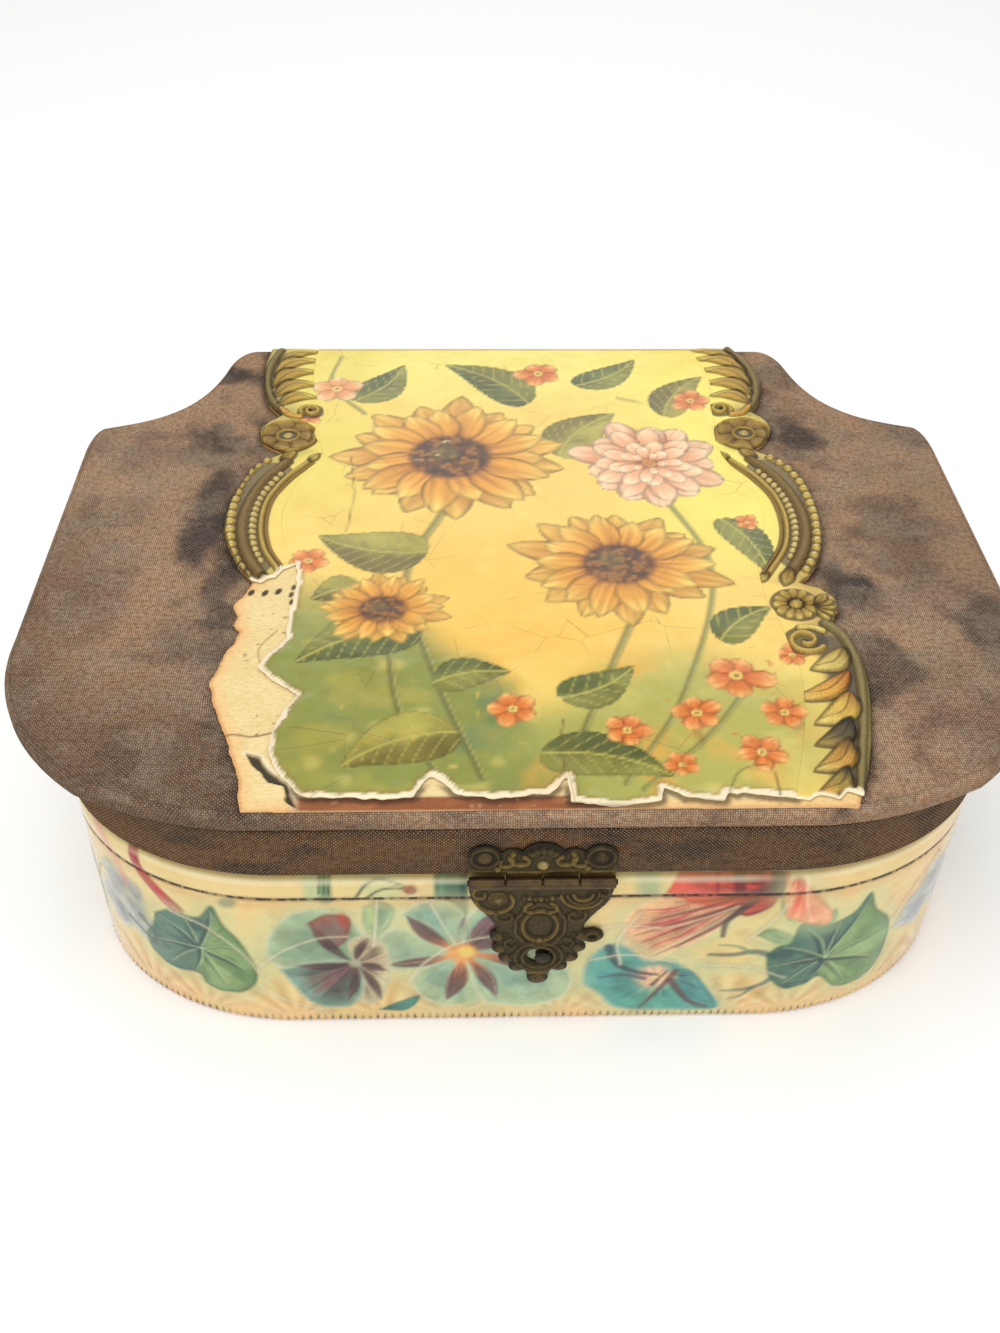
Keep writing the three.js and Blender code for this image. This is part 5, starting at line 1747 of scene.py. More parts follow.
    def red_flower(self) -> None:
        """Paint the red flower that reaches the rim, its stem and its bud."""
        focus = (62.5, 55.5)
        self.shape([(23.6, 34), (24, 43), (29, 49), (38, 52), (52, 53), (56, 51), (52, 45.5), (49.3, 39.4),
                    (45, 34.8), (38.8, 29.4),
                    (32, 24.6), (26.4, 27)], focus, (RED, (196, 82, 78), (246, 200, 146)), (104, 30, 42),
                   54, rays=19.0, strength=1.0, edge=0.1,
                   pale=0.25, halo=0.45)
        self.shape([(33, 52.4), (39, 61), (61, 61.5), (62.4, 52), (57, 48.6), (44, 47.4)], (70, 50),
                   (MAROON, (186, 46, 42), (226, 100, 78)),
                   (92, 22, 24), 55, rays=14.0, strength=0.85, edge=0.1)
        for line in ([(58, 53), (46, 44), (29, 33)], [(60, 54), (44, 47), (31, 42)],
                     [(57, 50), (46, 38), (33, 28)], [(60, 55), (48, 50), (36, 49)],
                     [(59, 52), (50, 44), (38, 31)], [(58, 56), (50, 57), (38, 57)],
                     [(56, 59), (48, 60), (41, 60)], [(55, 48), (42, 43), (27, 36)]):
            self.ray(line, 2.4, (98, 22, 28), 0.8, 0.85, 0.7)
        for line in ([(55, 49), (42, 36), (30, 27)], [(52, 47), (38, 40), (26, 38)]):
            self.ray(line, 0.8, (252, 226, 190), 0.5, 0.4)
        self.bar([(50.5, 61), (51.5, 53)], 3.0, (96, 20, 22), 0.85, 0.8)
        self.bar([(60.2, 61), (61, 51.6)], 3.6, (58, 16, 20), 0.9, 0.7)
        self.bar([(45.5, 61), (45.8, 53)], 1.2, (150, 34, 30), 0.8, 0.6)
        self.bar([(28, 61), (29, 54)], 6.0, (126, 168, 134), 0.6, 2.0)
        self.shape([(51, 44.6), (55.5, 50.4), (61, 51), (60.4, 46.6), (55, 43)], (51, 44),
                   ((230, 150, 122), (206, 78, 66), (160, 48, 50)), MAROON,
                   56, rays=5, strength=0.6)
        self.ray([(55.7, 49.4), (52, 44.6), (49.6, 40.6), (49.4, 35)], 2.6, (70, 58, 52), 0.85, 0.5)
        self.ray([(62.4, 51.5), (63.4, 46), (66, 41)], 1.2, (60, 84, 66), 0.7, 0.2)
        self.shape([(64.4, 42.6), (63.2, 54.0), (66, 57.4), (70.4, 51.8), (76.8, 42.6), (76, 37.6),
                    (69.4, 39.6)], (68, 58),
                   ((176, 46, 44), (222, 92, 72), (250, 190, 142)), (160, 44, 44), 57, rays=6, strength=0.7,
                   halo=0.41, lift=0.3)
        self.ray([(68, 56), (69.4, 47), (71.4, 40)], 1.2, (252, 214, 180), 0.6, 0.4)

    def right_leaf(self) -> None:
        """Paint the broad leaf at the right of the front, with its leaflets and twigs."""
        outline = [(61.6, 27), (63.4, 18.3), (67.8, 12.2), (73.7, 12.4), (77.8, 15.1), (83.9, 8.3),
                   (92.7, 7.8), (97.8, 15), (97, 29.7),
                   (90.5, 38.5), (87.2, 46.4), (84, 40.8), (80.4, 38.4), (75.5, 37.4), (69.3, 39.4),
                   (67.4, 31.9), (64.5, 30.6)]
        tips = [(63, 22), (68, 14.5), (76, 15.5), (86, 10.5), (95, 15.5), (94.5, 28), (86.8, 42.5),
                (80, 37), (71, 37), (66, 30)]
        self.shape([(57.8, 35.4), (61.5, 38), (67.5, 34.6), (70, 30.6), (64.4, 31.2)], (69, 31),
                   ((58, 100, 84), (96, 138, 96), (150, 172, 120)),
                   DEEP_TEAL, 58, rays=4, strength=0.6, halo=0.32)
        self.shape([(69.5, 39), (71, 44), (73.6, 40), (77.6, 43.4), (78.4, 38), (74, 35)], (74, 34),
                   ((52, 94, 80), (92, 132, 96), GREEN),
                   DEEP_TEAL, 59, rays=4, strength=0.6)
        self.veined_leaf(outline, (77.2, 22.8), tips, [(79, 8), (78.4, 16), (79.6, 24), (84, 33), (88, 46)],
                         8)
        for line, width, tone in (([(64, 26.4), (58.5, 28.4), (53, 27.2), (46.8, 27.4)], 2.4, (46, 84, 84)),
                                  ([(66, 19), (62.4, 15), (57.6, 12.4), (51.6, 11.8)], 2.0, (54, 96, 92)),
                                  ([(60, 13), (56, 9), (53.4, 8)], 1.2, (60, 104, 96)),
                                  ([(58, 27.8), (54, 30.6), (49, 31.4)], 1.3, (96, 140, 112))):
            self.ray(line, width, tone, 0.75, 0.5)
        self.ray([(46, 23), (52, 21), (59, 20.6)], 5.5, (196, 208, 160), 0.45, 0.3, 2.0)
        for k, (u, z, size) in enumerate(((107, 27, 8.0), (113, 35, 8.0), (119, 26, 7.0))):
            self.shape([(u - size, z - 2), (u - 3, z + size), (u + size, z + 4), (u + 4, z - size)],
                       (u + size, z), ((120, 112, 150), (134, 156, 184),
                       (190, 200, 190)), (84, 88, 130), 64 + k, rays=4, strength=0.6, soft=1.6, cover=0.8)

    def left_group(self) -> None:
        """Paint what lies left of the clasp."""
        self.rim_sprigs()
        self.heart_leaf()
        self.pale_flower()
        self.plum_flower()
        self.arcs(([(-92, 40), (-82, 37.6), (-74, 30), (-69, 20)],
                   [(-69.5, 24), (-63, 31), (-54, 36), (-46, 37)],
                   [(-31, 18), (-26.4, 26), (-19, 33), (-9, 36.4), (2, 36)],
                   [(-39.5, 33), (-38.6, 42), (-37.8, 52)],
                   [(-24.6, 49), (-21.4, 40), (-18.6, 33)], [(-70, 16), (-62, 9), (-52, 5)]))

    def right_group(self) -> None:
        """Paint what lies right of the clasp."""
        self.right_leaf()
        self.red_flower()
        self.teal_flower()
        self.arcs(([(14.5, 38), (24, 40), (33, 39)], [(24, 24), (22.8, 34), (27.6, 45)],
                   [(46, 23), (58, 22), (68, 17)],
                   [(56, 33), (62, 42), (65, 50)], [(16, 26), (26, 28), (38, 24.6)],
                   [(98, 30), (104, 40), (112, 47)]))

    def repeats(self, places: list[tuple[float, int, bool]]) -> None:
        """Repeat the front's two groups along the sides and back.

        Args:
            places: For each repeat its shift, -1 where it is turned round or else 1, and whether it is the
                left group.
        """
        for self.shift, self.flip, left in places:
            (self.left_group if left else self.right_group)()
        self.shift, self.flip = 0.0, 1

    def band(self) -> None:
        """Mottle the whole and the lower wall, brown the seam and the band under it, paint a highlight
        streak along the roll, and paint the lid's shadow onto the roll's top.
        """
        c = self.canvas
        low = smooth(50.5, 48.5, c.y)
        c.wash(0.12 * low * smooth(0.12, 0.7, cloud(c.x, c.y, 4.5, 4, 16)), (92, 98, 76))
        c.patches(0.1, (0.2, 0.8), 1.8, 3, 18, (120, 104, 76))
        # painted highlight: a pale streak along the roll
        painted_highlight = smooth(1.3, 0.2, np.abs(c.y - 57.3)) * smooth(-0.5, 0.3, cloud(c.x, 0 * c.x, 30, 2, 19))
        c.wash(0.45 * painted_highlight, (255, 248, 214))
        c.wash(0.5 * smooth(1.5, 0.2, np.abs(c.y - 51.3)) * smooth(-0.6, 0.3, cloud(c.x, c.y, 5, 3, 15)),
               (104, 74, 44))
        c.wash(0.25 * smooth(3.0, 0.0, np.abs(c.y - 49.5)), (214, 150, 92))
        c.wash(0.6 * smooth(56.8, 59.0, c.y), (128, 116, 62))


@dataclass
class Case:
    """The body: wall, board, painted celluloid wrap and paper."""

    plan: Plan
    foot: float = 0.2
    groove: float = 51.3
    roll: tuple[float, float] = (3.2, 6.0)
    roll_start: float = 54.3
    step: float = 0.5
    front_reach: float = 150.0

    def rows(self, step: float) -> tuple[np.ndarray, np.ndarray]:
        """Give the wrap's section as insets and heights, once round, from under the foot.

        The roll at the rim is a quarter of an ellipse, and the inner side lies 0.8 mm in.

        Args:
            step: Spacing of the rows up the wall.

        Returns:
            The insets and the heights.
        """
        low = [(6.0, self.foot), (1.2, self.foot), (0.6, 0.35), (0.22, 0.75)]
        wall = [(0.0, z) for z in np.arange(1.4, self.groove - 0.9, step)]
        score = [(0.0, self.groove - 0.8), (0.16, self.groove - 0.4), (0.42, self.groove),
                 (0.16, self.groove + 0.4),
                 (0.0, self.groove + 0.9), (0.0, self.groove + 1.6), (0.0, self.groove + 2.3)]
        turn = np.radians(np.arange(0, 91, 7.5))
        roll = [(self.roll[0] * (1 - math.cos(angle)), self.roll_start + self.roll[1] * math.sin(angle))
                for angle in turn]
        inner = [(6.1, 60.3), (6.1, 59.5), (3.6, 59.5), (1.6, 57.6), (0.8, 54.3), (0.8, 28.0), (0.8, 1.5),
                 (1.2, 1.0), (6.0, 1.0)]
        section = np.array(low + wall + score + roll + inner)
        return section[:, 0], section[:, 1]

    def wrap_part(self, name: str, start: float, end: float, step: float,
                  painter: Callable[[Canvas], None]) -> None:
        """Build one length of the wrap, paint it and press the painting's relief into it.

        The foot is crimped: within 4 mm of it the wall moves in and out by a sine with a pitch of
        2 mm.

        Args:
            name: Name of the piece.
            start: Arc length where it starts.
            end: Arc length where it ends.
            step: Spacing of its points.
            painter: Paints its canvas.
        """
        inset, height = self.rows(step)
        arc = np.linspace(start, end, int((end - start) / step) + 1)
        u, _ = np.meshgrid(arc, height)
        z = np.broadcast_to(height[:, None], u.shape)
        deep = np.broadcast_to(inset[:, None], u.shape)
        where = np.where(u > self.plan.length / 2, u - self.plan.length, u)
        canvas = Canvas(where, z, CREAM)
        painter(canvas)
        outer = (np.arange(len(height)) < len(height) - 9)[:, None]
        worn_band = smooth(49.0, 50.4, z) * smooth(53.6, 52.2, z)
        lift = canvas.lift.reshape(u.shape) * smooth(1.5, 4.0, z) * (1 - worn_band)
        crimp = 0.14 * np.sin(math.tau * u / WRAP.crimp_pitch) * smooth(4.0, 1.0, z) * smooth(0.1, 0.8, z)
        flat = self.plan.at(u, deep + np.where(outer, crimp - lift, 0.0))
        points = np.concatenate([flat, z[..., None]], -1)
        faces = grid_faces(len(height), len(arc), wrap_rows=True)
        rows = np.arange(len(height))[None] * len(arc)
        caps = [rows, rows[:, ::-1] + len(arc) - 1]
        thing = write_mesh(name, points.reshape(-1, 3), [faces] + caps)
        places = np.stack([where.ravel(), z.ravel()], 1)
        corners = np.concatenate([faces.ravel()] + [cap.ravel() for cap in caps])
        give_uv(thing, places[corners])
        give_colour(thing, "paint", canvas.colour)
        settle(thing, Body.BASE, "celluloid_wrap", WRAP, "base_wrap")

    def wrap(self) -> None:
        """Build the wrap in a fine front length and a coarser back length."""

        def paint_front(canvas: Canvas) -> None:
            painting = BodyPainting(canvas)
            painting.ground()
            painting.repeats([(-222.0, 1, False), (240.0, 1, True)])
            painting.right_group()
            painting.left_group()
            painting.band()

        def paint_back(canvas: Canvas) -> None:
            painting = BodyPainting(canvas)
            painting.ground()
            painting.repeats([(-222.0, 1, False), (240.0, 1, True), (-228.0, 1, True), (246.0, 1, False)])
            painting.band()

        reach = self.front_reach
        self.wrap_part("wrap_front", -reach, reach, self.step, paint_front)
        self.wrap_part("wrap_back", reach, self.plan.length - reach, 0.85, paint_back)

    def build(self) -> None:
        """Build the wrap, and finish the plain nodes of the body."""
        self.wrap()
        plain_finish(("base_wall", "base_board"), WOOD)
        plain_finish(("underside_paper",), PAPER)


RIGHT_EDGE = np.array([
    (79.6, 109.4), (82.6, 103.5), (84.6, 96.6), (85.6, 88.0), (84.6, 79.5), (82.6, 72.0), (79.7, 66.6),
    (82.2, 63.8), (83.9, 60.3), (84.2, 55.6),
    (82.4, 51.1), (79.6, 47.0), (76.0, 44.0), (81.4, 40.0), (86.2, 33.6), (89.0, 25.8), (89.9, 17.0),
    (90.0, 7.0), (88.8, -3.5), (86.9, -11.0),
    (83.8, -18.0), (81.2, -22.0), (78.2, -24.9), (83.4, -27.4), (86.4, -31.7), (86.2, -37.6), (83.6, -42.4),
    (86.2, -47.4), (87.5, -53.0), (88.0, -59.0),
    (87.8, -64.9), (86.9, -72.4), (85.4, -79.9), (83.4, -89.0), (80.9, -97.3), (78.7, -103.6),
    (76.5, -109.4),
])
LEFT_EDGE = np.array([
    (-82.5, 109.4), (-83.6, 99.6), (-83.1, 89.8), (-82.2, 81.2), (-80.4, 73.3), (-77.9, 68.6),
    (-75.0, 65.1), (-78.6, 61.6), (-80.7, 57.7), (-81.0, 53.2),
    (-79.7, 48.7), (-76.0, 45.4), (-71.9, 42.8), (-77.6, 38.6), (-81.6, 32.0), (-83.7, 23.3), (-85.6, 15.4),
    (-86.0, 7.5), (-85.6, -0.2), (-83.5, -7.3),
    (-80.0, -15.6), (-75.1, -22.5),
])
CARD_LEFT = np.array([
    (-75.8, -26.0), (-79.0, -33.2), (-76.6, -37.6), (-78.0, -41.7), (-75.4, -44.2), (-77.6, -50.0),
    (-79.3, -56.7), (-80.9, -64.7), (-79.3, -73.1),
    (-77.0, -78.1), (-74.6, -84.4), (-72.4, -90.8), (-70.0, -98.9), (-68.0, -109.4),
])
TORN_LEFT = np.array([
    (-63.4, -15.2), (-62.4, -20.2), (-62.7, -28.0), (-63.2, -37.8), (-63.0, -47.9), (-67.1, -54.1),
    (-69.7, -59.2), (-64.2, -64.9), (-58.1, -69.8),
    (-60.7, -74.6), (-62.3, -80.2), (-63.7, -86.8), (-62.2, -93.9), (-57.9, -100.7), (-55.5, -104.7),
    (-49.8, -105.5), (-41.8, -105.1), (-35.9, -106.6),
])
TORN_FRONT = np.array([
    (-28.2, -105.7), (-24.1, -98.2), (-17.4, -105.3), (-7.3, -105.9), (3.7, -105.0), (7.9, -99.1),
    (8.6, -107.2), (18.2, -108.9), (30.0, -107.4),
    (31.2, -103.2), (35.0, -106.0), (41.7, -107.1), (45.1, -107.6), (45.9, -105.0), (57.5, -106.2),
    (61.6, -107.0),
])
BORDER_WIDTH = 16.5
SPLIT = np.array([
    (-68.8, -90.3), (-65.7, -91.5), (-62.8, -96.2), (-58.3, -100.7), (-55.2, -108.5), (-57.8, -105.7),
    (-58.6, -101.3), (-62.8, -99.6), (-67.1, -93.8),
])


def ragged(points: np.ndarray, step: float, depth: float, seed: int) -> np.ndarray:
    """Cut a line into short steps and move each point aside by noise, as paper tears.

    Args:
        points: The line's points.
        step: Length of a step.
        depth: How far a point may move.
        seed: Which noise it takes.

    Returns:
        The torn line's points.
    """
    arc = np.concatenate([[0.0], np.cumsum(np.hypot(*np.diff(points, axis=0).T))])
    where = np.linspace(0, arc[-1], int(arc[-1] / step) + 1)
    line = np.stack([np.interp(where, arc, points[:, k]) for k in (0, 1)], 1)
    fade = np.minimum(1, np.minimum(where, where[::-1]) / 3.0)
    shake = np.stack([cloud(where, 0 * where + 7 * k, 3.2, 3, seed + k) for k in (1, 2)], 1)
    return line + depth * shake * fade[:, None]


TORN = ragged(np.vstack([TORN_LEFT, TORN_FRONT]), 0.7, 0.7, 3)
TORN_ENDS = {
    1: ragged(np.array([(77.7, -106.4), (74.6, -105.0), (71.4, -107.3), (67.6, -105.6), (64.4, -107.4),
                        (61.6, -107.0)]), 0.6, 0.5, 10),
    -1: ragged(np.array([(-75.1, -22.5), (-72.8, -23.4), (-70.4, -21.6), (-68.4, -21.2), (-66.4, -17.4),
                         (-63.4, -15.2)]), 0.6, 0.5, 9),
}


def inner_edge(edge: np.ndarray, side: int) -> np.ndarray:
    """Give the line where a border meets the print.

    Args:
        edge: The border's outer edge.
        side: 1 on the right, -1 on the left.

    Returns:
        The points, moved towards the middle by the border's width.
    """
    y = np.linspace(edge[0, 1], edge[-1, 1], 120)
    order = np.argsort(edge[:, 1])
    x = np.interp(y, edge[order, 1], edge[order, 0])
    wide = np.convolve(np.pad(x, 6, mode="edge"), np.ones(13) / 13, mode="valid")
    return np.stack([wide - side * BORDER_WIDTH, y], 1)


def panel_outline() -> np.ndarray:
    """Outline of the whole panel: both border edges and the card's torn edge.

    Returns:
        The corners.
    """
    return np.vstack([RIGHT_EDGE, CARD_LEFT[::-1], LEFT_EDGE[::-1]])


PRINT_GROUND: Colour = (250, 216, 112)
TORN_PAPER: Colour = (250, 236, 200)
PRINT_FOOT = 81.92
SUN = ((176, 98, 34), (232, 164, 58), (250, 210, 104))
SUN_BACK = ((150, 92, 36), (214, 150, 56), (240, 196, 92))
ROSE = ((214, 116, 78), (240, 168, 120), (252, 214, 170))
OLIVE: Colour = (140, 140, 66)
DARK_OLIVE: Colour = (98, 106, 54)
LIGHT_OLIVE: Colour = (196, 188, 92)


@dataclass
class PanelPainting:
    """The lid's flower piece: sunflowers, a peach dahlia, olive leaves and small orange blossoms."""

    canvas: Canvas

    def ground(self) -> None:
        """Lay a glowing ground: bright yellow at the back and sides, then gold, and green at the front."""
        c = self.canvas
        c.wash(0.9 * smooth(30, 105, c.y), (252, 240, 128))
        c.wash(0.9 * smooth(16, 66, c.x) * smooth(-34, 6, c.y), (255, 240, 112))
        c.wash(0.7 * smooth(-26, -64, c.x) * smooth(-24, 40, c.y), (238, 220, 92))
        c.patches(0.35, (0.1, 0.9), 34, 4, 21, (250, 190, 84))
        c.wash(0.85 * smooth(56, 18, np.hypot(c.x + 2, 1.1 * (c.y + 34))), (255, 206, 92))
        slope = c.y + 32 + 0.75 * (c.x + 50)
        leafy = smooth(-12, 14, 10 * cloud(c.x, c.y, 30, 3, 26) - slope) * smooth(46, 10, c.x)
        c.wash(0.95 * leafy, (140, 150, 74))
        c.wash(0.65 * leafy * smooth(0.0, 0.6, cloud(c.x + 9, c.y, 20, 4, 24)), (88, 128, 90))
        c.wash(0.5 * leafy * smooth(0.15, 0.7, cloud(c.x, c.y + 9, 14, 3, 25)), (190, 178, 78))
        meadow = np.hypot(c.x - 40, (c.y + 88) * 1.35)
        c.wash(0.85 * smooth(52, 22, meadow + 10 * cloud(c.x, c.y, 22, 3, 27)), (176, 178, 92))
        c.wash(0.6 * smooth(0.1, 0.7, cloud(c.x, c.y + 30, 14, 4, 28)) * smooth(60, 30, meadow),
               (246, 176, 78))
        c.patches(0.3, (0.3, 0.9), 9, 3, 23, (255, 232, 132), (0, 50))

    def sunflower(self, centre, radius: float, count: int, seed: int, squash: float = 1.0) -> None:
        """Paint two rows of pointed petals round a dark seeded heart.

        Args:
            centre: Middle of the flower.
            radius: Reach of its petals.
            count: Petals in a row.
            seed: Which random numbers it takes.
            squash: Height as a share of width.
        """
        c = self.canvas
        form = {"squash": squash, "blunt": 0.75, "edge": 0.5}
        c.petals(centre, count, 0.2 * radius, radius, 0.36 * radius, SUN_BACK, start=180 / count, seed=seed,
                 full=0.52, streak=0.7, **form)
        c.petals(centre, count, 0.2 * radius, 0.88 * radius, 0.34 * radius, SUN, seed=seed + 3, streak=0.8,
                 **form)
        heart = 0.32 * radius
        c.spot(centre, heart * 1.12, (96, 56, 26), 0.8, squeeze=squash, soft=1.4)
        c.spot(centre, heart, (64, 42, 24), 0.95, squeeze=squash, soft=0.8)
        chance = np.random.default_rng(seed)
        for k in range(90):
            far = heart * math.sqrt((k + 0.5) / 90)
            turn = 2.399963 * k
            at = (centre[0] + far * math.cos(turn), centre[1] + squash * far * math.sin(turn))
            tone = ((120, 74, 34), (168, 112, 48), (86, 56, 30))[int(3 * chance.random())]
            c.spot(at, 0.075 * heart + 0.25, tone, 0.85, soft=0.25)
        c.spot((centre[0] - 0.2 * heart, centre[1] + 0.2 * heart), 0.4 * heart, (120, 116, 60), 0.4,
               squeeze=squash, soft=1.5)

    def dahlia(self, centre, radius: float, seed: int, tones) -> None:
        """Paint rings of blunt petals, each ring smaller and lighter than the one before.

        Args:
            centre: Middle of the flower.
            radius: Reach of the outer ring.
            seed: Which random numbers it takes.
            tones: Display colours at a petal's root, middle and tip.
        """
        for ring, share in enumerate((1.0, 0.8, 0.6, 0.42, 0.25)):
            lighter = tuple(tuple(min(255, part + 7 * ring) for part in tone) for tone in tones)
            self.canvas.petals(centre, 13 - 2 * ring, 0.08 * radius, share * radius,
                               0.42 * share * radius + 1.2,
                               lighter, start=17 * ring, seed=seed + ring, full=0.66, blunt=0.5, edge=0.55,
                               streak=0.5)
        self.canvas.spot(centre, 0.08 * radius, (186, 92, 60), 0.8, soft=0.6)

    def blossom(self, centre, radius: float, seed: int,
                tones=((196, 92, 40), (232, 134, 62), (248, 190, 110))) -> None:
        """Paint a small five-petalled blossom with a yellow eye.

        Args:
            centre: Middle of the blossom.
            radius: Reach of its petals.
            seed: Which random numbers it takes.
            tones: Display colours at a petal's root, middle and tip.
        """
        self.canvas.petals(centre, 5, 0.0, radius, 0.85 * radius, tones, start=20 * seed, seed=seed,
                           full=0.62,
                           blunt=0.55, edge=0.4, streak=0.6)
        self.canvas.spot(centre, 0.2 * radius, (250, 224, 120), 0.9)
        self.canvas.spot(centre, 0.09 * radius, (130, 78, 36), 0.8)

    def foliage(self) -> None:
        """Paint stems and leaves."""
        c = self.canvas
        for number, line in enumerate((
            [(-22, 10), (-32, -22), (-24, -62), (-12, -100)], [(30, -40), (20, -66), (6, -104)],
            [(-36, -52), (-32, -78), (-20, -104)],
            [(44, 20), (54, -20), (40, -70), (22, -102)], [(58, -66), (44, -86), (26, -104)],
            [(-48, 66), (-60, 84), (-58, 104)],
        )):
            c.stroke(line, 2.6 - 0.2 * number, (108, 110, 58), 0.75, taper=0.3, soft=0.6)
            c.stroke(np.add(line, (0.6, 0.3)), 0.7, (198, 192, 110), 0.6, taper=0.3)
        for number, (root, tip, width) in enumerate((
            ((-26, -10), (-58, -2), 20), ((-28, -44), (-60, -58), 19), ((-24, -66), (-4, -62), 12),
            ((-18, -84), (-46, -96), 18),
            ((2, -92), (34, -100), 15), ((8, -72), (28, -60), 13), ((14, 40), (34, 66), 19),
            ((6, 72), (-22, 98), 18), ((60, 6), (70, -22), 12), ((-44, -26), (-58, -32), 12),
            ((52, -50), (68, -36), 12),
            ((-52, 74), (-36, 98), 15), ((50, 64), (66, 90), 14), ((22, 84), (44, 102), 13),
        )):
            dark, light = (DARK_OLIVE, OLIVE) if number % 3 else ((128, 116, 52), (176, 166, 78))
            c.leaf(root, tip, width, (dark, light, LIGHT_OLIVE), 0.1 * (-1) ** number, number + 2)

    def draw(self) -> None:
        """Paint the whole piece."""
        self.ground()
        self.foliage()
        self.dahlia((42, 36), 23.0, 5, ROSE)
        self.sunflower((-20, 40), 36.0, 15, 7, 0.94)
        self.sunflower((28, -16), 29.0, 14, 17, 0.9)
        self.sunflower((-38, -36), 18.0, 13, 27, 0.86)
        self.blossom((-58, 82), 8.5, 1, ((214, 124, 70), (240, 170, 104), (252, 216, 160)))
        self.blossom((10, 92), 8.0, 2)
        for number, (x, y, size) in enumerate(((54, -64, 8.5), (64, -78, 6.0), (42, -78, 6.5),
                                               (56, -92, 6.0), (24, -84, 6.0), (70, -56, 4.5),
                                               (-4, -76, 6.5), (-60, -14, 6.0), (60, 74, 7.0),
                                               (-66, 64, 4.5), (36, -96, 4.5), (68, 4, 4.0))):
            self.blossom((x, y), size, number + 3)
        c = self.canvas
        c.flecks((20, -108), (80, -40), 2.2, 0.16, (214, 104, 48), 0.7, 5)
        c.flecks((-60, -108), (10, -50), 2.6, 0.18, (226, 196, 96), 0.6, 6)
        c.flecks((-75, 20), (75, 108), 2.4, 0.1, (255, 250, 190), 0.6, 7)
        c.wash(0.22 * smooth(70, 86, np.abs(c.x)), (170, 130, 58))


INK: Colour = (66, 50, 28)
OLD_GOLD: Colour = (190, 156, 76)
PALE_GOLD: Colour = (232, 206, 116)
ORANGE_GOLD: Colour = (220, 168, 80)
GREY_GOLD: Colour = (130, 106, 60)
DULL_BROWN: Colour = (128, 100, 54)


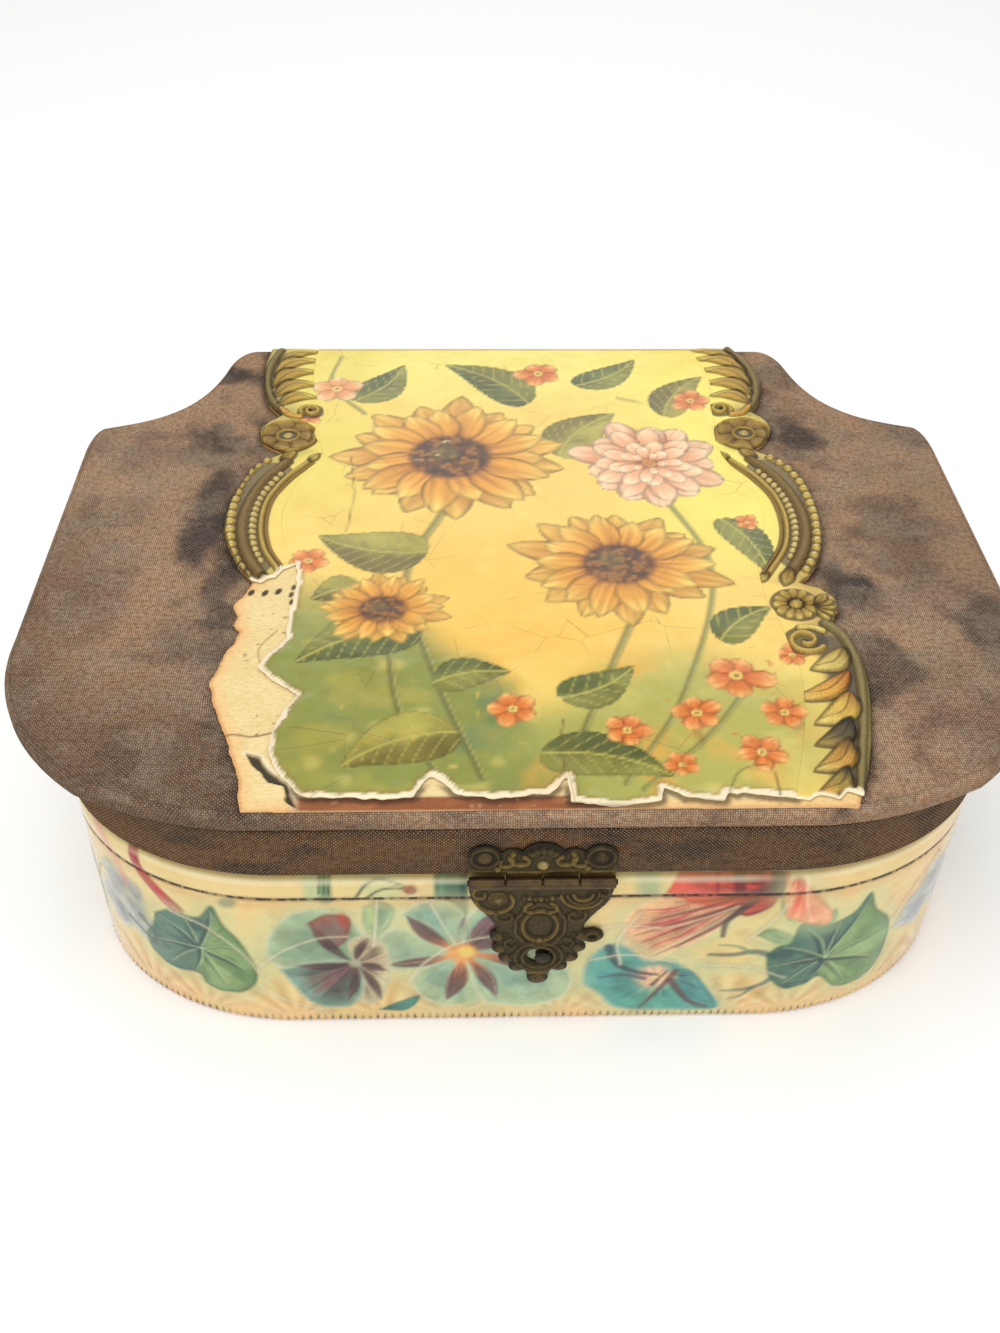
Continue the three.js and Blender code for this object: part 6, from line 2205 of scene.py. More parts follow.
@dataclass
class ScrollOrnament:
    """The pressed border of one side, 1 on the right and -1 on the left."""

    canvas: Canvas
    side: int

    SHIFT_AT = (-110.0, -25.0, 0.0, 25.0, 45.0, 58.0, 66.0, 90.0, 109.0)
    SHIFT_BY = (4.0, 4.0, 4.2, 3.9, 3.6, 2.4, 3.8, 1.5, -1.5)

    def spot_at(self, point) -> np.ndarray:
        """Bring a point of the right border to this side.

        Args:
            point: X and Y on the right border.

        Returns:
            The point, or its mirror image drawn in by the left border's smaller reach.
        """
        x, y = np.asarray(point, float)
        if self.side > 0:
            return np.array([x, y])
        return np.array([np.interp(y, self.SHIFT_AT, self.SHIFT_BY) - x, y - 1.0])

    def line(self, points) -> np.ndarray:
        """Bring a line of the right border to this side.

        Args:
            points: Its points.

        Returns:
            The moved points.
        """
        return np.array([self.spot_at(point) for point in points])

    def offset(self, points, by: float) -> np.ndarray:
        """Give a line that runs beside another.

        Args:
            points: The first line's points on the right border.
            by: How far outwards, to the right, it lies.

        Returns:
            The points of the second line, on this side.
        """
        path = through(points, 40)
        ahead = np.gradient(path, axis=0)
        ahead /= np.hypot(*ahead.T)[:, None]
        beside = path + by * np.stack([-ahead[:, 1], ahead[:, 0]], 1) * np.sign(-ahead[:, 1:2] + 1e-9)
        return self.line(beside)

    def rail(self, points: np.ndarray, width: float, tone: Colour, lift: float, gilt: float,
             taper: float = 0.0) -> None:
        """Draw a raised line with a dark line on each side and a painted highlight along its crest.

        Args:
            points: Its points, on this side.
            width: Its width.
            tone: Its display colour.
            lift: Its height.
            gilt: Share of gilt.
            taper: How much of the width is lost towards the end.
        """
        self.canvas.stroke(points, width + 0.9, INK, 0.8, taper=taper)
        self.canvas.stroke(points, width, tone, 1.0, lift, gilt, taper)
        # painted highlight: a lighter strip along the crest
        light = np.clip(np.add(tone, (34, 30, 22)), 0, 255)
        self.canvas.stroke(points, width * 0.34, tuple(light), 0.6, 0.0, gilt, taper, soft=0.5)

    def pearls(self, points: np.ndarray, count: int, radius: float, tone: Colour, lift: float) -> None:
        """Set evenly spaced domes along a line, each with a painted highlight.

        Args:
            points: The line's points, on this side.
            count: Number of domes.
            radius: Radius of a dome.
            tone: Their display colour.
            lift: Their height.
        """
        path = through(points, 200)
        arc = np.concatenate([[0.0], np.cumsum(np.hypot(*np.diff(path, axis=0).T))])
        where = np.linspace(0, arc[-1], count)
        for k in range(count):
            at = [float(np.interp(where[k], arc, path[:, axis])) for axis in (0, 1)]
            size = radius * (0.72 + 0.28 * math.sin(math.pi * (k + 0.5) / count))
            self.canvas.spot(at, size + 0.5, INK, 0.8)
            self.canvas.spot(at, size, tone, 1.0, lift, 0.9)
            # painted highlight: a pale spot off the middle of each dome
            self.canvas.spot((at[0] - 0.2, at[1] + 0.3), size * 0.4, (250, 236, 176), 0.8, 0.0, 0.6)

    def lobe(self, root, tip, width: float, tones=(DULL_BROWN, OLD_GOLD, ORANGE_GOLD), bow: float = 0.0,
             lift: float = 0.9,
             seed: int = 1, full: float = 0.45) -> None:
        """Draw a raised acanthus lobe with a dark outline and two veins.

        Args:
            root: Where it grows from, on the right border.
            tip: Where it ends.
            width: Its greatest width.
            tones: Display colours at root, middle and tip.
            bow: How far it bows to the left.
            lift: Its height.
            seed: Which noise it takes.
            full: Where along it is widest.
        """
        a, b = self.spot_at(root), self.spot_at(tip)
        bow = bow * self.side
        dark = (INK, INK, INK)
        stretch = (b - a) / max(float(np.hypot(*(b - a))), 1e-6) * 0.8
        self.canvas.blade(a - stretch, b + stretch, width + 1.1, dark, bow=bow, full=full, edge=0, streak=0,
                          cover=0.8, seed=seed)
        self.canvas.blade(a, b, width, tones, bow=bow, full=full, edge=0.5, streak=0.5, lift=lift,
                          gilt=0.85, seed=seed)
        middle = (a + b) / 2 + np.array([-(b - a)[1], (b - a)[0]]) * bow
        self.canvas.stroke([a, middle, a * 0.12 + b * 0.88], 0.55, INK, 0.7, taper=0.6)

    def acanthus(self) -> None:
        """Draw the flame-like leaf at the back."""
        self.rail(self.line([(77.6, 108.6), (80.8, 101), (83, 93), (83.4, 84), (81.8, 75), (78.6, 68)]),
                  2.6, (134, 116, 64), 1.0, 0.55)
        for k, (root, tip, width, bow) in enumerate((
            ((79.4, 96), (63.5, 108.2), 5.0, -0.2), ((81.2, 90), (63.0, 101.6), 5.8, -0.24),
            ((81.6, 83), (64.6, 94.0), 6.6, -0.24),
            ((81.0, 77), (65.6, 85.2), 6.8, -0.24), ((79.6, 71.5), (66.8, 76.6), 6.2, -0.24),
        )):
            self.lobe(root, tip, width, (OLD_GOLD, (216, 178, 88), (240, 212, 110)), bow=bow, seed=k + 3)
        self.volute((69.2, 68.0), 3.6, 1)
        self.rail(self.line([(78.4, 69), (76, 65.6), (72.4, 64.6)]), 2.0, ORANGE_GOLD, 0.8, 0.9)

    def volute(self, centre, radius: float, turn: int) -> None:
        """Draw a small spiral with a dark middle and a painted highlight along its crest.

        The radius falls evenly over one and a quarter turns.

        Args:
            centre: Its middle, on the right border.
            radius: Its outer radius.
            turn: 1 or -1, which way it winds.
        """
        angle = np.linspace(0, 2.5 * math.pi, 26)
        size = radius * (1 - 0.72 * angle / angle[-1])
        points = np.stack([centre[0] + size * np.cos(turn * angle - 0.6),
                           centre[1] + size * np.sin(turn * angle - 0.6)], 1)
        self.canvas.spot(self.spot_at(centre), radius + 0.9, INK, 0.85)
        self.canvas.stroke(self.line(points), 2.0, OLD_GOLD, 1.0, 0.95, 0.9, 0.3)
        # painted highlight: a thin pale line along the spiral's crest
        self.canvas.stroke(self.line(points), 0.7, PALE_GOLD, 0.8, 0.0, 0.9, 0.3)
        self.canvas.spot(self.spot_at(centre), 0.9, (40, 32, 22), 0.9)

    def rosette(self, centre=(74.5, 52.6), radius: float = 8.9) -> None:
        """Draw the lobed rosette with its ring and pearl.

        Args:
            centre: Its middle, on the right border.
            radius: Its reach.
        """
        c, at = self.canvas, self.spot_at(centre)
        c.spot(at, radius + 1.0, INK, 0.9)
        c.petals(at, 7, 2.6, radius - 0.4, 7.2, ((112, 88, 46), (160, 126, 64), (188, 154, 80)), seed=3,
                 wobble=0.06,
                 full=0.7, blunt=0.4, edge=0.5, lift=0.65, gilt=0.5, streak=0.4)
        turn = np.linspace(0, math.tau, 73)
        lobed = radius - 0.8 + 0.8 * np.abs(np.sin(3.5 * turn))
        c.stroke(np.stack([at[0] + lobed * np.cos(turn), at[1] + lobed * np.sin(turn)], 1), 1.1, OLD_GOLD,
                 0.95, 1.0, 0.9,
                 smoothly=False)
        c.spot(at, 4.0, (60, 47, 28), 0.9, 0.45)
        ring = np.stack([at[0] + 3.4 * np.cos(turn), at[1] + 3.4 * np.sin(turn)], 1)
        c.stroke(ring, 1.1, OLD_GOLD, 0.95, 0.9, 0.9, smoothly=False)
        c.spot(at, 2.5, (44, 34, 22), 0.95)
        c.spot(at, 1.6, (206, 182, 110), 1.0, 1.05, 0.9)

    def scroll(self) -> None:
        """Draw the long C scroll: a double rim, a channel of pearls, a smooth roll and outer beads."""
        spine = [(67.5, 38.1), (73.3, 29.5), (77.6, 20.0), (79.2, 12.0), (79.2, 2.5), (77.6, -6.0),
                 (75.1, -12.2), (69.5, -21.8)]
        c = self.canvas
        c.stroke(self.offset(spine[1:-1], 5.0), 11.6, (96, 76, 42), 0.85)
        self.rail(self.offset(spine, -1.5), 0.7, (168, 130, 62), 0.5, 0.7)
        self.rail(self.line(spine), 1.5, (204, 174, 92), 0.85, 0.9)
        self.pearls(self.offset(spine[1:-1], 2.7), 17, 1.55, (222, 196, 122), 0.85)
        self.rail(self.offset(spine[1:-1], 4.8), 0.8, (160, 130, 70), 0.6, 0.8)
        roll = [(74.2, 37.6), (80.2, 27.5), (83.6, 16.5), (84.7, 6.0), (83.6, -4.0), (80.4, -13.4),
                (75.6, -21.6)]
        self.rail(self.line(roll), 3.4, GREY_GOLD, 1.15, 0.75)
        outer = [(80.6, 38.4), (84.7, 33.2), (87.2, 26.2), (88.2, 19.3), (88.6, 11.0), (88.2, 2.4),
                 (86.8, -5.6), (84.6, -12.4), (80.9, -19.4)]
        self.pearls(self.line(outer), 17, 1.75, (214, 184, 98), 0.95)
        for end, beyond in (((67.5, 38.1), (64.6, 42.6)), ((69.5, -21.8), (65.4, -25.0))):
            self.lobe(end, beyond, 2.6, (OLD_GOLD, PALE_GOLD, ORANGE_GOLD), lift=0.7)
        self.lobe((76, 38), (72, 43.8), 4.0, (GREY_GOLD, OLD_GOLD, PALE_GOLD), lift=0.8)
        self.lobe((76, -20), (73.4, -26.6), 4.0, (GREY_GOLD, OLD_GOLD, PALE_GOLD), lift=0.8)

    def daisy(self) -> None:
        """Draw the daisy and the half shell beside it."""
        c, at = self.canvas, self.spot_at((74.9, -35.3))
        c.spot(at, 7.2, INK, 0.85)
        c.petals(at, 12, 1.6, 6.4, 3.2, (DULL_BROWN, OLD_GOLD, PALE_GOLD), seed=6, wobble=0.02, full=0.66,
                 blunt=0.5,
                 edge=0.5, lift=0.8, gilt=0.85, streak=0.3)
        c.spot(at, 2.6, INK, 0.85)
        c.spot(at, 2.0, (206, 176, 96), 1.0, 1.0, 0.9, squeeze=0.8, turn=60)
        for k, turn in enumerate((-62, -34, -8, 18, 46)):
            end = (80.4 + 5.2 * math.cos(math.radians(turn)), -36.0 + 6.8 * math.sin(math.radians(turn)))
            self.lobe((79.8, -36.0), end, 2.9, (DULL_BROWN, OLD_GOLD, PALE_GOLD), lift=0.75, seed=k,
                      full=0.6)

    def volutes(self) -> None:
        """Draw the front leaf: a roll down its outer side, a curl, and lobes that point inwards."""
        roll = [(81.2, -43.6), (84.6, -48.4), (86.0, -56.0), (86.0, -64.0), (84.6, -74.0), (82.2, -85.0),
                (79.6, -95.0), (76.2, -108.6)]
        shadow = [(80.6, -52), (81.4, -66), (78.6, -86), (74.4, -106)]
        self.canvas.stroke(self.line(shadow), 8.5, (62, 56, 48), 0.85, soft=1.5)
        self.rail(self.line(roll), 2.9, (140, 124, 78), 1.1, 0.7, 0.25)
        self.canvas.stroke(self.line(np.add(roll, (1.9, 0))), 0.9, (196, 184, 96), 0.8, 0.5, 0.8)
        self.volute((74.6, -50.6), 5.0, -1)
        self.rail(self.line([(80.0, -46.6), (77.4, -45.0), (74.0, -45.2)]), 1.8, PALE_GOLD, 0.8, 0.9)
        for k, (root, tip, width, tones) in enumerate((
            ((84.0, -54.0), (74.0, -62.0), 7.0, (OLD_GOLD, PALE_GOLD, (246, 222, 128))),
            ((83.6, -62.5), (66.4, -72.6), 6.0, ((196, 116, 60), (238, 180, 84), (244, 206, 112))),
            ((82.2, -71.0), (71.0, -82.4), 7.4, ((206, 150, 72), (244, 204, 98), (250, 224, 130))),
            ((80.0, -81.0), (69.6, -89.8), 6.2, ((60, 58, 56), (112, 100, 70), (186, 158, 88))),
            ((78.2, -88.5), (67.6, -98.6), 6.6, ((132, 96, 54), ORANGE_GOLD, PALE_GOLD)),
            ((75.6, -98.0), (67.0, -106.0), 5.4, ((86, 78, 58), (182, 156, 80), ORANGE_GOLD)),
        )):
            self.lobe(root, tip, width, tones, bow=0.16, seed=k + 11)

    def draw(self) -> None:
        """Draw the ornament of this side on a browned, mottled ground that fades towards the print, with
        painted shade along the outer edge.
        """
        c = self.canvas
        edge = RIGHT_EDGE if self.side > 0 else LEFT_EDGE
        order = np.argsort(edge[:, 1])
        reach = self.side * (np.interp(c.y, edge[order, 1], edge[order, 0]) - c.x)
        c.wash(0.5 * smooth(12.5, 3.0, np.abs(reach)), (166, 130, 62))
        c.wash(0.5 * smooth(0.1, 0.8, cloud(c.x, c.y, 5.0, 3, 31)) * smooth(11, 4, np.abs(reach)),
               (84, 66, 36))
        if self.side < 0:
            c.wash(0.25 * smooth(13, 8, np.abs(reach)), (170, 172, 80))
        self.acanthus()
        if self.side > 0:
            self.volutes()
            self.daisy()
        self.scroll()
        self.rosette()
        # painted shade along the border's outer edge, where it drops to the cloth
        c.wash(0.6 * smooth(0.9, 0.2, np.abs(reach)), (62, 48, 28))


@dataclass
class LidTop:
    """The lid: covered board, covered apron, card, print and pressed borders."""

    plan: Plan
    body: Plan
    top: float = 81.4
    edge_round: float = 1.8
    card_top: float = 81.6
    print_top: float = 82.5
    border_top: float = 82.7

    def cloth_tone(self, canvas: Canvas) -> None:
        """Paint faded, worn and stained cloth, with a painted shadow along the panel's edge.

        Args:
            canvas: Places on the lid, X and Y.
        """
        c = canvas
        c.patches(0.6, (-0.1, 0.8), 40, 4, 41, (255, 214, 172))
        c.patches(0.6, (0.05, 0.7), 26, 4, 42, (160, 142, 128), (30, 0))
        c.patches(0.4, (0.1, 0.7), 14, 3, 43, (240, 182, 150), (0, 60))
        c.patches(0.4, (0.2, 0.8), 18, 3, 44, (160, 152, 124), (90, 10))
        c.patches(0.4, (0.1, 0.7), 9, 4, 57, (112, 98, 88), (20, 90))
        c.wash(0.75 * smooth(-40, -100, c.y) * smooth(-20, -70, c.x), (112, 90, 72))
        c.wash(0.55 * smooth(-108, -132, c.x) * smooth(30, -20, c.y), (118, 94, 76))
        c.wash(0.25 * smooth(100, 135, c.x) * smooth(70, -20, c.y), (134, 118, 102))
        edge = within(c.x, c.y, panel_outline())
        c.wash(0.75 * smooth(-8.0, -0.5, edge) * smooth(-0.2, 0.6, cloud(c.x, c.y, 9, 4, 45)), (66, 58, 56))
        # painted shadow cast by the raised panel onto the cloth beside it
        c.wash(0.5 * smooth(-2.4, -0.3, edge), (70, 54, 42))
        for x, y, width, height, share, seed in (
            (-92, 6, 8, 34, 0.9, 46), (-96, 92, 17, 8, 0.95, 47), (92, 54, 9, 14, 0.9, 48),
            (93, -26, 9, 12, 0.95, 49),
            (112, -4, 14, 26, 0.5, 50), (94, -60, 9, 16, 0.7, 51), (-118, -30, 10, 20, 0.35, 52),
            (126, -40, 8, 16, 0.6, 53),
            (-92, 50, 10, 12, 0.85, 54), (112, -84, 12, 14, 0.4, 55), (-84, -30, 7, 26, 0.75, 58),
            (94, 92, 10, 8, 0.5, 59),
        ):
            far = np.hypot((c.x - x) / width, (c.y - y) / height)
            c.wash(share * smooth(1.2, 0.45, far + 0.55 * cloud(c.x, c.y, 8, 4, seed)), (62, 62, 70))
        c.patches(0.4, (0.55, 0.8), 3.0, 3, 56, (214, 190, 164))

    def cloth(self) -> None:
        """Cover the lid board with a ring of cloth, from under the card round the edge to the overhang.

        Between the lid's outline and a smaller copy of it under the card the surface is flat, but
        for a step down into the window that the card lies in. The edge is a quarter circle, and
        the turned part goes from there to the nearest place on the apron.
        """
        plan = self.plan
        arc = np.linspace(0, plan.length, 1001)[:-1]
        outer, edge_in = plan.at(arc, 0.0), plan.at(arc, self.edge_round)
        inner = outer * (0.52, 0.88)
        share = np.linspace(0, 1, 64)[:, None, None]
        flat = inner * (1 - share) + edge_in * share
        level = self.top - 0.95 * smooth(-0.55, 0.0, within(flat[..., 0], flat[..., 1], panel_outline()))
        level = level + 0.06 * cloud(flat[..., 0], flat[..., 1], 22, 3, 61)
        turn = np.radians(np.arange(15, 91, 15))
        rounded = [(self.edge_round * (1 - math.sin(a)), self.top - self.edge_round * (1 - math.cos(a)),
                    self.edge_round * a) for a in turn]
        down = [(0.0, z, self.edge_round * math.pi / 2 + 79.6 - z) for z in (79.0, 78.2, 77.4, 76.7)]
        low = [(0.15, 76.25, 6.4), (0.5, 75.95, 6.9)]
        gaps = outer[:, None] - self.body.loop[None]
        facing = self.body.loop[np.hypot(*gaps.transpose(2, 0, 1)).argmin(1)]
        over = np.hypot(*(outer - facing).T)[:, None]
        start = plan.at(arc, 0.5)
        end = outer + (facing - outer) / over * np.maximum(over - 0.9, 0.6)
        rows, heights, places = [flat], [level], [flat]
        for inset, z, gone in rounded + down + low:
            rows.append(plan.at(arc, inset)[None])
            heights.append(np.full((1, len(arc)), z))
            places.append(edge_in[None] + (outer - edge_in)[None] * (1 + (gone - 0.4) / self.edge_round))
        for part in (0.3, 0.65, 1.0):
            under = start + (end - start) * part
            gone = 6.4 + np.hypot(*(under - outer).T)[:, None]
            rows.append(under[None])
            heights.append(np.full((1, len(arc)), 75.85))
            places.append((edge_in + (outer - edge_in) * (1 + gone / self.edge_round))[None])
        flat, level, place = np.concatenate(rows), np.concatenate(heights), np.concatenate(places)
        points = np.concatenate([flat, level[..., None]], -1)
        count = len(flat)
        faces = grid_faces(count, len(arc), wrap_columns=True)[:, ::-1]
        thing = write_mesh("lid_cloth_woven", points.reshape(-1, 3), [faces])
        place = place.reshape(-1, 2)
        give_uv(thing, place[faces.ravel()])
        canvas = Canvas(place[:, 0], place[:, 1], (248, 198, 152))
        self.cloth_tone(canvas)
        # painted shade: darker down the rounded edge and under the overhang
        canvas.wash(0.3 * smooth(81.0, 78.0, level.ravel()), (110, 88, 70))
        patchy = smooth(-0.1, 0.5, cloud(place[:, 0], place[:, 1], 7, 3, 63))
        # paler in patches over the top, fading down the rounded edge
        paler_top = smooth(1.6, 0.4, np.abs(level.ravel() - 80.9)) * patchy
        canvas.wash(0.35 * paler_top, (222, 200, 172))
        give_colour(thing, "paint", canvas.colour)
        settle(thing, Body.LID, "lid_cloth", LID_CLOTH, "lid_cloth")

    def apron(self) -> None:
        """Cover the apron's wood with a band of finer cloth, turned under at its foot, with a painted
        shadow under the lid's overhang.
        """
        plan = self.body
        arc = np.linspace(0, plan.length, 901)[:-1]
        section = [(0.3, 75.95), (-0.1, 75.8), (-0.35, 75.4)]
        section += [(-0.4, z) for z in np.arange(74.6, 61.8, -0.8)]
        section += [(-0.4, 61.3), (-0.25, 60.9), (0.1, 60.68), (0.8, 60.62), (2.4, 60.62), (4.0, 60.66)]
        rows = np.array([plan.at(arc, inset) for inset, _ in section])
        z = np.repeat(np.array([height for _, height in section])[:, None], len(arc), 1)
        points = np.concatenate([rows, z[..., None]], -1)
        faces = grid_faces(len(section), len(arc), wrap_columns=True)[:, ::-1]
        thing = write_mesh("apron_cloth_woven", points.reshape(-1, 3), [faces])
        run = np.concatenate([[0.0], np.cumsum(np.hypot(*np.diff(np.array(section), axis=0).T))])
        u = np.repeat(arc[None], len(section), 0)
        v = np.repeat(run[:, None], len(arc), 1)
        flipped = corner_places(faces[:, ::-1], len(arc), u, v, arc[1])[:, ::-1]
        give_uv(thing, flipped)
        around = np.where(u > plan.length / 2, u - plan.length, u)
        c = Canvas(around, z, (146, 104, 58))
        c.wash(0.6 * smooth(-0.2, 0.7, cloud(c.x, c.y * 2, 30, 4, 71)), (106, 78, 52))
        c.wash(0.45 * smooth(0.1, 0.8, cloud(c.x, c.y * 2, 12, 3, 72)), (150, 112, 78))
        c.wash(0.75 * smooth(0.15, 0.7, cloud(c.x + 40, c.y * 2, 14, 4, 73)), (58, 52, 50))
        # painted shadow under the lid's overhang, darker towards the apron's top
        c.wash(0.5 * smooth(72.5, 76.0, c.y), (70, 54, 40))
        c.wash(0.45 * smooth(63.0, 61.0, c.y), (80, 62, 46))
        give_colour(thing, "paint", c.colour)
        settle(thing, Body.LID, "apron_cloth", APRON_CLOTH, "apron_cloth")

    def card(self) -> None:
        """Build the card, bare where the print is torn, with its split, slots and browned edges, painted
        shade in the split and the print's painted shadow along its torn front edge.

        Under the print and the borders it reaches 3 mm in, and the middle is left out.
        """
        outline = np.vstack([RIGHT_EDGE - (0.35, 0), ragged(CARD_LEFT, 0.8, 0.9, 8)[::-1],
                             LEFT_EDGE[::-1] + (0.35, 0)])
        outline[:, 1] = np.clip(outline[:, 1], -109.3, 109.3)
        covered = np.vstack([RIGHT_EDGE[:-1], TORN_ENDS[1], TORN[::-1], TORN_ENDS[-1][::-1],
                             LEFT_EDGE[::-1]])
        split = np.vstack([ragged(SPLIT[:5], 0.5, 0.5, 11), ragged(SPLIT[4:], 0.5, 0.5, 12)])

        def inside(x: np.ndarray, y: np.ndarray) -> np.ndarray:
            return np.minimum(within(x, y, outline), 3.0 - within(x, y, covered))

        def top(x: np.ndarray, y: np.ndarray) -> np.ndarray:
            depth = within(x, y, split)
            cut = smooth(-0.25, 0.25, depth)
            fold = 0.35 * smooth(4.0, 0.0, away(x, y, SPLIT[:5])[0]) * smooth(0.8, -0.5, depth)
            rounded = 0.3 * smooth(0.9, 0.0, within(x, y, outline))
            free = smooth(-2.0, 2.0, -within(x, y, covered))
            return self.card_top + free * (fold + 0.12 * cloud(x, y, 9, 3, 81)) - 0.9 * cut - rounded

        plate = FieldPlate("card_bare", (-87, -110), (91, 110), 0.42, inside, top, 80.62)
        thing = plate.build()
        c = plate.canvas((250, 226, 164))
        c.patches(0.4, (0.0, 0.8), 12, 4, 82, (240, 206, 140))
        c.wash(0.5 * smooth(5.0, 0.4, within(c.x, c.y, outline)), (255, 196, 124))
        c.wash(0.6 * smooth(1.2, 0.2, within(c.x, c.y, outline)), (214, 148, 84))
        depth = within(c.x, c.y, split)
        # painted shade: the inside of the split dark
        c.wash(0.95 * smooth(-0.3, 0.2, depth), (34, 26, 20))
        c.wash(0.8 * smooth(1.4, 0.3, away(c.x, c.y, SPLIT[:5])[0]) * smooth(-0.1, -0.5, depth),
               (255, 248, 224))
        for at in ((-74.6, -27.4), (-70.8, -27.6), (-67.2, -27.0)):
            c.spot(at, 1.5, (44, 32, 24), 0.95, squeeze=0.55, turn=70)
        for k, y in enumerate((-25.2, -28.4, -31.6)):
            c.spot((-63.2 - 0.4 * (k % 2), y), 1.3, (50, 38, 28), 0.9, squeeze=0.5, turn=80)
        c.flecks((-76, -66), (-60, -30), 1.6, 0.24, (92, 62, 38), 0.8, 84)
        c.flecks((-76, -106), (-58, -66), 1.4, 0.16, (120, 84, 50), 0.7, 85)
        c.stroke([(-63, -83), (-68, -84.4), (-73, -83.6), (-79, -84.8)], 0.6, (120, 82, 48), 0.85)
        c.stroke([(-66, -44), (-70, -52), (-67, -62)], 0.5, (150, 106, 64), 0.6)
        torn_end = smooth(19, 12, c.x + 3 * cloud(c.x, c.y, 3, 3, 87))
        strip = smooth(-104.6, -105.4, c.y) * smooth(-57, -54, c.x) * torn_end
        c.wash(0.97 * strip, (150, 82, 42))
        c.wash(0.5 * strip * smooth(0.1, 0.7, cloud(0.3 * c.x, c.y, 3, 3, 86)), (186, 116, 68))
        # painted shadow that the print's torn front edge casts onto the card
        below = away(c.x, c.y, TORN)[0]
        under = smooth(1.0, -0.5, within(c.x, c.y, covered)) * smooth(-100, -103, c.y)
        c.wash(0.75 * smooth(2.2, 0.4, below) * under, (58, 36, 22))
        c.wash(0.7 * smooth(-108.8, -109.1, c.y), (226, 186, 132))
        c.flecks((20, -109), (78, -105), 1.6, 0.4, (150, 108, 66), 0.7, 88)
        c.flecks((-56, -109), (20, -105), 2.0, 0.3, (232, 196, 146), 0.4, 89)
        plate.paint(thing, c.colour)
        settle(thing, Body.LID, "card", CARD, "panel_card")

    def picture(self) -> None:
        """Build the print sheet with its torn edges, and paint the flower piece on it."""

        def inside(x: np.ndarray, y: np.ndarray) -> np.ndarray:
            return within(x, y, PRINT_OUTLINE)

        def top(x: np.ndarray, y: np.ndarray) -> np.ndarray:
            torn = away(x, y, TORN)[0]
            curl = 0.35 * smooth(7.0, 0.0, torn) * smooth(-0.2, 0.7, cloud(x, y, 11, 2, 91))
            return self.print_top + curl + 0.10 * cloud(x, y, 34, 2, 92) - 0.35 * smooth(1.3, 0.0, torn)

        plate = FieldPlate("print_painted", (-76, -110), (78, 110), 0.68, inside, top, PRINT_FOOT)
        thing = plate.build()
        c = plate.canvas(PRINT_GROUND)
        PanelPainting(c).draw()
        torn = away(c.x, c.y, TORN)[0]
        ragged_rim = 1.15 + 0.7 * cloud(c.x, c.y, 3.2, 3, 93)
        c.wash(0.55 * smooth(ragged_rim + 1.4, ragged_rim, torn), (150, 104, 50))
        c.wash(smooth(ragged_rim + 0.3, ragged_rim - 0.2, torn), TORN_PAPER)
        for line in ([(8, -99), (7.2, -90), (8.4, -80)], [(-50, 0), (-49, 20), (-51, 40)],
                     [(46, -105), (50, -98), (57, -97), (58, -106)]):
            c.stroke(line, 0.45, (112, 82, 44), 0.75)
        c.wash(0.6 * smooth(1.5, 0.0, np.abs(np.abs(c.y) - 109.3)), (120, 84, 40))
        plate.paint(thing, c.colour)
        settle(thing, Body.LID, "celluloid_print", PRINT, "print_sheet")

    def border(self, side: int) -> None:
        """Build one pressed border, whose relief is drawn with its colours.

        Args:
            side: 1 on the right, -1 on the left.
        """
        edge = RIGHT_EDGE if side > 0 else LEFT_EDGE
        outline = BORDER_OUTLINES[side]
        low, high = outline.min(0), outline.max(0)

        def inside(x: np.ndarray, y: np.ndarray) -> np.ndarray:
            return within(x, y, outline)

        def flat(x: np.ndarray, y: np.ndarray) -> np.ndarray:
            return np.full(np.shape(x), self.border_top)

        joint = inner_edge(edge, side)
        name = "right" if side > 0 else "left"
        plate = FieldPlate(f"border_{name}_pressed", tuple(low), tuple(high), 0.27, inside, flat,
                           PRINT_FOOT)
        thing = plate.build()
        canvas = plate.canvas(PRINT_GROUND)
        PanelPainting(canvas).draw()
        ScrollOrnament(canvas, side).draw()
        away_from_edge = away(canvas.x, canvas.y, edge)[0]
        lift = canvas.lift * smooth(0.0, 0.9, away_from_edge + 0.35)
        lift = lift + 0.12 * cloud(canvas.x, canvas.y, 3.0, 2, 95) * (canvas.lift > 0)
        lift = lift - 0.45 * smooth(0.9, 0.0, away_from_edge)
        level = self.print_top + 0.2 * smooth(1.0, 4.0, away(canvas.x, canvas.y, joint)[0])
        torn = away(canvas.x, canvas.y, TORN_ENDS[side])[0]
        torn_rim = 0.8 + 0.6 * cloud(canvas.x, canvas.y, 3.2, 3, 96)
        canvas.wash(smooth(torn_rim + 0.3, torn_rim - 0.2, torn), TORN_PAPER)
        level = level - 0.5 * smooth(1.6, 0.0, torn)
        plate.press(thing, level + np.maximum(lift, -0.5) * smooth(0.2, 1.6, torn))
        plate.paint(thing, canvas.colour, canvas.gilt * smooth(0.2, 1.6, torn))
        settle(thing, Body.LID, "gilt", GILT, f"gilt_border_{name}")

    def build(self) -> None:
        """Build every piece of the lid's outside."""
        self.cloth()
        self.apron()
        self.card()
        self.picture()
        self.border(1)
        self.border(-1)
        plain_finish(("lid_board", "lid_apron"), WOOD)


def outlines() -> tuple[np.ndarray, dict[int, np.ndarray]]:
    """Work out where the print and the two borders meet.

    Returns:
        The print's outline, and each border's by its side.
    """
    gap = np.array([0.02, 0.0])
    joints, borders = {}, {}
    for side, edge in ((1, RIGHT_EDGE), (-1, LEFT_EDGE)):
        end = TORN_ENDS[side]
        joint = inner_edge(edge, side)
        joints[side] = joint[joint[:, 1] > end[-1, 1]]
        borders[side] = np.vstack([edge[edge[:, 1] > end[0, 1]], end, (joints[side] + side * gap)[::-1]])
    sheet = np.vstack([joints[1] - gap, TORN[::-1], (joints[-1] + gap)[::-1]])
    return sheet, borders


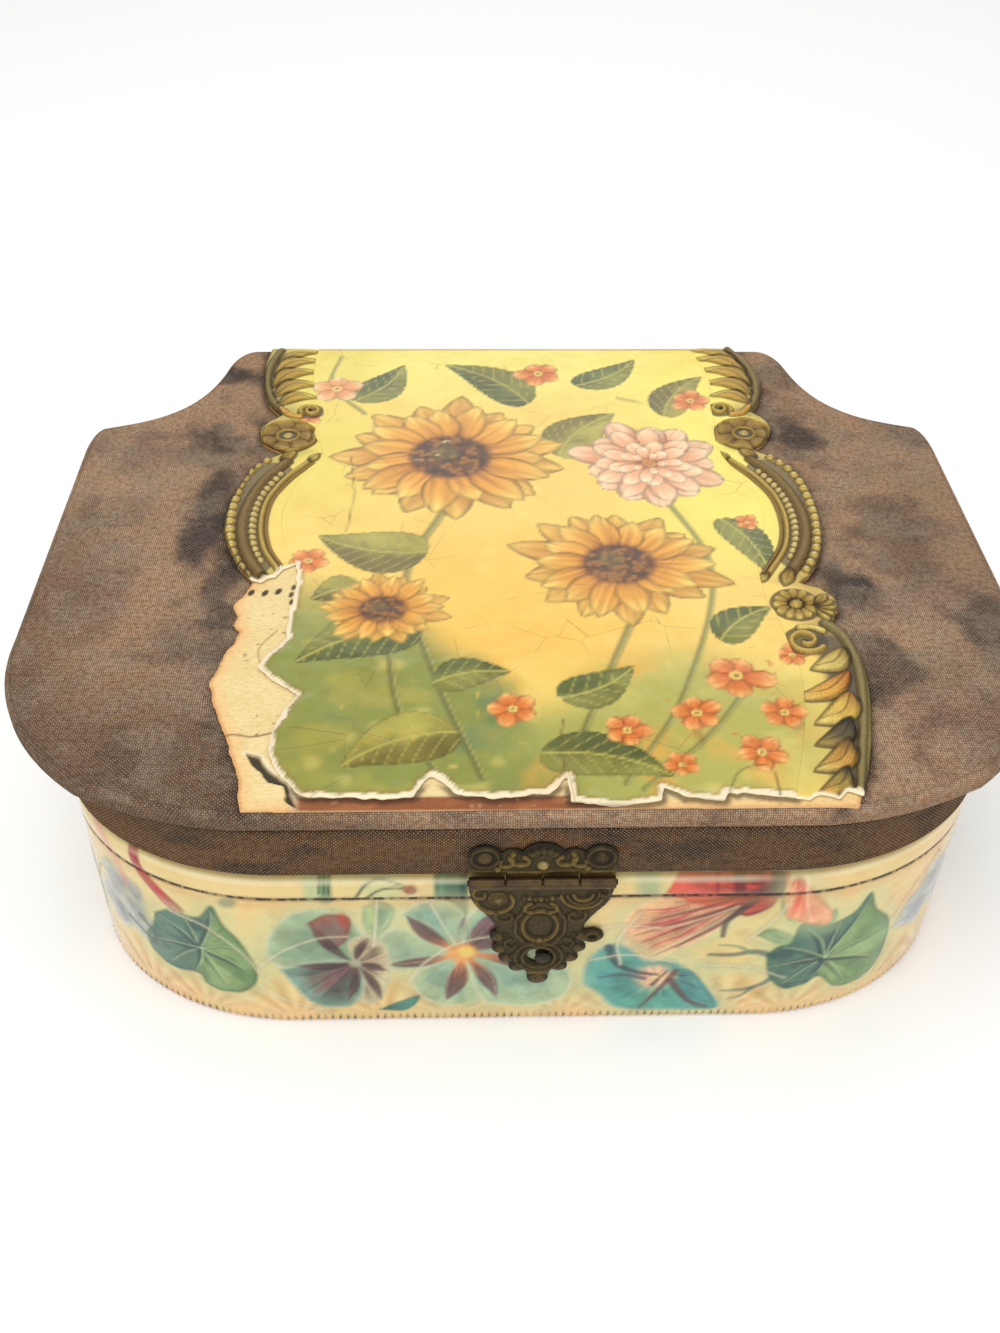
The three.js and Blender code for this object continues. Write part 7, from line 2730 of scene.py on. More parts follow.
PRINT_OUTLINE, BORDER_OUTLINES = outlines()


KNUCKLE_RADIUS = 1.6
BRASS_DARK: Colour = (40, 34, 22)
BRASS_MID: Colour = (72, 62, 36)
BRASS_GOLD: Colour = (122, 102, 54)
BRASS_OLIVE: Colour = (66, 62, 36)


def box_gap(x: np.ndarray, z: np.ndarray, low: tuple[float, float],
            high: tuple[float, float]) -> np.ndarray:
    """Distance to the nearest side of a box, above zero inside it.

    Args:
        x: Places across.
        z: Places up.
        low: The box's lowest corner.
        high: Its highest corner.

    Returns:
        The signed distances.
    """
    return np.minimum(np.minimum(x - low[0], high[0] - x), np.minimum(z - low[1], high[1] - z))


def knuckle_spans(width: float, count: int) -> list[tuple[float, float]]:
    """Share a hinge's width between its knuckles, with a small gap between each two.

    Args:
        width: The hinge's width.
        count: Number of knuckles.

    Returns:
        Start and end of each knuckle, from the hinge's middle.
    """
    each = width / count
    return [(k * each - width / 2 + 0.15, (k + 1) * each - width / 2 - 0.15) for k in range(count)]


def barrels(name: str, spans: list[tuple[float, float]],
            centre: tuple[float, float, float]) -> bpy.types.Object:
    """Build the knuckle tubes of one leaf as one mesh, each with eased ends.

    Args:
        name: Name of the object.
        spans: Start and end of each tube along X, from the centre.
        centre: A point of the pin's axis.

    Returns:
        The new object.
    """
    sides, radius, points, faces = 36, KNUCKLE_RADIUS, [], []
    turn = np.linspace(0, math.tau, sides + 1)[:-1]
    for start, end in spans:
        section = [(0.75, start), (radius - 0.25, start), (radius, start + 0.25),
                   (radius, (start + end) / 2), (radius, end - 0.25),
                   (radius - 0.25, end), (0.75, end)]
        rows = [np.stack([np.full(sides, centre[0] + at), centre[1] + size * np.cos(turn),
                          centre[2] + size * np.sin(turn)], 1)
                for size, at in section]
        before = sum(len(part) for part in points)
        faces.append(grid_faces(len(section), sides, wrap_columns=True)[:, ::-1] + before)
        points.append(np.concatenate(rows))
    thing = write_mesh(name, np.concatenate(points), faces)
    thing.data.set_sharp_from_angle(angle=math.radians(40))
    return thing


@dataclass
class Clasp:
    """The pressed brass clasp: lid leaf, hanging hasp, pin, nails and the stud that it drops over."""

    centre_x: float = 2.45
    axis_y: float = -112.9
    axis_z: float = 59.6
    width: float = 35.8
    back_y: float = -111.3
    thick: float = 0.8
    hole: float = 2.95

    edge = ((1.0, 0.0), (0.985, 0.06), (0.94, 0.16), (0.88, 0.215), (0.79, 0.27), (0.69, 0.345),
            (0.625, 0.41), (0.60, 0.49), (0.62, 0.57),
            (0.53, 0.71), (0.39, 0.83), (0.17, 0.93), (0.13, 1.0))
    lobes = ((10.4, -21.9), (9.8, -26.7), (8.05, -30.7), (5.4, -34.4))

    def local(self, x: np.ndarray, z: np.ndarray) -> tuple[np.ndarray, np.ndarray]:
        """Measure places from the clasp's middle and the pin's axis.

        Args:
            x: Places across.
            z: Places up.

        Returns:
            The two distances.
        """
        return x - self.centre_x, z - self.axis_z

    def tabs(self, x: np.ndarray, z: np.ndarray, own: tuple[int, int], upwards: int) -> np.ndarray:
        """Distance field of the tabs that join a leaf to its knuckles.

        Args:
            x: Places across, from the middle.
            z: Places up, from the axis.
            own: Numbers of the leaf's knuckles.
            upwards: 1 for the leaf above the pin, -1 below.

        Returns:
            The signed distances.
        """
        spans = knuckle_spans(self.width, 4)
        parts = [box_gap(x, z * upwards, (spans[k][0], 0.0), (spans[k][1], 3.2)) for k in own]
        return np.maximum(*parts)

    def hasp_field(self, x: np.ndarray, z: np.ndarray) -> np.ndarray:
        """Distance field of the hasp: the shield, its lobes, ear and tip, less the key hole.

        Args:
            x: Places across.
            z: Places up.

        Returns:
            The signed distances.
        """
        x, z = self.local(x, z)
        half = self.width / 2
        side = [(share * half, -2.4 - down * 36.8) for share, down in self.edge]
        gap = within(x, z, np.array(side + [(-across, down) for across, down in side[::-1]]))
        gap = np.maximum(gap, self.tabs(x, z, (0, 2), -1))
        for across, down in self.lobes:
            gap = np.maximum(gap, 2.15 - np.hypot(np.abs(x) - across, z - down))
        gap = np.maximum(gap, 2.75 - np.hypot(x, (z + 39.2)))
        gap = np.maximum(gap, 2.65 - np.hypot((x - 13.3) * 0.9, z + 22.1))
        return np.minimum(gap, np.hypot(x, z + 30.0) - self.hole)

    def leaf_field(self, x: np.ndarray, z: np.ndarray) -> np.ndarray:
        """Distance field of the lid leaf: a band with two ears, a crown and lobes between.

        Args:
            x: Places across.
            z: Places up.

        Returns:
            The signed distances.
        """
        x, z = self.local(x, z)
        half = self.width / 2
        gap = box_gap(x, z, (-half, 2.4), (half, 7.6))
        gap = np.maximum(gap, self.tabs(x, z, (1, 3), 1))
        gap = np.maximum(gap, 4.1 - np.hypot(np.abs(x) - 13.9, z - 8.0))
        gap = np.maximum(gap, 3.3 - np.hypot(np.abs(x) - 7.2, z - 7.6))
        return np.maximum(gap, 5.6 - np.hypot(x, z - 7.4))

    def scroll(self, canvas: Canvas, centre, radius: float, start: float, sweep: float, width: float,
               tone: Colour, lift: float,
               squash: float = 1.0, shrink: float = 0.6) -> None:
        """Draw a raised curl that winds in evenly.

        Args:
            canvas: What is drawn on.
            centre: Its middle, from the clasp's middle and axis.
            radius: Its outer radius.
            start: Direction in which it starts, in degrees.
            sweep: How far it turns, in degrees.
            width: Width of the raised line.
            tone: Display colour.
            lift: Its height.
            squash: Height as a share of width.
            shrink: How much of the radius is lost by its end.
        """
        angle = np.radians(start + sweep * np.linspace(0, 1, 22))
        size = radius * (1 - shrink * np.linspace(0, 1, 22))
        points = np.stack([self.centre_x + centre[0] + size * np.cos(angle),
                           self.axis_z + centre[1] + squash * size * np.sin(angle)], 1)
        canvas.stroke(points, width + 0.9, BRASS_DARK, 0.8, soft=0.2)
        canvas.stroke(points, width, tone, 0.9, lift, 0.5, 0.25, soft=0.3)

    def boss(self, canvas: Canvas, at, radius: float, tone: Colour, lift: float,
             squeeze: float = 1.0) -> None:
        """Draw a raised round or oval boss in a dark ring.

        Args:
            canvas: What is drawn on.
            at: Its middle, from the clasp's middle and axis.
            radius: Half its width.
            tone: Display colour.
            lift: Its height.
            squeeze: Height as a share of width.
        """
        middle = (self.centre_x + at[0], self.axis_z + at[1])
        canvas.spot(middle, radius + 0.45, BRASS_DARK, 0.85, squeeze=squeeze, soft=0.2)
        canvas.spot(middle, radius, tone, 0.9, lift, 0.4, squeeze=squeeze, soft=0.3)

    def ring(self, canvas: Canvas, at, wide: float, high: float, width: float, tone: Colour, lift: float,
             lobes: int = 0) -> None:
        """Draw a raised oval ring, scalloped where lobes are asked for.

        Args:
            canvas: What is drawn on.
            at: Its middle, from the clasp's middle and axis.
            wide: Half its width.
            high: Half its height.
            width: Width of the raised line.
            tone: Display colour.
            lift: Its height.
            lobes: Number of scallops.
        """
        turn = np.linspace(0, math.tau, 91)
        swell = 1 + (0.07 * np.abs(np.sin(lobes / 2 * turn)) if lobes else 0)
        points = np.stack([self.centre_x + at[0] + wide * swell * np.cos(turn),
                           self.axis_z + at[1] + high * swell * np.sin(turn)], 1)
        canvas.stroke(points, width + 0.8, BRASS_DARK, 0.75, smoothly=False, soft=0.2)
        canvas.stroke(points, width, tone, 0.9, lift, 0.4, smoothly=False, soft=0.3)

    def draw_hasp(self, canvas: Canvas) -> None:
        """Draw the hasp's pressed ornament, and a painted highlight along its top edge.

        Args:
            canvas: Its points, across and up.
        """
        c = canvas
        _, z = self.local(c.x, c.y)
        c.wash(0.75 * smooth(-14, -30, z), (60, 56, 40))
        c.patches(0.5, (0.0, 0.7), 4.0, 3, 101, BRASS_OLIVE)
        c.patches(0.6, (0.1, 0.8), 2.6, 3, 102, (46, 40, 28), (9, 0))
        self.boss(c, (-10.6, -6.9), 2.4, BRASS_GOLD, 0.75)
        self.ring(c, (-10.6, -6.9), 1.5, 1.5, 0.6, BRASS_MID, 0.85)
        self.scroll(c, (-10.8, -7.4), 5.4, 175, 215, 1.3, BRASS_GOLD, 0.65, shrink=0.32)
        self.scroll(c, (-14.8, -5.0), 2.2, 120, 260, 0.9, BRASS_GOLD, 0.55)
        for k in range(7):
            self.boss(c, (-4.2 + 1.4 * k, -6.6 - 0.5 * math.sin(math.pi * k / 6)), 0.72,
                      BRASS_GOLD if k % 2 else BRASS_MID, 0.6)
        for k, size in enumerate((5.6, 4.1, 2.6)):
            self.scroll(c, (10.4, -5.2), size, 190, 160, 0.95, (BRASS_GOLD, BRASS_MID, BRASS_GOLD)[k], 0.6,
                        shrink=0.12)
        self.scroll(c, (15.0, -4.8), 2.0, 60, -260, 0.8, BRASS_MID, 0.5)
        self.ring(c, (0, -17.4), 6.0, 7.9, 1.0, BRASS_MID, 0.6, 10)
        self.ring(c, (0, -17.4), 4.4, 5.9, 0.9, BRASS_GOLD, 0.75)
        self.boss(c, (0, -17.4), 3.0, (40, 36, 24), 0.3, 1.45)
        self.boss(c, (0, -23.3), 0.8, BRASS_GOLD, 0.6)
        for side in (-1, 1):
            self.scroll(c, (side * 8.6, -13.6), 2.7, 90 - side * 60, side * -300, 0.9, BRASS_MID, 0.6)
            self.scroll(c, (side * 2.4, -11.0), 2.2, 90, side * -200, 0.8, BRASS_GOLD, 0.55)
            self.scroll(c, (side * 6.8, -25.0), 2.3, 100, side * -260, 0.8, BRASS_OLIVE, 0.55)
            for across, down in self.lobes:
                self.boss(c, (side * across, down), 1.35, BRASS_MID, 0.7)
                self.boss(c, (side * across * 0.83, down + 1.1), 0.6, BRASS_DARK, 0.4)
        self.ring(c, (0, -30.0), 4.2, 4.2, 1.0, BRASS_MID, 0.75)
        self.ring(c, (0, -30.0), 6.0, 5.6, 0.8, BRASS_OLIVE, 0.5)
        self.ring(c, (13.3, -22.1), 1.7, 1.6, 0.9, BRASS_MID, 0.55)
        c.spot((self.centre_x + 13.3, self.axis_z - 22.1), 0.9, (26, 22, 16), 0.95)
        self.boss(c, (0, -38.9), 2.0, BRASS_MID, 0.9)
        c.stroke([(self.centre_x - 2.6, self.axis_z - 36.6), (self.centre_x + 2.6, self.axis_z - 36.6)],
                 0.7, BRASS_GOLD, 0.8, 0.5, 0.8)
        # painted highlight: a gold line along the plate's top edge, under the knuckles
        c.wash(0.85 * smooth(0.75, 0.1, np.abs(z + 2.75)), (150, 124, 66))
        c.gilt = np.maximum(c.gilt, 0.6 * smooth(0.75, 0.1, np.abs(z + 2.75)))

    def draw_leaf(self, canvas: Canvas) -> None:
        """Draw the lid leaf's pressed ornament.

        Args:
            canvas: Its points, across and up.
        """
        c = canvas
        x, z = self.local(c.x, c.y)
        c.patches(0.6, (0.0, 0.7), 3.0, 3, 111, (74, 64, 38))
        c.wash(0.9 * smooth(4.8, 3.4, np.hypot(np.abs(x) - 13.9, z - 8.0)), (38, 34, 24))
        c.wash(0.9 * smooth(8.6, 9.8, z) * smooth(7.5, 5.5, np.abs(x)), (36, 33, 24))
        for side in (-1, 1):
            self.scroll(c, (side * 5.0, 7.6), 3.3, 90 - side * 40, side * -300, 1.25, BRASS_GOLD, 0.8, 0.8,
                        0.66)
            self.scroll(c, (side * 9.2, 6.6), 2.4, 90 + side * 30, side * 270, 1.1, BRASS_GOLD, 0.7, 0.9)
            self.scroll(c, (side * 13.9, 8.0), 3.3, 90, side * 359, 0.7, BRASS_OLIVE, 0.45, 1.0, 0.0)
            self.boss(c, (side * 10.8, 4.0), 0.9, BRASS_GOLD, 0.6)
            self.boss(c, (side * 2.2, 9.2), 1.0, BRASS_GOLD, 0.55)
            c.spot((self.centre_x + side * 12.6, self.axis_z + 8.4), 0.9, (22, 18, 16), 0.9)
        self.boss(c, (0, 5.4), 1.4, (178, 160, 104), 0.85)
        for k in range(5):
            turn = math.radians(30 + 30 * k)
            tip = (self.centre_x + 4.6 * math.cos(turn), self.axis_z + 8.0 + 4.2 * math.sin(turn))
            c.blade((self.centre_x + 1.6 * math.cos(turn), self.axis_z + 8.0 + 1.2 * math.sin(turn)), tip,
                    1.7,
                    (BRASS_DARK, BRASS_OLIVE, BRASS_DARK), lift=0.6, gilt=0.25, soft=0.2)
        low = smooth(4.0, 3.0, z)
        c.wash(0.75 * low, (124, 102, 56))
        c.gilt = np.maximum(c.gilt, 0.7 * low)
        for k in range(11):
            self.boss(c, (9.6 + 0.75 * k, 2.9), 0.42, BRASS_GOLD, 0.4)
            self.boss(c, (-8.2 + 0.75 * k, 2.9), 0.42, BRASS_GOLD, 0.4)

    def plate(self, name: str, low, high, inside: Field, draw: Callable[[Canvas], None], body: Body,
              node: str) -> None:
        """Build, draw and press one of the clasp's plates.

        Args:
            name: Name of the piece.
            low: Lowest corner, from the clasp's middle and axis.
            high: Highest corner.
            inside: Its distance field.
            draw: Draws its ornament.
            body: The body that it moves with.
            node: The node that it replaces.
        """
        corner = np.array([self.centre_x, self.axis_z])

        def flat(x: np.ndarray, y: np.ndarray) -> np.ndarray:
            return np.full(np.shape(x), self.thick)

        sheet = FieldPlate(name, tuple(corner + low), tuple(corner + high), 0.2, inside, flat, 0.0,
                           self.back_y, -1, True)
        thing = sheet.build()
        canvas = sheet.canvas(BRASS_MID)
        draw(canvas)
        gap = inside(canvas.x, canvas.y)
        canvas.wash(0.6 * smooth(0.9, 0.1, gap), (44, 38, 26))
        lift = canvas.lift * smooth(-0.1, 0.5, gap) - 0.35 * smooth(0.7, 0.0, gap)
        sheet.press(thing, self.thick + lift + 0.05 * cloud(canvas.x, canvas.y, 2.0, 2, 120))
        sheet.paint(thing, canvas.colour, canvas.gilt)
        settle(thing, body, "antique_brass", PLATE_BRASS, node)

    def build(self) -> None:
        """Build the clasp."""
        self.plate("clasp_hasp_pressed", (-18.5, -42.5), (18.5, 0.5), self.hasp_field, self.draw_hasp,
                   Body.HASP, "clasp_hasp")
        self.plate("clasp_leaf_pressed", (-18.5, -0.5), (18.5, 13.5), self.leaf_field, self.draw_leaf,
                   Body.LID, "clasp_lid_leaf")
        spans = knuckle_spans(self.width, 4)
        middle = (self.centre_x, self.axis_y, self.axis_z)
        for name, own, body, node in (("clasp_hasp_knuckles", (0, 2), Body.HASP, "clasp_hasp"),
                                      ("clasp_leaf_knuckles", (1, 3), Body.LID, "clasp_lid_leaf")):
            tubes = barrels(name, [spans[k] for k in own], middle)
            settle(tubes, body, "antique_brass", BARREL_BRASS, node)
        for name, side in (("clasp_nail_left", -1), ("clasp_nail_right", 1)):
            at = (self.centre_x + side * 13.9, -112.1, self.axis_z + 8.0)
            head = [(0.0, -0.72), (0.7, -0.68), (1.3, -0.5), (1.75, -0.2), (1.95, 0.05), (1.6, 0.1),
                    (0.8, 0.12), (0.8, 3.0), (0.0, 4.4)]
            thing = lathe(name + "_domed", head[::-1], at, (0, 1, 0), 32)
            settle(thing, Body.LID, "antique_brass", BRASS, name)
        stud = [(0.0, -2.6), (1.1, -2.58), (1.75, -2.4), (2.05, -2.1), (2.05, -1.95), (1.75, -1.85),
                (1.7, -1.2), (1.75, -0.2), (1.75, 0.6), (0.0, 0.6)]
        thing = lathe("catch_stud_turned", stud[::-1], (self.centre_x + 1.0, -110.6, self.axis_z - 30.0),
                      (0, 1, 0), 36)
        settle(thing, Body.BASE, "antique_brass", DARK_BRASS, "catch_stud")
        plain_finish(("clasp_pin",), BRASS)


@dataclass
class BackHinge:
    """A butt hinge at the back, with stamped leaves, knuckles, pin and domed nails."""

    label: str
    centre_x: float
    axis_y: float = 112.8
    axis_z: float = 60.6
    width: float = 26.0
    reach: float = 13.0
    thick: float = 0.8

    def leaf(self, name: str, upwards: int, own: tuple[int, ...], body: Body, node: str) -> None:
        """Build one leaf with its knuckles.

        Args:
            name: Name of the piece.
            upwards: 1 for the lid's leaf, -1 for the body's.
            own: Numbers of its knuckles.
            body: The body that it moves with.
            node: The node that it replaces.
        """
        spans = knuckle_spans(self.width, 3)
        back = self.axis_y - KNUCKLE_RADIUS
        half = self.width / 2

        def inside(x: np.ndarray, y: np.ndarray) -> np.ndarray:
            across, up = -x - self.centre_x, (y - self.axis_z) * upwards
            gap = box_gap(across, up, (-half, 1.9), (half, self.reach))
            corner = 3.0 - np.hypot(np.abs(across) - half + 3.0, up - self.reach + 3.0)
            gap = np.where((np.abs(across) > half - 3.0) & (up > self.reach - 3.0), corner, gap)
            for k in own:
                gap = np.maximum(gap, box_gap(across, up, (spans[k][0], 0.0), (spans[k][1], 2.6)))
            for side in (-1, 1):
                gap = np.minimum(gap, np.hypot(across - side * 8.5, up - 8.5) - 0.95)
            return gap

        def top(x: np.ndarray, y: np.ndarray) -> np.ndarray:
            gap = inside(x, y)
            bead_line = 0.18 * smooth(0.5, 0.0, np.abs(gap - 1.3))
            return self.thick - 0.25 * smooth(0.5, 0.0, gap) + bead_line

        down, up = (0.5, self.reach + 0.5) if upwards > 0 else (self.reach + 0.5, 0.5)
        low = (-self.centre_x - half - 0.5, self.axis_z - down)
        high = (-self.centre_x + half + 0.5, self.axis_z + up)
        sheet = FieldPlate(name, low, high, 0.3, inside, top, 0.0, back, 1, True)
        thing = sheet.build()
        settle(thing, body, "antique_brass", BRASS, node)
        tubes = barrels(name + "_knuckles", [spans[k] for k in own],
                        (self.centre_x, self.axis_y, self.axis_z))
        settle(tubes, body, "antique_brass", BARREL_BRASS, node)

    def build(self) -> None:
        """Build both leaves and the nails."""
        self.leaf(f"hinge_{self.label}_base_stamped", -1, (0, 2), Body.BASE,
                  f"hinge_base_leaf_{self.label}")
        self.leaf(f"hinge_{self.label}_lid_stamped", 1, (1,), Body.LID, f"hinge_lid_leaf_{self.label}")
        for part, body in (("base", Body.BASE), ("lid", Body.LID)):
            for letter in "ab":
                node = f"hinge_nail_{part}_{self.label}_{letter}"
                low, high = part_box(node)
                middle = (np.array(low) + np.array(high)) / 2 / MM
                head = [(0.0, 0.6), (0.6, 0.56), (1.15, 0.36), (1.55, 0.06), (1.6, 0.0), (0.78, -0.02),
                        (0.78, -2.6), (0.0, -4.0)]
                face = self.axis_y - KNUCKLE_RADIUS + self.thick
                thing = lathe(node + "_domed", head[::-1], (middle[0], face + 0.05, middle[2]), (0, 1, 0),
                              28)
                settle(thing, body, "antique_brass", BRASS, node)
        plain_finish((f"hinge_pin_{self.label}",), BRASS)


@dataclass
class PuffedPad:
    """A satin pad over wadding: a flat back, drawn-in sides and a crown sewn down at its tufts."""

    name: str
    node: str
    body: Body
    plan: Plan
    inset: float
    base: float
    edge: float
    crown: float
    sign: int = 1
    draw: float = 2.4
    depth: float = 3.6
    tuft_radius: float = 9.0
    spacing: tuple[float, float] = (46.0, 40.0)
    voxel: float = 4.2
    pressure: float = 4.0
    frames: int = 20
    cap: float = 2.2

    def tuft(self, x: np.ndarray, y: np.ndarray) -> tuple[np.ndarray, np.ndarray, np.ndarray]:
        """Measure places against the staggered rows of tufts.

        Args:
            x: Places along X.
            y: Places along Y.

        Returns:
            The nearest tuft's pull, which is one over e to the square of distance over radius, then
            the distance to it and the direction from it in radians.
        """
        row = np.round(y / self.spacing[1])
        shift = np.abs(row % 2) * self.spacing[0] / 2
        column = np.round((x - shift) / self.spacing[0])
        dx, dy = x - shift - column * self.spacing[0], y - row * self.spacing[1]
        gap = np.hypot(dx, dy)
        return np.exp(-((gap / self.tuft_radius) ** 2)), gap, np.arctan2(dy, dx)

    def shell(self, smaller: float) -> bpy.types.Object:
        """Build the pad as rings that shrink from its outline to its middle.

        The crown rises by one less the sixth power of a ring's share of the outline, less the pull
        of the nearest tuft.

        Args:
            smaller: How far the shape is kept inside its full size, for the swelling to fill.

        Returns:
            The closed pad.
        """
        arc = np.linspace(0, self.plan.length, 361)[:-1]
        outline = self.plan.at(arc, self.inset + smaller)
        foot = self.plan.at(arc, self.inset + self.draw)
        side = np.linspace(0, math.pi / 2, 7)[1:]
        rings, heights = [foot * 0.02, foot * 0.5, foot], [0.0, 0.0, 0.0]
        for turn in np.linspace(-math.pi / 2, 0, 5)[1:]:
            rings.append(foot + (outline - foot) * math.cos(turn))
            heights.append(0.5 * self.edge * (1 + math.sin(turn)))
        for turn in side[:-1]:
            rings.append(outline * (0.97 + 0.03 * math.cos(turn)))
            heights.append(0.5 * self.edge * (1 + math.sin(turn)))
        points = [np.column_stack([ring, np.full(len(ring), height)])
                  for ring, height in zip(rings, heights)]
        for share in np.append(np.linspace(0.97, 0.04, 44), 0.015):
            ring = outline * share
            pull = self.tuft(ring[:, 0], ring[:, 1])[0]
            rise = (self.crown - smaller) * (1 - share**6) * (1 - self.depth / self.crown * pull)
            points.append(np.column_stack([ring, self.edge + rise]))
        rows = np.array(points)
        count, sides = rows.shape[:2]
        rows = rows.reshape(-1, 3)
        rows[:, 2] = self.base + self.sign * rows[:, 2]
        faces = grid_faces(count, sides, wrap_columns=True)
        caps = [np.arange(sides)[None, ::-1], (count - 1) * sides + np.arange(sides)[None]]
        if self.sign < 0:
            faces, caps = faces[:, ::-1], [cap[:, ::-1] for cap in caps]
        return write_mesh(self.name, rows, [faces] + caps)

    def bake(self, thing: bpy.types.Object) -> np.ndarray:
        """Apply the modifiers.

        Args:
            thing: The pad.

        Returns:
            The mesh's points in millimetres, one row each.
        """
        evaluated = thing.evaluated_get(bpy.context.evaluated_depsgraph_get())
        mesh = bpy.data.meshes.new_from_object(evaluated)
        thing.modifiers.clear()
        old, thing.data = thing.data, mesh
        bpy.data.meshes.remove(old)
        return self.points(thing)

    def points(self, thing: bpy.types.Object) -> np.ndarray:
        """Read the mesh's points.

        Args:
            thing: The pad.

        Returns:
            The points in millimetres, one row each.
        """
        flat = np.empty(len(thing.data.vertices) * 3, np.float32)
        thing.data.vertices.foreach_get("co", flat)
        return flat.reshape(-1, 3).astype(float) / MM

    def move(self, thing: bpy.types.Object, points: np.ndarray) -> None:
        """Write the mesh's points.

        Args:
            thing: The pad.
            points: The points in millimetres, one row each.
        """
        thing.data.vertices.foreach_set("co", (points * MM).astype(np.float32).ravel())
        thing.data.update()

    def swell(self, thing: bpy.types.Object) -> None:
        """Swell the pad under pressure with its back and its tufts held, and cap every point's move.

        Args:
            thing: The pad, remeshed.
        """
        before = self.points(thing)
        height = self.sign * (before[:, 2] - self.base)
        held = (height < 0.6) | (self.tuft(before[:, 0], before[:, 1])[1] < 3.2)
        hold = thing.vertex_groups.new(name="hold")
        hold.add([int(k) for k in np.nonzero(held)[0]], 1.0, "REPLACE")
        cloth = thing.modifiers.new("swell", "CLOTH")
        cloth.settings.vertex_group_mass = "hold"
        cloth.settings.use_pressure = True
        cloth.settings.uniform_pressure_force = self.pressure
        cloth.settings.effector_weights.gravity = 0.0
        scene = bpy.context.scene
        for number in range(1, self.frames + 1):
            scene.frame_set(number)
        after = self.bake(thing)
        scene.frame_set(1)
        moved = after - before
        size = np.maximum(np.linalg.norm(moved, axis=1, keepdims=True), 1e-9)
        self.move(thing, before + moved * np.minimum(1.0, self.cap / size))

    def finish(self, thing: bpy.types.Object) -> None:
        """Subdivide once, add the creases that run from tuft to tuft, keep the pad in its space, and paint
        shade into the tufts, the creases and the rim.

        A crease's depth follows the cosine of nine times the direction from the tuft, and fades with
        the distance from it.

        Args:
            thing: The pad.
        """
        thing.modifiers.new("smooth", "SUBSURF").levels = 1
        thing.modifiers["smooth"].render_levels = 1
        points = self.bake(thing)
        height = self.sign * (points[:, 2] - self.base)
        _, gap, turn = self.tuft(points[:, 0], points[:, 1])
        shake = cloud(points[:, 0], points[:, 1], 19.0, 2, 5)
        crease = np.cos(9 * turn + 3 * shake) * smooth(0.5, 5.0, gap) * smooth(24.0, 8.0, gap)
        border = self.plan.at(np.linspace(0, self.plan.length, 361)[:-1], self.inset)
        rim = within(points[:, 0], points[:, 1], border)
        gathers = np.cos(self.nearest_arc(points) / 2.6 + 2 * shake) * smooth(9.0, 2.0, rim)
        height = height + smooth(2.0, 5.0, height) * (0.55 * crease + 0.3 * gathers)
        top = self.edge + self.crown
        points[:, 2] = self.base + self.sign * np.clip(height, 0.0, top)
        self.move(thing, points)
        canvas = Canvas(points[:, 0], points[:, 1], WHITE)
        # painted shade in the tufts' dimples, in the creases and round the rim
        canvas.wash(0.75 * np.exp(-((gap / 5.5) ** 2)), (122, 88, 52))
        canvas.wash(0.4 * smooth(0.2, -0.9, crease), (150, 112, 70))
        canvas.wash(0.55 * smooth(5.0, 0.5, rim), (128, 94, 58))
        give_colour(thing, "paint", canvas.colour)
        thing.data.polygons.foreach_set("use_smooth", np.ones(len(thing.data.polygons), bool))

    def nearest_arc(self, points: np.ndarray) -> np.ndarray:
        """Tell how far round the outline each point's nearest place is.

        Args:
            points: The points in millimetres, one row each.

        Returns:
            The arc lengths.
        """
        loop = np.vstack([self.plan.loop, self.plan.loop[:1]])
        share = np.concatenate([away(part[:, 0], part[:, 1], loop)[1]
                                for part in np.array_split(points, 8)])
        return np.interp(share * (len(loop) - 1), np.arange(len(loop)), self.plan.arc)

    def build(self) -> None:
        thing = self.shell(0.8)
        even = thing.modifiers.new("even", "REMESH")
        even.mode = "VOXEL"
        even.voxel_size = self.voxel * MM
        self.bake(thing)
        self.swell(thing)
        self.finish(thing)
        thing.name = self.name
        settle(thing, self.body, "satin", SATIN, self.node)


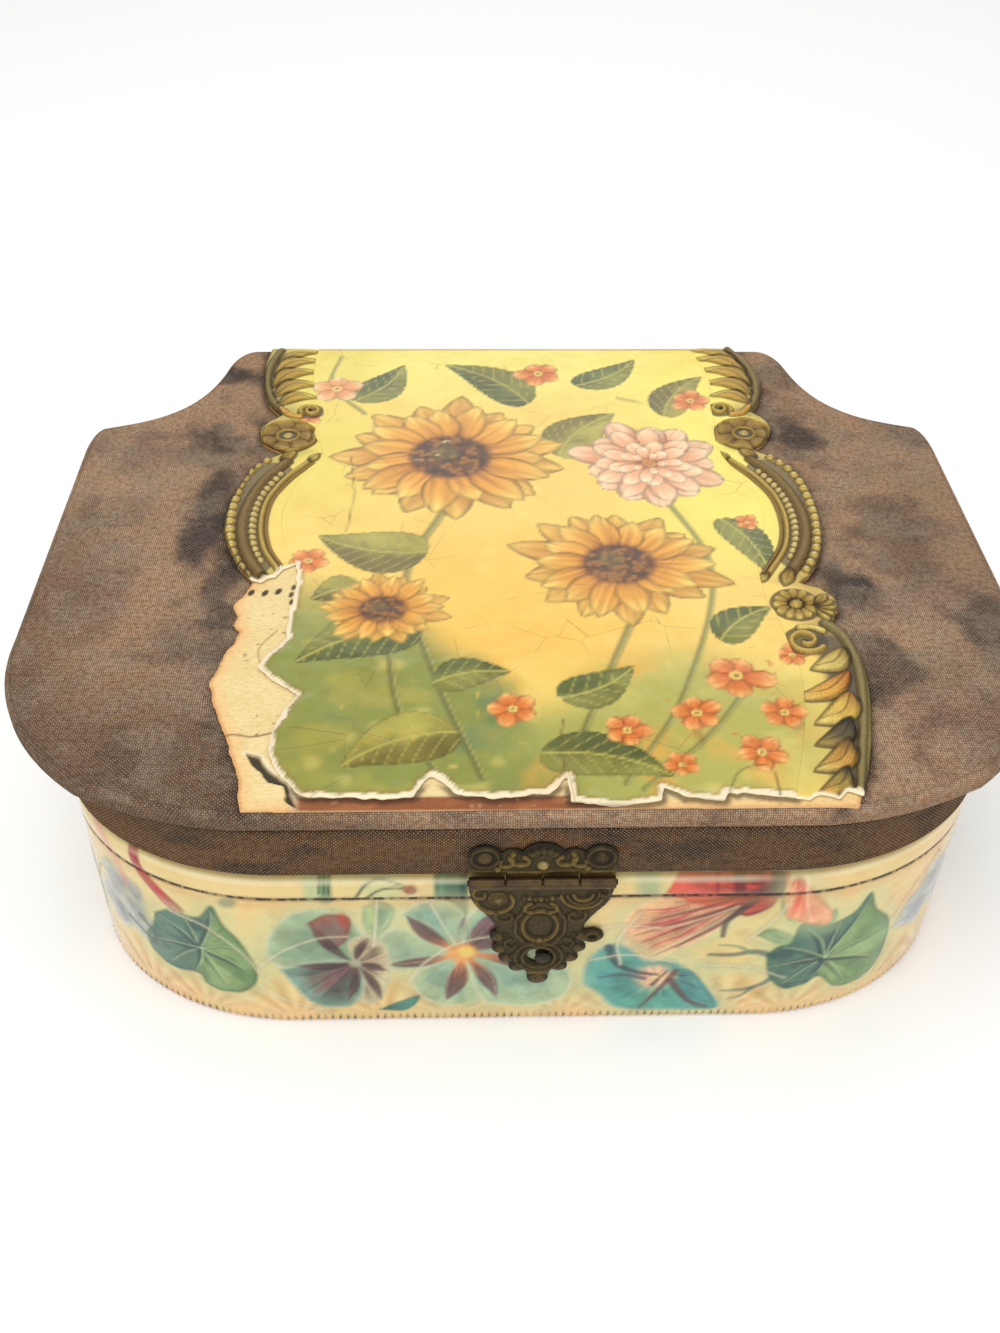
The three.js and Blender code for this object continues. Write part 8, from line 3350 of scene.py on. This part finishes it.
@dataclass
class PleatedWall:
    """A lining wall: satin laid in soft upright pleats over thin wadding."""

    name: str
    node: str
    body: Body
    plan: Plan
    outer: float
    low: float
    high: float
    open_up: bool
    thickness: float = 1.2
    pleat: float = 8.5
    fold: float = 0.5

    def build(self) -> None:
        """Carry the wall's section round the plan, with painted shade in the pleats' valleys.

        The inner face moves by the fold times the sine of the arc over the pleat, sharpened so that
        the valleys are narrow, and fades out at the end that is tucked away.
        """
        arc = np.linspace(0, self.plan.length, 1201)[:-1]
        tall = self.high - self.low
        up = np.linspace(0.0, 1.0, 22)
        back = [(0.0, self.low + tall * share, 0.0) for share in (0.0, 0.5, 0.98)]
        lip = [(0.3, self.high, 0.1), (0.8, self.high - 0.02, 0.4)]
        front = [(self.thickness, self.high - 0.5 - (tall - 0.9) * share, 1.0) for share in up]
        foot = [(0.9, self.low, 0.3)]
        section = back + lip + front + foot
        if not self.open_up:
            section = [(inset, self.high + self.low - z, share) for inset, z, share in section]
        inset, z, share = (np.array(part)[:, None] for part in zip(*section))
        lean = cloud(arc[None] / 3.0, z, 14.0, 2, 7)
        wave = np.sin(math.tau * (arc[None] + 2.2 * lean) / self.pleat_step())
        ridge = (np.abs(wave) ** 0.6 - 0.72) * self.fold
        ends = (self.low - 1.0, self.low + 14.0) if self.open_up else (self.high + 1.0, self.high - 6.0)
        tucked = smooth(*ends, z)
        depth = self.outer + inset + share * ridge * (0.35 + 0.65 * tucked)
        flat = self.plan.at(np.broadcast_to(arc, depth.shape), depth)
        points = np.concatenate([flat, np.broadcast_to(z, depth.shape)[..., None]], -1)
        faces = grid_faces(len(section), len(arc), wrap_rows=True, wrap_columns=True)
        thing = write_mesh(self.name, points.reshape(-1, 3), [faces if self.open_up else faces[:, ::-1]])
        canvas = Canvas(flat[..., 0], flat[..., 1], WHITE)
        # painted shade in the pleats' valleys
        canvas.wash(0.6 * (share * smooth(0.0, -0.5 * self.fold, -ridge) * np.ones_like(depth)).ravel(),
                    (150, 112, 72))
        give_colour(thing, "paint", canvas.colour)
        settle(thing, self.body, "satin", SATIN, self.node)

    def pleat_step(self) -> float:
        """Give the pleat that fits the plan a whole number of times."""
        return self.plan.length / round(self.plan.length / (2 * self.pleat))


def build_linings(body: Plan) -> None:
    """Line the body and the lid with puffed satin.

    Args:
        body: The body's outline.
    """
    PleatedWall("base_lining_satin", "base_lining_wall", Body.BASE, body, 4.9, 5.4, 59.2, True).build()
    PleatedWall("lid_lining_satin", "lid_lining_wall", Body.LID, body, 4.5, 60.6, 76.0, False).build()
    PuffedPad("floor_cushion_satin", "floor_cushion", Body.BASE, body, 6.4, 5.4, 7.0, 4.0).build()
    PuffedPad("lid_pad_satin", "lid_lining_pad", Body.LID, body, 6.0, 76.0, 4.0, 3.4, -1).build()


@dataclass(frozen=True)
class Lamp:
    """A soft area light that faces a point of the box."""

    name: str
    at: tuple[float, float, float]
    size: tuple[float, float]
    power: float
    tone: Colour = (255, 254, 252)

    def build(self, target: tuple[float, float, float] = (0.0, 0.0, 0.04)) -> None:
        """Add the light.

        Args:
            target: The point that it faces, in metres.
        """
        lamp = bpy.data.lights.new(self.name, "AREA")
        lamp.shape = "RECTANGLE"
        lamp.size, lamp.size_y = self.size
        lamp.energy = self.power
        lamp.color = rgba(self.tone)[:3]
        thing = bpy.data.objects.new(self.name, lamp)
        thing.location = self.at
        facing = Vector(target) - Vector(self.at)
        thing.rotation_euler = facing.to_track_quat("-Z", "Y").to_euler()
        bpy.context.scene.collection.objects.link(thing)


@dataclass(frozen=True)
class Studio:
    """Pale floor, soft light and the photograph's camera."""

    camera_at: tuple[float, float, float] = (-0.01644, -0.32536, 0.31555)
    lens: float = 36.87
    pitch: float = 0.7202
    yaw: float = 0.0363
    roll: float = 0.0177
    world: float = 0.48
    lamps: tuple[Lamp, ...] = (
        Lamp("key", (-0.30, -0.20, 1.2), (1.0, 1.0), 6.4),
        Lamp("back", (0.15, 1.05, 0.8), (1.4, 0.4), 2.4),
        Lamp("right", (1.0, -0.35, 0.6), (0.4, 0.8), 1.0),
        Lamp("front", (-0.05, -1.15, 0.62), (1.8, 0.09), 4.6),
    )

    def build(self) -> None:
        """Make the floor, the world, the lights and the camera."""
        corners = np.array([[-2500, -2500, 0], [2500, -2500, 0], [2500, 2500, 0], [-2500, 2500, 0]])
        floor = write_mesh("floor", corners,
                           [np.array([[0, 1, 2, 3]])])
        pale = bpy.data.materials.new("floor_white")
        pale.use_nodes = True
        shader = pale.node_tree.nodes["Principled BSDF"]
        shader.inputs["Base Color"].default_value = (0.97, 0.97, 0.97, 1.0)
        shader.inputs["Emission Color"].default_value = (1.0, 1.0, 1.0, 1.0)
        shader.inputs["Emission Strength"].default_value = 0.14
        shader.inputs["Roughness"].default_value = 0.9
        shader.inputs["Specular IOR Level"].default_value = 0.1
        floor.data.materials.append(pale)
        world = bpy.data.worlds.new("studio")
        world.use_nodes = True
        back = world.node_tree.nodes["Background"]
        back.inputs[0].default_value = (1.0, 1.0, 1.0, 1.0)
        back.inputs[1].default_value = self.world
        scene = bpy.context.scene
        scene.world = world
        scene.view_settings.view_transform = "Standard"
        for lamp in self.lamps:
            lamp.build()
        forth = Vector((math.sin(self.yaw) * math.cos(self.pitch),
                        math.cos(self.yaw) * math.cos(self.pitch), -math.sin(self.pitch)))
        right = Vector((math.cos(self.yaw), -math.sin(self.yaw), 0.0))
        up = right.cross(forth)
        level, lean = math.cos(self.roll), math.sin(self.roll)
        right, up = level * right + lean * up, level * up - lean * right
        lens = bpy.data.cameras.new("camera")
        lens.lens = self.lens
        lens.sensor_width = 36.0
        lens.clip_start = 0.01
        camera = bpy.data.objects.new("camera", lens)
        turned = Matrix((right, up, -forth)).transposed().to_4x4()
        turned.translation = Vector(self.camera_at)
        camera.matrix_world = turned
        scene.collection.objects.link(camera)
        scene.camera = camera


def main() -> None:
    """Build the studio and every piece."""
    logging.basicConfig(level=logging.INFO, format="%(name)s: %(message)s")
    Studio().build()
    body, lid = body_plan(), lid_plan()
    Case(body).build()
    LidTop(lid, body).build()
    Clasp().build()
    BackHinge("left", -55.0).build()
    BackHinge("right", 55.0).build()
    build_linings(body)


if __name__ == "__main__":
    main()
